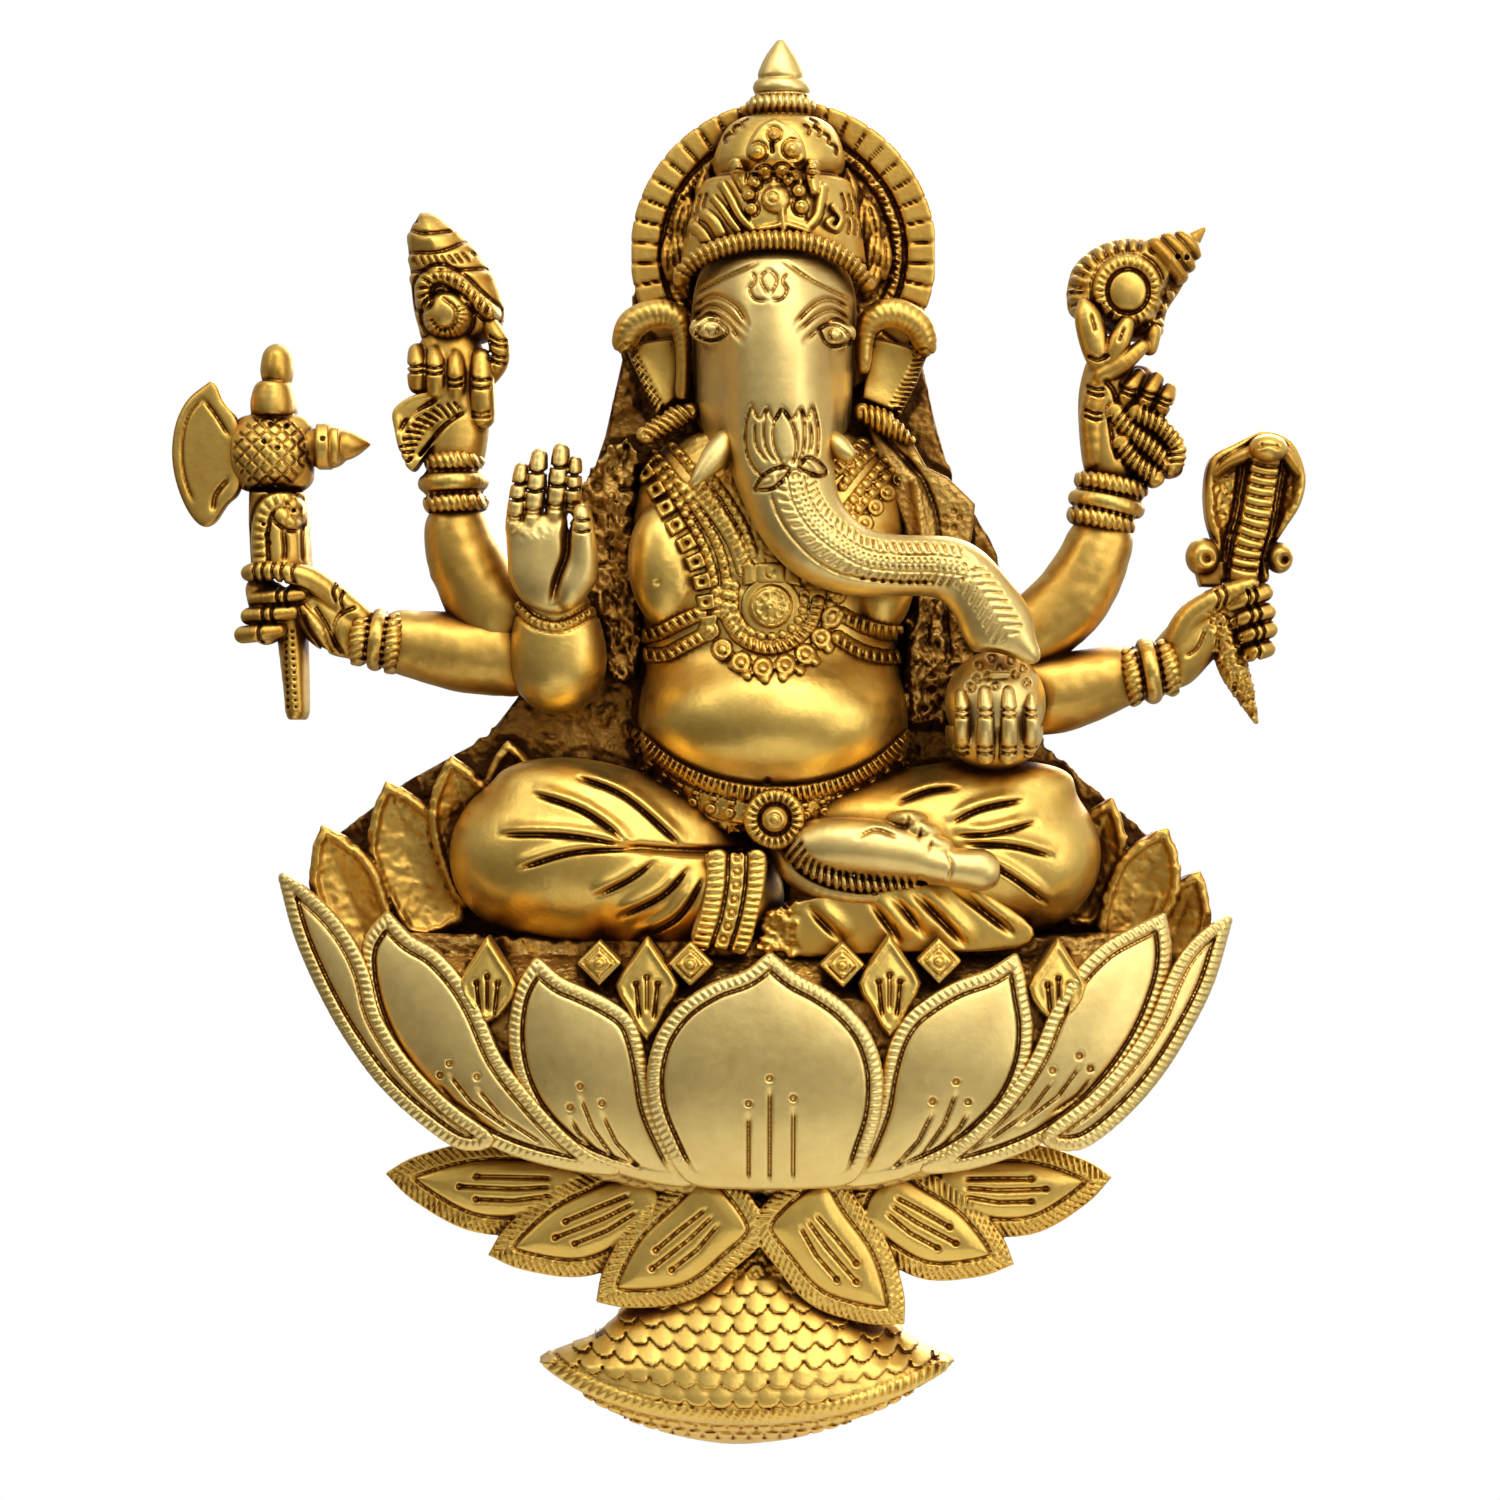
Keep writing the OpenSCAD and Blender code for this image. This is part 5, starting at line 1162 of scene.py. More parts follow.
def makeEars():
    for name, s, fold1, panel, lock in (("left", -1, [(-31.6, -2.4, 17, 2.6, 3),
                                                      (-29.6, 1.6, 18.4, 2.9, 3.2),
                                                      (-24.8, 3.6, 19.4, 2.8, 3.2),
                                                      (-20.6, 2.8, 20, 2.5, 3), (-19, -0.6, 20, 1.8, 2.4),
                                                      (-18.7, -8, 19.4, 1.3, 2), (-19, -14, 18.4, 1.3, 2)],
                                         [(-31.6, -2.8), (-20, -1), (-18.6, -13), (-24.6, -18.2),
                                          (-27.2, -13)], [(-17.2, -17.6, 18, 2.2, 3),
                                                  (-21, -19.2, 18.6, 2.7, 3), (-26.6, -22.6, 17, 2.4,
                                                          2.6)]), ("right", 1,
                                                                  [(20.2, -8, 19.4, 1.4, 2),
                                                                          (20.6, -0.4, 20, 2.0, 2.4),
                                                                                  (23.0, 3, 20, 2.6, 3),
                                                                                          (27.4, 3.7, 19.4,
                                                                                                  2.9, 3.2),
                    (32, 1.2, 18.4, 2.8, 3.2), (34.0, -3.2, 17, 2.3, 3)], [(22, -1), (34.6, -4.2),
                        (32, -11), (28.4, -18), (20, -14.6)], [(20, -17.6, 18.4, 2.0, 3),
                        (25, -20, 18.6, 2.7, 3), (30.4, -23.8, 17.4, 1.2, 2)])):
        xs = (-36, -15) if s < 0 else (17, 38.5)
        c = Clay(xs[0], xs[1], -27, 8, 4, 24.5, 0.36)
        edge = inside(c, panel, 6)
        c.relief(edge, 15.8 - 1.0 * soften(np.clip(-edge / 4, 0, 1), 4), 6, corner=0.8)
        c.limb(fold1, 1.0)
        c.limb(lock, 0.2)
        line = curve([(p[0], p[1]) for p in fold1])
        st, t, side = follow(c, line, 5)
        c.raiseBy(-0.16 * (st < 2.6) * (wave(t + 0.2 * side, 1.5)) ** 3 * np.clip((c.zs + 5) / 2, 0, 1), 12)
        st, t, side = follow(c, curve([(p[0], p[1]) for p in lock]), 4)
        c.raiseBy(-0.6 * (st < 2.8) * (wave(t + 0.5 * side, 1.5)) ** 2, 12)
        outer = [(-31, -5), (-27.6, -12), (-25, -17)] if s < 0 else [(33.2, -6), (31, -11.4), (27.8, -17)]
        c.raiseBy(hatch(c, curve(outer), -0.4, 2.4, 1.2, 0.6) + hatch(c, curve(outer), -2.4, 0.4, 1.2, 0.6), 8)
        finishClay(c, "ear_" + name)


def makeCrown():
    crown = Clay(-23, 25, 14.5, 49, 8, 42, 0.33)
    edge, front = barrel(crown, [(2.2, 46.6, 15, 8, 9), (2.2, 44.6, 15, 11.4, 12.5),
                                 (2.2, 41, 15, 13.4, 14.6), (2, 37, 15, 14.4, 15.8),
                                 (1.8, 34.6, 15, 13.8, 15.2), (1.6, 33.4, 15, 13.4, 14.8),
                                 (1.5, 32.4, 15, 16.2, 16.4), (1.2, 28, 15, 18.0, 17.8),
                                 (0.9, 23, 15, 19.2, 18.6), (0.8, 19.4, 15, 19.6, 18.4),
                                 (0.8, 15, 15, 20.2, 17.6)], 3)
    crown.relief(edge, front, 9, corner=1.2)
    plain = crown.over(-99, 99, -999, 999)
    cuts = np.zeros_like(crown.xs)
    for x, z in ((8, 42.6), (10.2, 42.2), (12.2, 41), (9.4, 44.2), (13.8, 38.8), (-7.4, 43), (-9.2, 41.2),
                 (-5.6, 44.2)):
        lean = 0.9 if x > 0 else -0.9
        cuts += groove(crown, curve([(x - lean, z + 1.2), (x + 0.5 * lean, z + 0.4),
                                     (x + 0.2 * lean, z - 1.2)]), 0.42, 0.8, 0)
    for z0 in (22.5, 26.5):
        for s in (-1, 1):
            for k in range(3):
                x = 0.9 + s * (15.4 + 1.5 * k - (z0 - 22.5) * 0.25)
                cuts += groove(crown, curve([(x, z0 + 2.6), (x + 0.8 * s, z0), (x + 0.4 * s, z0 - 2.2)]),
                               0.42, 0.7, 0)
    crown.raiseBy(cuts, fromDepth=12)
    finishClay(crown, "crown")

    def crest(c):
        lobes = [inside(c, smooth([(1, 45.4), (-2.4, 43.6), (-4.8, 39.6), (-5, 36.6), (-1, 34.6), (3, 34),
                                   (7.2, 35.2), (7.6, 38.6), (5.4, 42.6), (1, 45.4)], 4), 4),
                 np.hypot((c.xs - 1) / 1.0, (c.zs - 30.6) / 1.0) - 6.4, inside(c,
                         [(-5.5, 33), (7.4, 33), (8.4, 20.4), (-4.6, 20.4)], 4)]
        base = 2.2 * np.clip(-np.minimum.reduce(lobes) / 0.8, 0, 1)
        for path, w, h in (([(-7.4, 35), (-6.4, 32.2), (-5.2, 29.8)], 1.7, 2.8),
                           ([(9.2, 34.6), (9.2, 32), (9.6, 29.4)], 1.7, 2.8),
                           ([(-10.2, 30.8), (-8.4, 27.6), (-6.4, 23.6), (-3.8, 20.6)], 1.15, 2.6),
                           ([(-12.2, 28), (-10.2, 25.4), (-8.4, 22.6), (-6.8, 20.4)], 1.0, 2.2),
                           ([(11.4, 30), (10.8, 26.6), (10, 23.4), (7.6, 20.6)], 1.25, 2.7),
                           ([(-13.8, 24.4), (-12, 22.6), (-10.6, 20)], 1.5, 1.8),
                           ([(-16.4, 22), (-14.8, 20.4), (-13.6, 18.4)], 1.4, 1.6),
                           ([(13.6, 26), (15.4, 23.4), (14.2, 21), (12.4, 22.2), (13.4, 23.2)], 0.9, 2.0),
                           ([(2.5, 25), (2.7, 22.6), (2.9, 20.4)], 1.1, 3.6),
                           ([(-2.4, 20.6), (0.6, 21), (3, 21.6), (5.6, 21), (8, 20.2)], 1.0, 3.4)):
            base = np.maximum(base, dome(follow(c, curve(path), 3)[0], w, h))
        for x, z, r, h in ((0.9, 41.2, 1.25, 3.6), (-2.6, 37.4, 1.8, 4.0), (4.8, 38, 1.9, 4.0),
                           (-6.9, 34.2, 1.25, 3.9), (8.9, 33.8, 1.25, 3.8), (-1.2, 32.7, 1.6, 4.0),
                           (-3.4, 30.8, 1.5, 3.7), (2.6, 33, 1.7, 4.0), (5.2, 32.2, 1.2, 3.6),
                           (3.8, 31, 1.1, 3.6), (6.2, 28.9, 1.6, 4.0), (6.8, 25.5, 1.7, 4.0),
                           (-4.6, 28.1, 1.5, 3.8), (-4, 25, 1.4, 3.6)):
            away = np.hypot(c.xs - x, c.zs - z)
            pearl = 1.4 + dome(away, r, h - 1.4) - 0.45 * bell(away - 0.55 * r, 0.22)
            base = np.where(away < r, np.maximum(base, pearl), base - 0.5 * bell(away - r - 0.3, 0.3)
                            * (base > 0.9))
        away = np.hypot(c.xs - 1.2, c.zs - 27)
        base = np.where(away < 3.0, np.maximum(base, 2.4 + dome(away, 3.0, 2.0)), base)
        away = np.hypot(c.xs - 0.5, c.zs - 27.2)
        base = base - 0.5 * bell(away - 1.05, 0.25)
        base = base + groove(c, [(0.4, 39.6), (0.5, 37)], 0.45, 1.6, 0)
        return np.maximum(base, -0.4)

    lay(plain, (-18, 18, 18, 47.5), crest, 1.2, "crown_crest", margin=0.2)
    f = Clay(-8, 12, 45.2, 63.6, 6, 24, 0.3)
    edge, front = barrel(f, [(2.4, 63.4, 15, 0.7, 0.7), (2.4, 62.2, 15, 1.7, 1.7), (2.4, 60, 15, 3.3, 3.3),
                             (2.4, 57.8, 15, 4.4, 4.4), (2.4, 55.8, 15, 5.1, 5.1),
                             (2.4, 54.9, 15, 4.9, 4.9), (2.4, 54.4, 15, 5.6, 5.6),
                             (2.5, 53.6, 15, 6.1, 6.1), (2.6, 52.8, 15, 6.3, 6.3),
                             (2.6, 52.0, 15, 6.1, 6.1), (2.6, 51.4, 15, 5.7, 5.7),
                             (2.5, 50.8, 15, 6.9, 6.9), (2.4, 49.6, 15, 7.7, 7.7),
                             (2.4, 48.2, 15, 7.5, 7.5), (2.4, 47.0, 15, 6.4, 6.4),
                             (2.4, 45.2, 15, 5.6, 5.6)], 2)
    f.relief(edge, front, 30 - front, corner=0.3)
    s, t, side = follow(f, [(-6, 49.1), (11, 49.1)], 3)
    f.raiseBy(-0.5 * (s < 2.2) * (wave(t, 1.5)) ** 2, 12)
    finishClay(f, "crown_finial", satin)
    b = Clay(-23, 25, 8, 21.5, 12, 44, 0.33)
    line = [(-19.4, 10.6, 22, 1.7, 2.4), (-17.4, 13.6, 27, 1.8, 2.4), (-12.6, 16.2, 32, 1.9, 2.4),
            (-6, 17.8, 35.4, 1.9, 2.4), (1, 18.2, 36.8, 1.9, 2.4), (8, 17.8, 35.6, 1.9, 2.4),
            (14, 15.8, 32.2, 1.9, 2.4), (18.4, 13, 27, 1.8, 2.4), (21, 9.8, 21.5, 1.6, 2.2)]
    b.limb(line, 0)
    s, t, side = follow(b, curve([(p[0], p[1]) for p in line], 6), 4)
    b.raiseBy(-0.55 * (wave(t + 0.1 * side, 1.5)) ** 2 * (s < 3) + 0.3, 10)
    finishClay(b, "brow_band")


halo = dict(x=3, z=17.5, radius=31.9, border=26.6, ring=24.9, tooth=4.3)


def makeHalo():
    c = Clay(-30, 36, -16, 50.5, 4, 13.5, 0.45)
    away = np.hypot(c.xs - halo["x"], c.zs - halo["z"])
    angle = np.arctan2(c.zs - halo["z"], c.xs - halo["x"])
    c.relief(away - halo["radius"], 8.4 + 0 * c.xs, 5, corner=0.5)
    teeth = angle * halo["radius"] * 0.9 / halo["tooth"]
    cell = np.abs(teeth - np.round(teeth)) * halo["tooth"]
    border = np.clip((away - halo["border"]) / 0.4, 0, 1)
    lift = border * (1.5 - 0.95 * bell(cell - 2.15, 0.24) * np.clip((32.4 - away) / 1.2, 0.4, 1))
    out = away - halo["ring"]
    strands = 0.5 + 0.5 * np.cos(angle * halo["ring"] * 2 * math.pi / 1.45 + 1.2 * out)
    ring = dome(out, 1.35, 2.0) * (0.5 + 0.5 * np.sqrt(strands))
    rim = -0.5 * bell(away - halo["border"], 0.5)
    rough = 0.5 * grit(c, 1.6, 41) * (1 - border)
    c.raiseBy(lift + ring + rim + rough, fromDepth=6)
    # leaves of hair between the crown and the ring
    for s in (-1, 1):
        for x, z, dx, dz, w in ((19.5, 8.5, 2.6, 8, 2.1), (20.4, 13.5, 1.2, 9.5, 2.2),
                                (18.6, 19.5, 0.4, 9.5, 2.2), (16.4, 27, -1.2, 8.5, 2.0),
                                (23.4, 12, 0.4, 9, 1.6), (21.6, 20.5, -1.4, 8, 1.7)):
            x0 = 1.5 + s * x
            c.limb([(x0, z, 9.5, w * 0.5, 1.6), (x0 + s * dx * 0.5, z + dz * 0.5, 10.6, w, 2.2),
                    (x0 + s * dx, z + dz, 9.6, w * 0.35, 1.2)], 0.2, 3)
            c.raiseBy(groove(c, [(x0, z + 1), (x0 + s * dx, z + dz - 1)], 0.4, 0.6, 1), 8)
    hole = np.maximum(np.abs(c.xs) - 15, np.abs(c.zs - 2.5) - 9)
    c.f = np.maximum(c.f, -np.broadcast_to(hole[:, None, :], c.f.shape)).astype(np.float32)
    finishClay(c, "halo")


def makePlate():
    c = Clay(-101, 95, -132, 43, -0.5, 7.5, 0.7)
    edge = inside(c, [(14, 42), (28, 34), (33, 18), (33, -4), (36, -18), (40, -32), (48, -44), (53, -58),
                      (55.5, -74), (60, -90), (73, -101), (88, -114), (92, -131.4), (-98, -131.4),
                      (-98, -112), (-80, -98), (-62, -88), (-52.5, -76), (-50, -56), (-42, -40), (-36, -22),
                      (-32, -4), (-28, 18), (-22, 34), (-8, 42)], 10)
    c.relief(edge, 5 + 0 * c.xs, 0, corner=0.7)
    c.raiseBy(0.55 * grit(c, 3.2, 51) + 0.3 * grit(c, 1.5, 52), fromDepth=3)
    for x0, x1, z0, z1, deep in ((-21, 23, -94, -38, 9), (-62, -10, -126, -104, 9), (12, 58, -126, -104, 9),
                                 (-15, 15, -6.5, 11.5, 9), (-25, 25, -10, 16, 2)):
        cut = np.maximum(np.maximum(x0 - c.xs, c.xs - x1), np.maximum(z0 - c.zs, c.zs - z1))
        room = np.maximum(cut[:, None, :], (c.d - deep)[None, :, None] * np.ones_like(c.f))
        c.f = np.maximum(c.f, -room).astype(np.float32)
    posts = ["seat_post_left", "seat_post_middle", "seat_post_right"]
    finishClay(c, "back_plate", ("brass_cast", castBrass),
               ["back_plate", "plate_left", "plate_right", "seat_rail", *posts, "seat_sill"])


makeHead()
makeEars()
makeCrown()
makeHalo()
makePlate()
print("head and crown done")


# Arms, hands and what they hold.

arms = dict(back=5.0, pitch=1.55, ringDepth=8.8)


def arm(name, box, stations, web=None):
    c = Clay(*box, 3, 23, 0.42)
    c.limb(stations, 0.5)
    if web:
        c.limb(web, 1.5)
    c.raiseBy(0.12 * grit(c, 5.0, len(name) + 70))
    c.flatBack(arms["back"])
    # the arms take the darkened amber brass: partly their deeper tone, partly painted shade
    finishClay(c, name, shadedAmber)


def bangles(name, box, rings, w=2.0):
    # three rings, each over the arm from one side to the other; the outer two are hatched
    c = Clay(*box, 3, 25, 0.33)
    middles = [((ax + bx) / 2, (az + bz) / 2, 12, math.hypot(bx - ax, bz - az) / 2 - 1.0, 8.2) for ax, az,
               bx, bz in rings]
    c.limb(middles, 0)
    for p, q in ((middles[0], middles[1]), (middles[2], middles[1])):
        gone = (c.xs - p[0]) * (p[0] - q[0]) + (c.zs - p[1]) * (p[1] - q[1])
        c.trim((gone / math.hypot(p[0] - q[0], p[1] - q[1]) - 1.6).astype(np.float32))
    for ax, az, bx, bz in rings:
        mx, mz, hx, hz = (ax + bx) / 2, (az + bz) / 2, (bx - ax) / 2, (bz - az) / 2
        hx, hz = hx * (1 - 1.8 / math.hypot(hx, hz)), hz * (1 - 1.8 / math.hypot(hx, hz))
        over = [(mx + hx * math.cos(a), mz + hz * math.cos(a), 11.5 + arms["ringDepth"] * math.sin(a), w,
                 w) for a in np.linspace(3.7, -0.56, 9)]
        c.limb(over, 0.15, 3)
    for i, (ax, az, bx, bz) in enumerate(rings):
        s, t, side = follow(c, [(ax, az), (bx, bz)], 3)
        if i != 1:
            c.raiseBy(-0.42 * (s < w + 0.2) * (wave(t + 0.35 * side, arms["pitch"])) ** 2, fromDepth=9)
    c.flatBack(arms["back"])
    finishClay(c, name)


def knuckles(c, x, z, lean=0.0, w=1.9, gap=1.3):
    # two small creases across a finger
    out = 0
    for k in (0, 1):
        y = z - k * gap
        out = (out + groove(c, curve([(x - w, y + lean * w), (x, y - 0.45), (x + w, y - lean * w)]), 0.33,
                            0.65, 0))
    return out


def finishHand(c, name):
    c.flatBack(arms["back"])
    finishClay(c, name)


def makeArms():
    arm("arm_conch", (-79, -44, -70, -36), [(-49, -61, 12, 7, 7.5), (-56, -60.6, 12, 7.8, 8.2),
                                            (-62.4, -56.4, 12, 8, 8.8), (-66.4, -50, 12, 7.8, 8.8),
                                            (-68.2, -43, 12, 7.0, 8)], [(-65.4, -50, 12, 7.2, 7.8),
                                                    (-62.6, -58, 12, 7.6, 7.6), (-59, -64, 12, 7, 7)])
    arm("arm_axe", (-86, -44, -82, -58), [(-51, -71, 12, 7.6, 7.6), (-58, -70.6, 12, 8.4, 8.8),
                                          (-68, -69.4, 12, 8.4, 9), (-76, -68, 12, 7.4, 8.4),
                                          (-80, -67.3, 12, 6.8, 7.8)])
    arm("arm_shell", (44, 82, -76, -39), [(51, -67, 12, 7.6, 7.4), (58, -64.4, 12, 8.0, 8.6),
                                          (64.6, -59, 12, 8.2, 9), (69.2, -52, 12, 7.8, 8.8),
                                          (72, -45.5, 12, 7.0, 8)])
    arm("arm_cobra", (46, 84, -90, -63), [(55, -79, 12, 8.6, 7.6), (62, -78.4, 12, 8.6, 8.8),
                                          (69, -76.8, 12, 7.8, 8.8), (75, -75, 12, 6.8, 8)])
    bangles("bangles_conch", (-79, -58, -42, -24), [(-75.4, -28.4, -62.2, -27.9),
                                                    (-76.4, -32.9, -61.4, -32.4),
                                                    (-75.6, -37.4, -61.2, -36.9)])
    bangles("bangles_axe", (-94, -77, -78, -56), [(-89.9, -72.6, -88.2, -60.4),
                                                  (-86.2, -73.4, -84.4, -60.2),
                                                  (-82.6, -74.4, -81.0, -60.6)])
    bangles("bangles_shell", (61, 86, -46, -28), [(66.2, -31.6, 82.2, -34.8), (65.2, -35.6, 81.4, -38.9),
                                                  (64.6, -39.2, 79.6, -42.4)])
    bangles("bangles_cobra", (74, 92, -85, -62), [(77.4, -68, 79.6, -81.2), (81.4, -66.4, 83.8, -80.6),
                                                  (85.2, -66.2, 87.8, -79)])


def makeConchHand():
    c = Clay(-84, -54, -32, 5, 3, 24, 0.33)
    c.limb([(-68.4, -27.6, 12, 6.0, 7), (-68, -21, 12.4, 6.6, 6.6), (-68.4, -13, 12.4, 7.4, 6),
            (-69.6, -6, 12, 7.6, 5.6)], 0.8)
    for x, z0, z1, w, d in ((-76.6, -4.4, -11.4, 2.0, 15.4), (-72.6, -4.8, -12.6, 2.1, 16.6),
                            (-68.2, -5.4, -13.8, 1.9, 17), (-62.6, -6, -18.6, 2.4, 17)):
        c.limb([(x, z0, d - 1.4, w, 3), (x + 0.2, (z0 + z1) / 2, d + 0.6, w * 1.1, 3.2),
                (x + 0.3, z1, d - 0.4, w * 1.1, 3)], 0.4)
    c.limb([(-74, -7.5, 12, 4.6, 5), (-70, -8.5, 12.4, 5.2, 5.4), (-64.4, -8.5, 12.4, 4.2, 5)], 0.5)
    c.limb([(-60.6, 1.2, 15.4, 1.9, 2.6), (-58.8, -2.6, 16, 2.2, 2.8), (-58.9, -6.6, 15.4, 2.1, 2.8),
            (-60.8, -10, 14.4, 1.7, 2.6)], 0.3)
    cuts = ((knuckles(c, -76.8, -7.4) + knuckles(c, -72.6, -7.8, w=1.8) + knuckles(c, -68.2, -10.4, w=1.7)
             + knuckles(c, -62.5, -10.4, w=2.1, gap=1.8) + knuckles(c, -62.5, -17.6, w=2.0, gap=0.9)
             + knuckles(c, -58.9, -1.6, 0.3) + knuckles(c, -59, -5.2, 0.3)))
    leaf = smooth([(-65.4, -16.4), (-71.4, -13.4), (-77, -13.8), (-81.6, -17), (-81.4, -21.4),
                   (-79.9, -27.2), (-77.4, -30.2), (-73.8, -25.6), (-65.4, -16.4)], 4)
    edge = inside(c, leaf, 5)
    c.relief(edge, 17.6 - 1.4 * np.clip((-edge - 1.2) / 1.6, 0, 1) + 1.2 * bell(edge + 3.6, 1.1), 7,
             blend=0.3, corner=0.5)
    middle = curve([(-67.4, -16.8), (-72.4, -18), (-77, -22), (-79.2, -27)])
    s, t, side = follow(c, middle, 4)
    cuts += -0.8 * (s < 1.7) * (wave(t + 0.5 * side, 1.6)) ** 3
    cuts += (groove(c, curve([(-66, -17.4), (-71, -21), (-76.4, -27.4)]), 0.5, 1.1, 1)
             + groove(c, curve([(-72, -14.6), (-78, -18.4), (-80.6, -22)]), 0.45, 0.9, 1))
    c.raiseBy(cuts, fromDepth=10)
    finishHand(c, "hand_conch")
    c = Clay(-81, -56, -4, 28, 3, 24, 0.33)
    edge = inside(c, smooth([(-76.2, 26.2), (-72.6, 26.0), (-68.9, 23), (-65, 19.3), (-61.4, 14.6),
                             (-58.7, 9.4), (-57.9, 4.2), (-59.6, -0.4), (-64, -2.4), (-70, -2.6),
                             (-75.2, -2), (-76.6, 1.4), (-77.8, 6.4), (-78.4, 14), (-78.8, 21.4),
                             (-76.2, 26.2)], 4), 9)
    round1 = np.sqrt(np.clip(1 - (1 - np.clip(-edge / 8.5, 0, 1)) ** 2, 0, 1))
    c.relief(edge, 10.5 + 8.4 * round1, 5, corner=0.5)
    for path in ([(-78.8, 22.6), (-75, 21.2), (-69.6, 21.8)], [(-79, 17.4), (-73, 17), (-69.4, 17.9),
            (-65.6, 20)], [(-78.6, 13.2), (-70, 13), (-61.4, 13.8)]):
        s, t, side = follow(c, curve(path), 5)
        c.raiseBy(-0.9 * bell(side, 0.42) + 0.3 * bell(side + 1.6, 1.2), 9)
    c.raiseBy(hatch(c, curve([(-77, 15.4), (-70.6, 15.2), (-64.6, 16.4)]), -1.3, 1.3, 1.6, 0.6)
              + dots(c, [(-76.9, 24.2)], 0.6, -0.9), 9)
    coil = smooth([(-75.2, 6.6), (-75, 10.2), (-71.6, 12.2), (-67.6, 10.4), (-64, 7), (-60.4, 4)], 5)
    s, t, side = follow(c, coil, 4)
    c.raiseBy(dome(s, 1.9, 2.0) * (0.5 + 0.5 * np.sqrt(wave(t + 0.3 * side, 1.8)))
              - 0.8 * bell(s - 2.2, 0.4), 9)
    away = np.hypot((c.xs + 69.9) / 1.05, c.zs - 3.2)
    whorl = np.arctan2(c.zs - 3.2, c.xs + 69.9)
    c.raiseBy(dome(away, 5.2, 3.2) - 1.0 * bell(away - 5.4, 0.5), 9)
    line = smooth([(-70.6, 6.8), (-68, 4.4), (-68.4, 1.2), (-71, 0.2), (-73, 2)], 5)
    s, t, side = follow(c, line, 3)
    c.raiseBy(-0.8 * bell(s, 0.4) - 0.7 * ((away < 5) & (away > 2.4)) * (0.5 + 0.5
            * np.cos(whorl * 22)) ** 3 * (whorl < 0.6), 9)
    c.flatBack(5)
    finishClay(c, "conch")


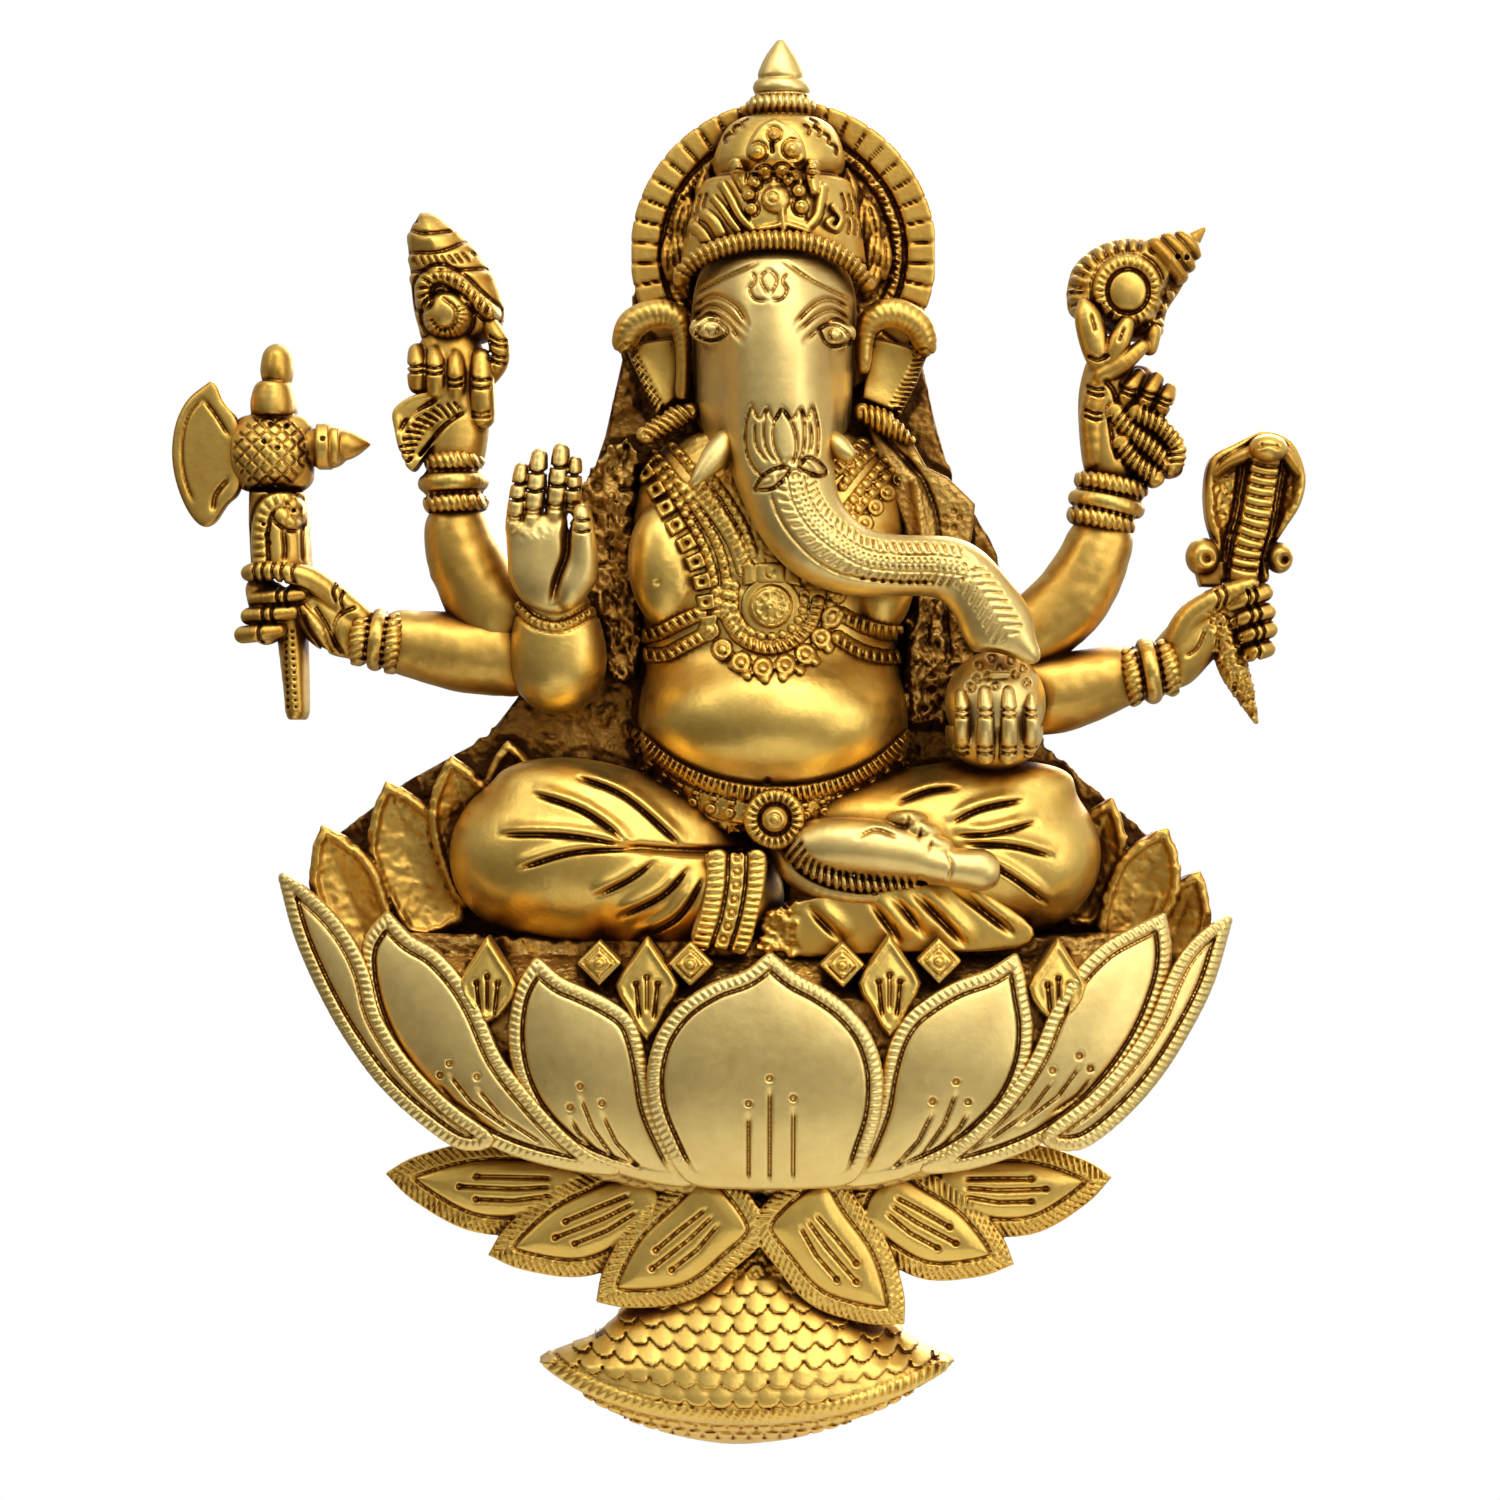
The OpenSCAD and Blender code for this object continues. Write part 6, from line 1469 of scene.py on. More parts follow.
def makeShellHand():
    c = Clay(63, 92, -36, 9, 3, 24, 0.33)
    c.limb([(74, -29, 12, 5.6, 6.4), (73.2, -22, 12, 5.6, 6), (73, -14, 12.2, 5.6, 5.8),
            (73.6, -7, 12.4, 4.6, 5.4)], 0.8)
    c.limb([(80, -21, 11, 5.6, 5.4), (81.6, -27, 11, 5.2, 5.4), (80, -12.4, 11, 5.4, 5)], 1.2)
    c.limb([(70.6, -28, 14, 2.6, 4), (69.9, -18, 14.6, 2.6, 4), (71.6, -10.4, 15, 2.6, 4)], 0.4)
    c.limb([(72.6, -8.4, 16, 2.6, 3.2), (70.6, -3.4, 17.4, 3.1, 3.2), (69, 2.6, 17.6, 2.9, 3),
            (68, 6.2, 17, 1.2, 1.8)], 0.3)
    c.limb([(73.8, -6.2, 17.4, 2.4, 3), (75.8, -2, 18.2, 2.4, 3), (77.4, 1.6, 18, 1.6, 2.2)], 0.3)
    c.limb([(72, -9.6, 17, 2.2, 3), (76.4, -7, 17.8, 2.1, 3), (80.6, -3.4, 17.4, 1.6, 2.4)], 0.3)
    c.limb([(82.4, -3.4, 15, 1.8, 2.6), (83.4, 0.2, 15, 1.6, 2.6)], 0.4)
    for x0, z0, x1, z1 in ((80, -9.4, 76.2, -15.6), (84, -10.2, 80.6, -16.6), (86.8, -12.6, 84.6, -17.2)):
        c.limb([(x0, z0, 15, 1.6, 2.8), ((x0 + x1) / 2, (z0 + z1) / 2, 17, 1.9, 3), (x1, z1, 16, 1.8, 2.8)],
               0.15)
    cuts = sum(knuckles(c, x, z, 0.35, 1.7, 1.1) for x, z in ((77.6, -12.4), (81.8, -13.2), (85.4, -14.6)))
    cuts = ((cuts + groove(c, [(69.4, 3.6), (70.4, -0.4)], 0.35, 0.7, 0.5) + groove(c,
            [(76.6, 0.4), (75.4, -2.6)], 0.35, 0.7, 0.5) + groove(c,
                    curve([(69, -5.4), (71, -6.4), (73.4, -5.2)]), 0.5, 0.9, 0)
             + groove(c, curve([(72.4, -10.4), (74.6, -13), (75.6, -17)]), 0.55, 1.0, 1)
             + groove(c, curve([(73.4, -15.8), (74, -22), (75.4, -28)]), 0.5, 1.0, 1)
             + knuckles(c, 70.6, -12.2, 0.2) + knuckles(c, 70.2, -17.4, 0.2)))
    c.raiseBy(cuts, fromDepth=10)
    for path in ([(74.8, -17.6), (77.9, -21.4), (82.8, -25.4), (87.0, -29.6)],
                 [(79.4, -17.8), (84.6, -20.6), (88.2, -25), (87.8, -29.4)], [(76.2, -24.4), (79.4, -28.6),
                         (83.6, -31.6)]):
        line = curve(path)
        s, t, side = follow(c, line, 4)
        c.relief(s - 2.15, 17.2 + dome(s, 2.2, 2.2), 8, blend=0.1, corner=0.3)
        c.raiseBy(-0.7 * (s < 2.3) * (wave(t + 0.25 * side, 1.5)) ** 2, 12)
    finishHand(c, "hand_shell")
    c = Clay(62, 97, -2, 24, 3, 23, 0.33)
    body = smooth([(64.8, 9), (66, 14), (69, 17.4), (73, 19.8), (78, 20.9), (83.4, 20.6), (87.4, 21),
                   (91.4, 14.6), (89.6, 9.6), (86.6, 4.8), (85, -1), (78, -1.4), (70, 2), (65.6, 4.4),
                   (64.8, 9)], 4)
    edge = inside(c, body, 9)
    c.relief(edge, 11 + 6.6 * np.sqrt(np.clip(1 - (1 - np.clip(-edge / 7, 0, 1)) ** 2, 0, 1)), 5,
             corner=0.5)
    s, t, side = follow(c, body, 6)
    ridges = (wave(t - 0.15 * edge, 3.0))
    c.raiseBy(-1.5 * np.clip((4.2 + edge) / 1.2, 0, 1) * (1 - np.sqrt(ridges)) * (c.zs > 1), 8)
    away = np.hypot(c.xs - 77.6, (c.zs - 8.6) * 0.93)
    turn = np.arctan2(c.zs - 8.6, c.xs - 77.6)
    c.raiseBy(dome(away - 6.0, 1.5, 1.5) * (0.6 + 0.4 * np.sqrt(0.5 + 0.5 * np.cos(turn * 27)))
              - 0.7 * bell(away - 8, 0.4) + dome(away, 4.6, 1.9) - 0.7 * bell(away - 4.4, 0.35), 8)
    c.raiseBy(-6 * np.clip((c.xs - 0.4 * c.zs - 81.6) / 1.5, 0, 1) * (c.zs > 9), 8)
    c.limb([(84, 18.6, 12, 2.4, 5.4), (86.6, 15.6, 12.6, 2.6, 6), (89, 12.6, 12, 2.2, 5)], 0.1)
    c.limb([(86.6, 20, 12, 2.0, 4.6), (89, 17.4, 12.4, 2.5, 5.2), (91, 14.8, 12, 1.8, 4.2)], 0.1)
    c.limb([(89.4, 20.8, 12, 1.6, 3.6), (91.2, 19, 12.2, 2.1, 4.2), (92.6, 17.2, 12, 1.4, 3.2)], 0.1)
    c.limb([(91.8, 20, 12, 1.9, 3), (93, 21.2, 12, 1.3, 2), (94.5, 22.6, 12, 0.5, 0.8)], 0.1)
    c.raiseBy(dots(c, [(88.4, 16.2), (90.4, 16.0)], 0.6, -0.8), 10)
    c.flatBack(5)
    finishClay(c, "ridged_shell")


def makeAxe():
    c = Clay(-118, -86, -85.5, -2, 3, 23, 0.34)
    x0 = -107.2
    c.limb([(x0 + 0.1, -5.8, 12, 3.4, 5), (x0, -8, 12, 3.6, 5.4), (x0, -9.4, 12, 3.4, 5)], 0.15)
    edge, front = barrel(c, [(x0 - 0.8, -10.6, 12, 3.2, 5), (x0 - 0.8, -11.6, 12, 4.2, 6),
                             (x0 - 0.9, -14.4, 12, 4.9, 6.6), (x0 - 0.9, -17.2, 12, 4.9, 6.6),
                             (x0 - 0.9, -18.2, 12, 4.4, 6)], 2)
    c.relief(edge, front, 5, corner=0.5, blend=0.15)
    c.blob(x0 - 1.1, -26, 11.5, 9.3, 9.0, 9.4)
    c.relief(np.hypot(np.clip((np.abs(c.xs + 108.3) - 5), 0, 99), np.clip(np.abs(c.zs + 26.2) - 4.4, 0,
            99)) - 3.8, 19.4 - 0.05 * (c.xs + 108.3) ** 2 - 0.06 * (c.zs + 26.2) ** 2, 5, blend=0.8,
             corner=0.8)
    edge, front = barrel(c, [(-107.4, -34.4, 12, 6.0, 7), (-107, -42, 12, 6.5, 7.2),
                             (-106.4, -52, 12, 6.6, 7.2)], 2)
    c.relief(edge, front, 5, corner=0.8, blend=0.2)
    edge, front = barrel(c, [(-104.6, -60, 12, 3.5, 5.4), (-103.9, -68, 12, 3.2, 5.2),
                             (-103.2, -78, 12, 2.7, 4.6), (-103, -82.6, 12, 2.5, 4),
                             (-103, -84.2, 12, 1.8, 3)], 2)
    c.relief(edge, front, 5, corner=0.8, blend=0.2)
    for a, b, w in ((-99.8, -98.4, 4.0), (-97.0, -95.8, 4.6)):
        c.limb([(a, -25, 12, w, w + 1), (b, -25, 12, w, w + 1)], 0.15)
    for x, w in ((-97, 4.8), (-94.9, 3.9)):
        c.relief(np.maximum(np.abs(c.xs - x) - 1.5, np.abs(c.zs + 24.8) - w), 17
                 + 0.16 * (w ** 2 - (c.zs + 24.8) ** 2) * 0.8, 6, blend=0.1, corner=0.7)
    c.limb([(-93, -24.5, 12, 3.5, 4.6), (-91, -24.4, 12, 2.7, 3.6), (-88.8, -24.3, 12, 1.4, 2),
            (-87.2, -24.3, 12, 0.4, 0.6)], 0.15)
    # crossed cuts on the ball, the curled beast on the shaft and the dotted tail
    inBall = np.clip((8.4 - np.hypot(c.xs + 108.3, c.zs + 26.2)) / 0.8, 0, 1)
    cross = np.maximum(bell((c.xs + c.zs) % 3.3 - 1.65, 0.34), bell((c.xs - c.zs) % 3.3 - 1.65, 0.34))
    cuts = (-0.6 * cross * inBall - 0.9 * bell(c.zs + 34.6 - 0.02 * (c.xs + 107) ** 2, 0.45)
            * (np.abs(c.xs + 107) < 7))
    cuts += dots(c, [(-108.2, -20.2), (-104.8, -20.6), (-109.4, -24), (-106.6, -25.4), (-96.8, -23.4)], 0.6,
                 -0.9)
    curl = smooth([(-110.6, -50), (-110.8, -44), (-109.4, -38.6), (-105.6, -36.6), (-102.6, -38.4),
                   (-103.4, -41.2), (-105.6, -40)], 5)
    s, t, side = follow(c, curl, 4)
    cuts += dome(s, 1.9, 1.2) * (0.6 + 0.4 * np.sqrt(wave(t, 1.9))) - 0.7 * bell(s - 2.1, 0.4)
    cuts += dots(c, [(-109.6, -42), (-109, -44.2), (-108.4, -46), (-104.6, -37.4), (-103.2, -39)], 0.5, -0.8)
    cuts += (groove(c, curve([(-105.4, -43), (-105, -47), (-105.2, -50)]), 0.6, 1.1, 1)
             + groove(c, curve([(-101.8, -38), (-101.6, -45), (-101.4, -50)]), 0.4, 0.7, 1))
    cuts += sum(dots(c, [(-104.4 + 0.06 * k + dx, -65 - 1.5 * k) for k in range(12)], 0.42, -0.7)
                for dx in (-0.7, 0.8))
    c.raiseBy(cuts, fromDepth=10)
    c.flatBack(5)
    finishClay(c, "axe_haft")
    b = Clay(-132, -113, -43, -9, 5, 19, 0.36)
    outline = smooth([(-121.7, -10.6), (-126.4, -14.2), (-129.2, -19.2), (-130.2, -25.6), (-129.4, -32),
                      (-127, -38.2), (-123.8, -42), (-120.8, -41.4), (-118, -37.4), (-115.2, -34.2),
                      (-114.6, -26), (-115.4, -19.4), (-118.6, -15.2), (-120.2, -11.6), (-121.7, -10.6)], 4)
    edge = inside(b, outline, 9)
    b.relief(edge, 12.2 + 2.6 * np.clip((b.xs + 130) / 12, 0, 1.1) - 0.3 * bell(edge, 1.1), 8.6, corner=0.8)
    b.raiseBy(groove(b, curve([(-123.4, -14.4), (-126.4, -18), (-127.8, -24), (-127.4, -31),
                               (-125.4, -37)]), 0.4, 0.6, 2) + groove(b,
                                       curve([(-123, -14.6), (-120, -18.6), (-117.4, -22.8)]), 0.45, 0.8,
                                               2) + groove(b,
                                                       curve([(-121, -38.8), (-120.4, -35.4),
                                                               (-117.6, -31.8)]), 0.6, 1.0, 1), 9)
    finishClay(b, "axe_blade")
    h = Clay(-117, -85, -74, -48.5, 3, 25, 0.33)
    h.limb([(-89.6, -65.4, 12, 5.6, 6.6), (-94, -63.4, 12.6, 6.4, 6.2), (-98, -60.4, 13, 6.0, 5.6),
            (-101.4, -58.6, 13, 4.8, 4.8)], 0.8)
    h.limb([(-89.2, -62, 15, 3, 4), (-94.4, -57.6, 16.4, 2.8, 3.6), (-99.6, -53.8, 18.4, 2.5, 3),
            (-104.8, -52.4, 19.6, 2.2, 2.6), (-110, -52, 18.6, 2.1, 2.6), (-113, -52.4, 16, 1.8, 2.4)], 0.4)
    for x1, x0b, z, w in ((-111.6, -101.6, -57.6, 1.9), (-113, -103.4, -61.4, 1.9),
                          (-114.4, -106.4, -65.4, 1.9)):
        h.limb([(x1, z - 0.4, 15.4, w, 2.8), ((x1 + x0b) / 2, z, 18, w, 3), (x0b, z + 0.6, 17.4, w * 0.9,
                2.8)], 0.15)
    h.limb([(-110.6, -56, 13, 3.4, 4.4), (-107.6, -61, 13.4, 5.0, 5), (-109.6, -65.4, 13, 2.6, 4)], 0.6)
    h.limb([(-101.2, -60, 17.6, 1.1, 2), (-98.2, -64.6, 17.8, 1.9, 2.2), (-95.4, -69.4, 15.4, 0.7, 1.4)], 0.15)
    cuts = sum(groove(h, curve([(x + 0.3, z + 2), (x - 0.3, z), (x + 0.3, z - 2)]), 0.33, 0.7, 0) for x,
               z in ((-103, -52.6), (-105.4, -52.4), (-107.4, -52.2), (-109.6, -52.2), (-111.4, -52.2),
                     (-106.4, -57.6), (-104.6, -57.8), (-109.6, -61.4), (-107.6, -61.4), (-110.4, -65.4),
                     (-94.2, -56.8), (-92.6, -58.4)))
    cuts = (cuts + groove(h, curve([(-101, -61.4), (-99.4, -65), (-96, -70)]), 0.45, 0.9, 0.5)
            + groove(h, curve([(-98.6, -59.6), (-96, -63.6), (-93.8, -68.6)]), 0.45, 0.9, 0.5))
    cuts = (cuts + groove(h, curve([(-89.4, -59.8), (-93.4, -61.8), (-94.4, -66), (-92.6, -70)]), 0.5, 0.7, 1))
    h.raiseBy(cuts, fromDepth=10)
    finishHand(h, "hand_axe")


def makeCobra():
    c = Clay(90, 119, -56, -19.5, 3, 23, 0.33)
    hood = smooth([(106.8, -21.4), (101, -24.2), (96, -27.2), (94.5, -33.6), (94.9, -40.4), (96.2, -45),
                   (97, -50), (98, -54), (104, -54.8), (108.4, -54), (108.4, -49), (111.6, -43.4),
                   (115.4, -37.4), (116.5, -31), (114.2, -24.6), (110.6, -22), (106.8, -21.4)], 4)
    edge = inside(c, hood, 8)
    spread = np.clip(-edge / 4, 0, 1)
    c.relief(edge, 13.4 + 1.4 * bell(edge + 1.2, 1.2) - 0.6 * spread, 6, corner=0.6)
    c.raiseBy(0.35 * grit(c, 1.1, 61) * spread, 9)
    column = curve([(107.6, -28), (106.6, -34), (105.4, -41), (103.8, -47), (102.8, -53)])
    s, t, side = follow(c, column, 6)
    plates = wave(t + 0.04 * side ** 2, 2.3)
    c.relief(s - 3.7, 16.6 + 1.2 * (1 - (s / 4.2) ** 2), 8, blend=0.3, corner=0.5)
    c.raiseBy(-1.0 * (s < 2.9) * (1 - np.sqrt(plates)) - 0.8 * bell(s - 3.3, 0.4)
              - 1.2 * bell(s - 4.7, 0.7) * (c.zs > -50), 9)
    c.blob(108.1, -25.4, 16, 4.2, 3.2, 5.0)
    c.limb([(104, -26.4, 14.4, 1.6, 2.4), (99.6, -28.4, 13.6, 1.2, 2), (96.4, -31, 12.4, 1.0, 1.8)], 0.5)
    c.limb([(112, -26.4, 14.4, 1.6, 2.4), (114.6, -30, 13, 1.2, 2)], 0.5)
    c.raiseBy(groove(c, curve([(105.4, -25.6), (108, -25.0), (110.8, -25.8)]), 0.3, 0.5, 1)
              + dots(c, [(106.4, -24.8), (109.8, -24.9)], 0.45, -0.5), 12)
    for x, z, r in ((94.2, -48.8, 3.8), (110.8, -49, 3.0)):
        c.blob(x, z, 12.5, r, r + 0.4, 5.5, blend=0.5)
        c.raiseBy(-2.2 * bell(np.hypot(c.xs - x - 0.6, c.zs - z + 0.4), 1.1), 12)
    c.relief(inside(c, [(91.4, -47), (94, -45.4), (98, -50), (98.4, -55.4), (93.6, -55.2)], 4), 14.4, 6,
             blend=0.6, corner=0.6)
    c.flatBack(5)
    finishClay(c, "cobra")
    h = Clay(85, 112, -86, -51.5, 3, 25, 0.33)
    h.limb([(88, -71.6, 12, 5.8, 6.6), (91.4, -67.6, 12.6, 5.8, 6.2), (95.4, -64, 13, 5.6, 5.6),
            (99.6, -61.6, 13, 5.0, 5.2)], 0.8)
    h.limb([(88.6, -67, 15, 3.4, 4), (91.4, -61.8, 16.6, 2.9, 3.6), (97.2, -57.8, 18.4, 2.4, 3),
            (104.4, -54.8, 18.8, 1.5, 2.2)], 0.4)
    for x0, z0, x1, z1, w in ((99.6, -59.6, 107.2, -56.6, 2.0), (100.8, -62.8, 107.8, -60.8, 2.0),
                              (102.6, -66.4, 108.2, -64.6, 2.0), (103.8, -70, 107.8, -68.8, 1.9)):
        h.limb([(x0, z0, 16.4, w * 0.9, 2.8), ((x0 + x1) / 2, (z0 + z1) / 2, 18, w, 3),
                (x1, z1, 16.4, w, 2.8)], 0.15)
    h.limb([(103.6, -58.6, 13, 3.6, 4.4), (104.8, -63.4, 13.4, 3.8, 4.8), (105.4, -68.4, 13, 2.6, 4)], 0.6)
    cuts = sum(groove(h, curve([(x - 0.4, z + 2), (x + 0.4, z), (x - 0.2, z - 2)]), 0.33, 0.7, 0) for x,
               z in ((103.4, -57.8), (105, -57.4), (104, -61.8), (105.8, -61.4), (105, -65.6),
                     (106.6, -65.2), (105.6, -69.4), (98.4, -57.4), (96.8, -58.2)))
    cuts = (cuts + groove(h, curve([(94.4, -64.6), (92.6, -68.6), (90, -70.6)]), 0.5, 0.8, 1)
            + groove(h, curve([(98.8, -61), (97.6, -66), (97.8, -72)]), 0.6, 1.1, 1))
    h.raiseBy(cuts, fromDepth=10)
    tail = [(97.8, -60.6, 15.6, 1.7, 3), (98.8, -67, 15, 3.0, 3.6), (100.8, -73, 14, 3.3, 3.6),
            (103.2, -78.4, 13, 2.2, 3), (105.8, -84.6, 12, 0.6, 1)]
    h.limb(tail, 0.2)
    s, t, side = follow(h, curve([(p[0], p[1]) for p in tail]), 5)
    h.raiseBy(0.45 * grit(h, 0.9, 62) * (s < 3) * (h.zs < -61), 12)
    finishHand(h, "hand_cobra")


def makeFrontHands():
    c = Clay(-58, -33, -84.5, -56, 3, 31, 0.42)
    c.limb([(-46.8, -60, 22, 7.0, 6), (-46, -66, 19.5, 9.4, 8.4), (-45.9, -72, 17, 10.2, 10.6),
            (-45.6, -74, 16, 8.6, 9)], 1.0)
    s, t, side = follow(c, curve([(-54.6, -59.6), (-50.4, -63.2), (-44.6, -64), (-38.4, -60.8)]), 4)
    c.raiseBy(1.0 * dome(s, 1.0, 1) * (0.6 + 0.4 * np.cos(2 * math.pi * t / 1.5))
              - 0.5 * bell(s - 1.4, 0.35), 16)
    c.flatBack(5)
    finishClay(c, "blessing_forearm")
    c = Clay(-59, -36, -63, -22.5, 19, 39, 0.33)
    edge = inside(c, smooth([(-57, -42.4), (-56.6, -48), (-56.2, -53.6), (-53.8, -58.2), (-49.6, -61.2),
                             (-44.6, -61.8), (-40.2, -58.4), (-38, -53), (-38.2, -48), (-40.6, -43.6),
                             (-42.4, -39.4), (-48, -39.4), (-54, -40.4), (-57, -42.4)], 4), 9)
    c.relief(edge, 27.4 + 4.6 * np.sqrt(np.clip(1 - (1 - np.clip(-edge / 7, 0, 1)) ** 2, 0, 1)), 22,
             corner=1.2)
    for tip, root, w in (((-53.4, -30.6), (-55, -43), 1.95), ((-49.6, -27.8), (-51.2, -42), 2.2),
                         ((-44.9, -26.6), (-46.2, -41), 2.2), ((-41.9, -29), (-42.6, -40), 1.75)):
        middle = ((tip[0] + root[0]) / 2, (tip[1] + root[1]) / 2)
        c.limb([(root[0], root[1], 28, w, 3.4), (middle[0], middle[1], 28.2, w, 3.2),
                (tip[0], tip[1], 27.4, w * 0.85, 2.8)], 0.35)
        for share in (0.22, 0.5, 0.8):
            x, z = tip[0] + (root[0] - tip[0]) * share, tip[1] + (root[1] - tip[1]) * share
            c.raiseBy(knuckles(c, x, z, 0, w * 0.85, 0.8 if share == 0.8 else 0.01) * 0.7, 24)
    c.limb([(-40.8, -53.6, 30.5, 3.6, 4), (-40.2, -48, 32, 2.9, 3.6), (-40.2, -43.2, 33, 2.2, 3),
            (-40.4, -39.8, 33, 1.8, 2.4)], 0.9)
    c.blob(-42, -54.4, 30.6, 3.8, 6.4, 4.6, turn=-16, blend=1.0)
    c.raiseBy(-2.6
              * bell(follow(c, curve([(-43.2, -40.6), (-43.6, -45), (-43.8, -49), (-45.6, -54),
                                      (-46.8, -59)]), 4)[0], 0.8) * np.clip((c.zs + 60) / 5, 0, 1), 22)
    c.raiseBy(knuckles(c, -40.3, -41.4, 0, 1.7, 2.4) + 0.2 * grit(c, 0.7, 63)
              * np.clip(1 - np.hypot((c.xs + 50) / 5, (c.zs + 44.4) / 2.4), 0, 1), 22)
    finishClay(c, "blessing_hand", satin)
    c = Clay(37, 61, -92, -67.5, 12, 38, 0.36)
    c.blob(48.6, -80.6, 24.4, 10.9, 11.2, 11.6)
    rings = [(47.6, -71.2), (49.2, -73.4), (52.4, -74.6), (46.6, -75), (44.4, -75.4), (43, -77.4),
             (55, -76.4), (51.6, -71.6), (54.2, -73.4), (48, -77), (45, -72.6)]
    out = np.zeros_like(c.xs)
    for x, z in rings:
        out -= 0.6 * bell(np.hypot(c.xs - x, c.zs - z) - 0.75, 0.28)
    c.raiseBy(out, 20)
    finishClay(c, "sweet", satin)
    c = Clay(36, 61, -97, -74, 12, 41, 0.36)
    c.blob(48.4, -86.4, 24, 10.6, 8.8, 10.8)
    c.f = np.maximum(c.f, np.broadcast_to((c.zs + 85.5)[:, None, :] * 0.8, c.f.shape)).astype(np.float32)
    for x, lean, w, z0, z1 in ((41.2, -0.3, 1.75, -79, -90.2), (46.1, 0, 1.8, -78.4, -92),
                               (51.1, 0.1, 1.8, -78.4, -92), (56, 0.4, 1.75, -79.8, -90.6)):
        bow = 36.2 - 0.05 * (x - 48.6) ** 2
        c.limb([(x - 0.2, z0, bow - 1.2, w * 0.85, 2.2), (x - lean * 0.3, (2 * z0 + z1) / 3, bow + 0.4, w,
                2.4), (x, (z0 + 2 * z1) / 3, bow - 0.4, w * 1.03, 2.4), (x + (48.6 - x) * 0.06, z1,
                        bow - 4.4, w * 1.1, 2.6)], 0.2)
        for z in (-82.2, -90):
            c.raiseBy(knuckles(c, x, z, 0, w * 0.85, 1.2), 24)
    c.limb([(47.6, -74.9, 35.2, 0.9, 1.2), (50.6, -74.7, 35.2, 0.9, 1.2)], 0.1)
    finishClay(c, "sweet_hand", satin)


makeArms()
makeConchHand()
makeShellHand()
makeAxe()
makeCobra()
makeFrontHands()
print("arms and hands done")


# Skins, floor, light and camera.

pieces = buildPieces()
print("skins made:", len(pieces))

middleX = (cadLow[0] + cadHigh[0]) / 2
middleZ = (cadLow[2] + cadHigh[2]) / 2


# place, size, power and colour of each softbox; places are in metres
lights = dict(
    key=((0.62, -1.15, 0.85), (1.2, 1.2), 8.4, (1, 0.985, 0.96)),
    side=((1.2, -0.7, 0.0), (0.6, 1.0), 3.0, (1, 0.99, 0.98)),
    edge=((-1.0, -0.5, 0.75), (0.3, 0.8), 1.6, (1, 0.99, 0.98)),
    top=((0.0, -0.45, 0.95), (0.9, 0.4), 4.2, (1, 1, 1)),
    low=((0.1, -0.9, -0.95), (1.0, 0.3), 0.9, (1, 1, 1)),
    back=((0.3, 0.9, 0.4), (0.8, 0.8), 8, (1, 1, 1)))


def softbox(name, place, size, power, colour):
    lamp = bpy.data.lights.new(name, "AREA")
    lamp.shape, lamp.size, lamp.size_y = "RECTANGLE", size[0], size[1]
    lamp.energy, lamp.color = power, colour
    o = bpy.data.objects.new(name, lamp)
    bpy.context.scene.collection.objects.link(o)
    o.location = place
    direction = Vector((middleX, -0.02, middleZ)) - Vector(place)
    o.rotation_euler = direction.to_track_quat("-Z", "Y").to_euler()


ground = dict(radius=0.2, below=0.05, colour=(0.7, 0.7, 0.69, 1), rough=0.7)


def makeFloor():
    bpy.ops.mesh.primitive_circle_add(vertices=96, radius=ground["radius"], fill_type="NGON",
                                      location=(middleX, 0, cadLow[2] - ground["below"]))
    floor = bpy.context.object
    floor.name = "floor"
    mat = bpy.data.materials.new("pale floor")
    mat.use_nodes = True
    shader = mat.node_tree.nodes["Principled BSDF"]
    shader.inputs["Base Color"].default_value = ground["colour"]
    shader.inputs["Roughness"].default_value = ground["rough"]
    floor.data.materials.append(mat)


makeFloor()

for lightName, light in lights.items():
    softbox(lightName, *light)


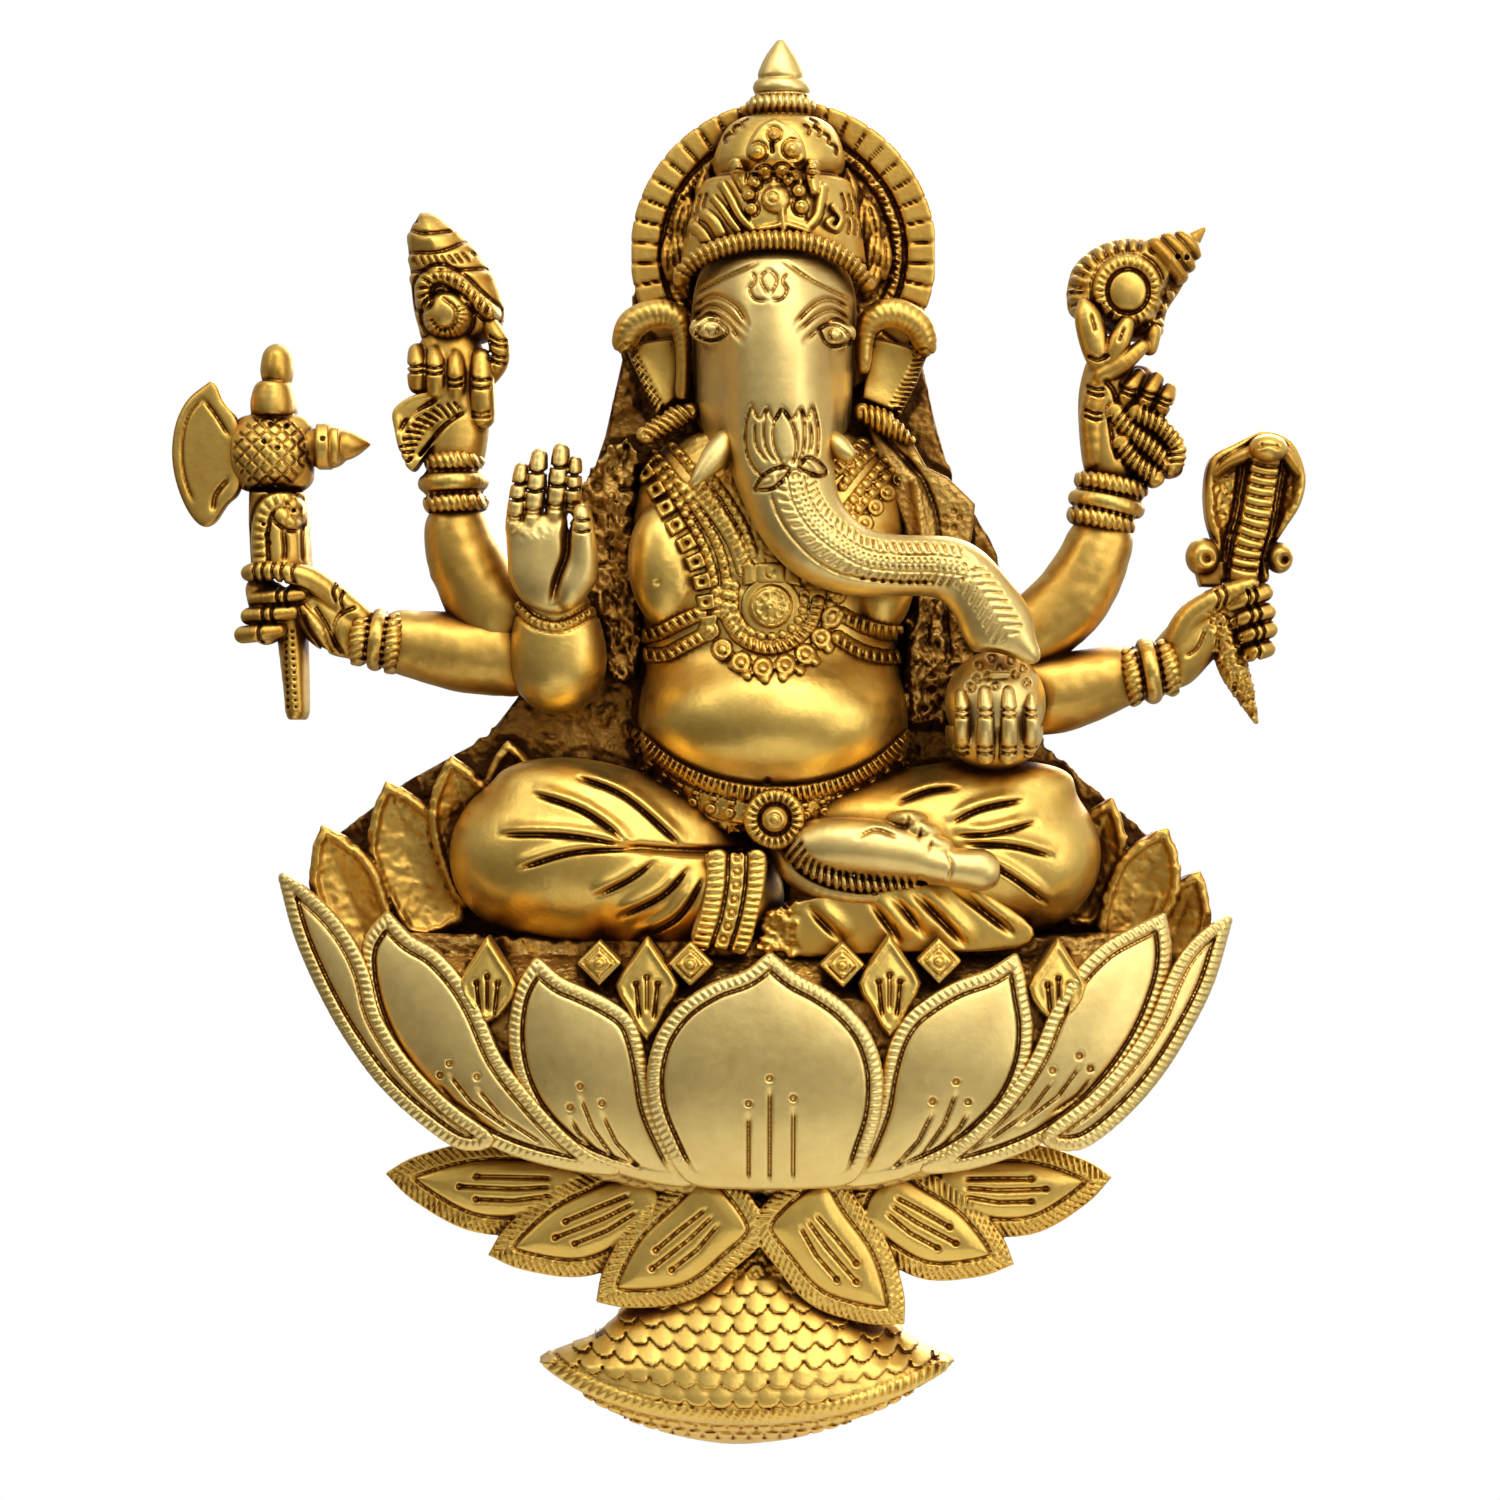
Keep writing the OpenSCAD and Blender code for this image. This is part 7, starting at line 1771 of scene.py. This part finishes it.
def makeWorld():
    world = bpy.data.worlds.new("studio")
    bpy.context.scene.world = world
    world.use_nodes = True
    nodes, links = world.node_tree.nodes, world.node_tree.links
    nodes.clear()
    out = nodes.new("ShaderNodeOutputWorld")
    mix = nodes.new("ShaderNodeMixShader")
    seen, around = nodes.new("ShaderNodeBackground"), nodes.new("ShaderNodeBackground")
    seen.inputs[0].default_value = (1, 1, 1, 1)
    seen.inputs[1].default_value = 1.0
    # what the metal mirrors: a pale room, darker towards the floor and to the left
    coord = nodes.new("ShaderNodeTexCoord")
    split = nodes.new("ShaderNodeSeparateXYZ")
    links.new(coord.outputs["Generated"], split.inputs[0])
    ramp = nodes.new("ShaderNodeValToRGB")
    stops = ramp.color_ramp.elements
    stops[0].position, stops[0].color = 0.25, (0.16, 0.14, 0.12, 1)
    stops[1].position, stops[1].color = 0.78, (0.78, 0.78, 0.78, 1)
    mid = stops.new(0.5)
    mid.color = (0.40, 0.39, 0.37, 1)
    lift = nodes.new("ShaderNodeMath")
    lift.operation = "MULTIPLY_ADD"
    lift.inputs[1].default_value = 0.36
    lift.inputs[2].default_value = 0.5
    links.new(split.outputs["Z"], lift.inputs[0])
    lean = nodes.new("ShaderNodeMath")
    lean.operation = "MULTIPLY_ADD"
    lean.inputs[1].default_value = 0.17
    links.new(split.outputs["X"], lean.inputs[0])
    links.new(lift.outputs[0], lean.inputs[2])
    links.new(lean.outputs[0], ramp.inputs[0])
    links.new(ramp.outputs[0], around.inputs[0])
    around.inputs[1].default_value = 1.02
    path = nodes.new("ShaderNodeLightPath")
    links.new(path.outputs["Is Camera Ray"], mix.inputs[0])
    links.new(around.outputs[0], mix.inputs[1])
    links.new(seen.outputs[0], mix.inputs[2])
    links.new(mix.outputs[0], out.inputs[0])


makeWorld()


view = dict(lens=150.0, sensor=36.0, frameWidth=0.3245, across=-0.0043, up=-0.0908)


def makeCamera():
    cam = bpy.data.cameras.new("camera")
    o = bpy.data.objects.new("camera", cam)
    bpy.context.scene.collection.objects.link(o)
    cam.sensor_width, cam.sensor_height, cam.sensor_fit = view["sensor"], view["sensor"], "HORIZONTAL"
    cam.lens = view["lens"]
    away = view["frameWidth"] * cam.lens / cam.sensor_width
    o.location = (view["across"], -away - 0.02, view["up"])
    o.rotation_euler = (math.radians(90), 0, 0)
    bpy.context.scene.camera = o


makeCamera()
bpy.context.scene.view_settings.view_transform = "Standard"
bpy.context.scene.view_settings.look = "None"
print("light and camera set")
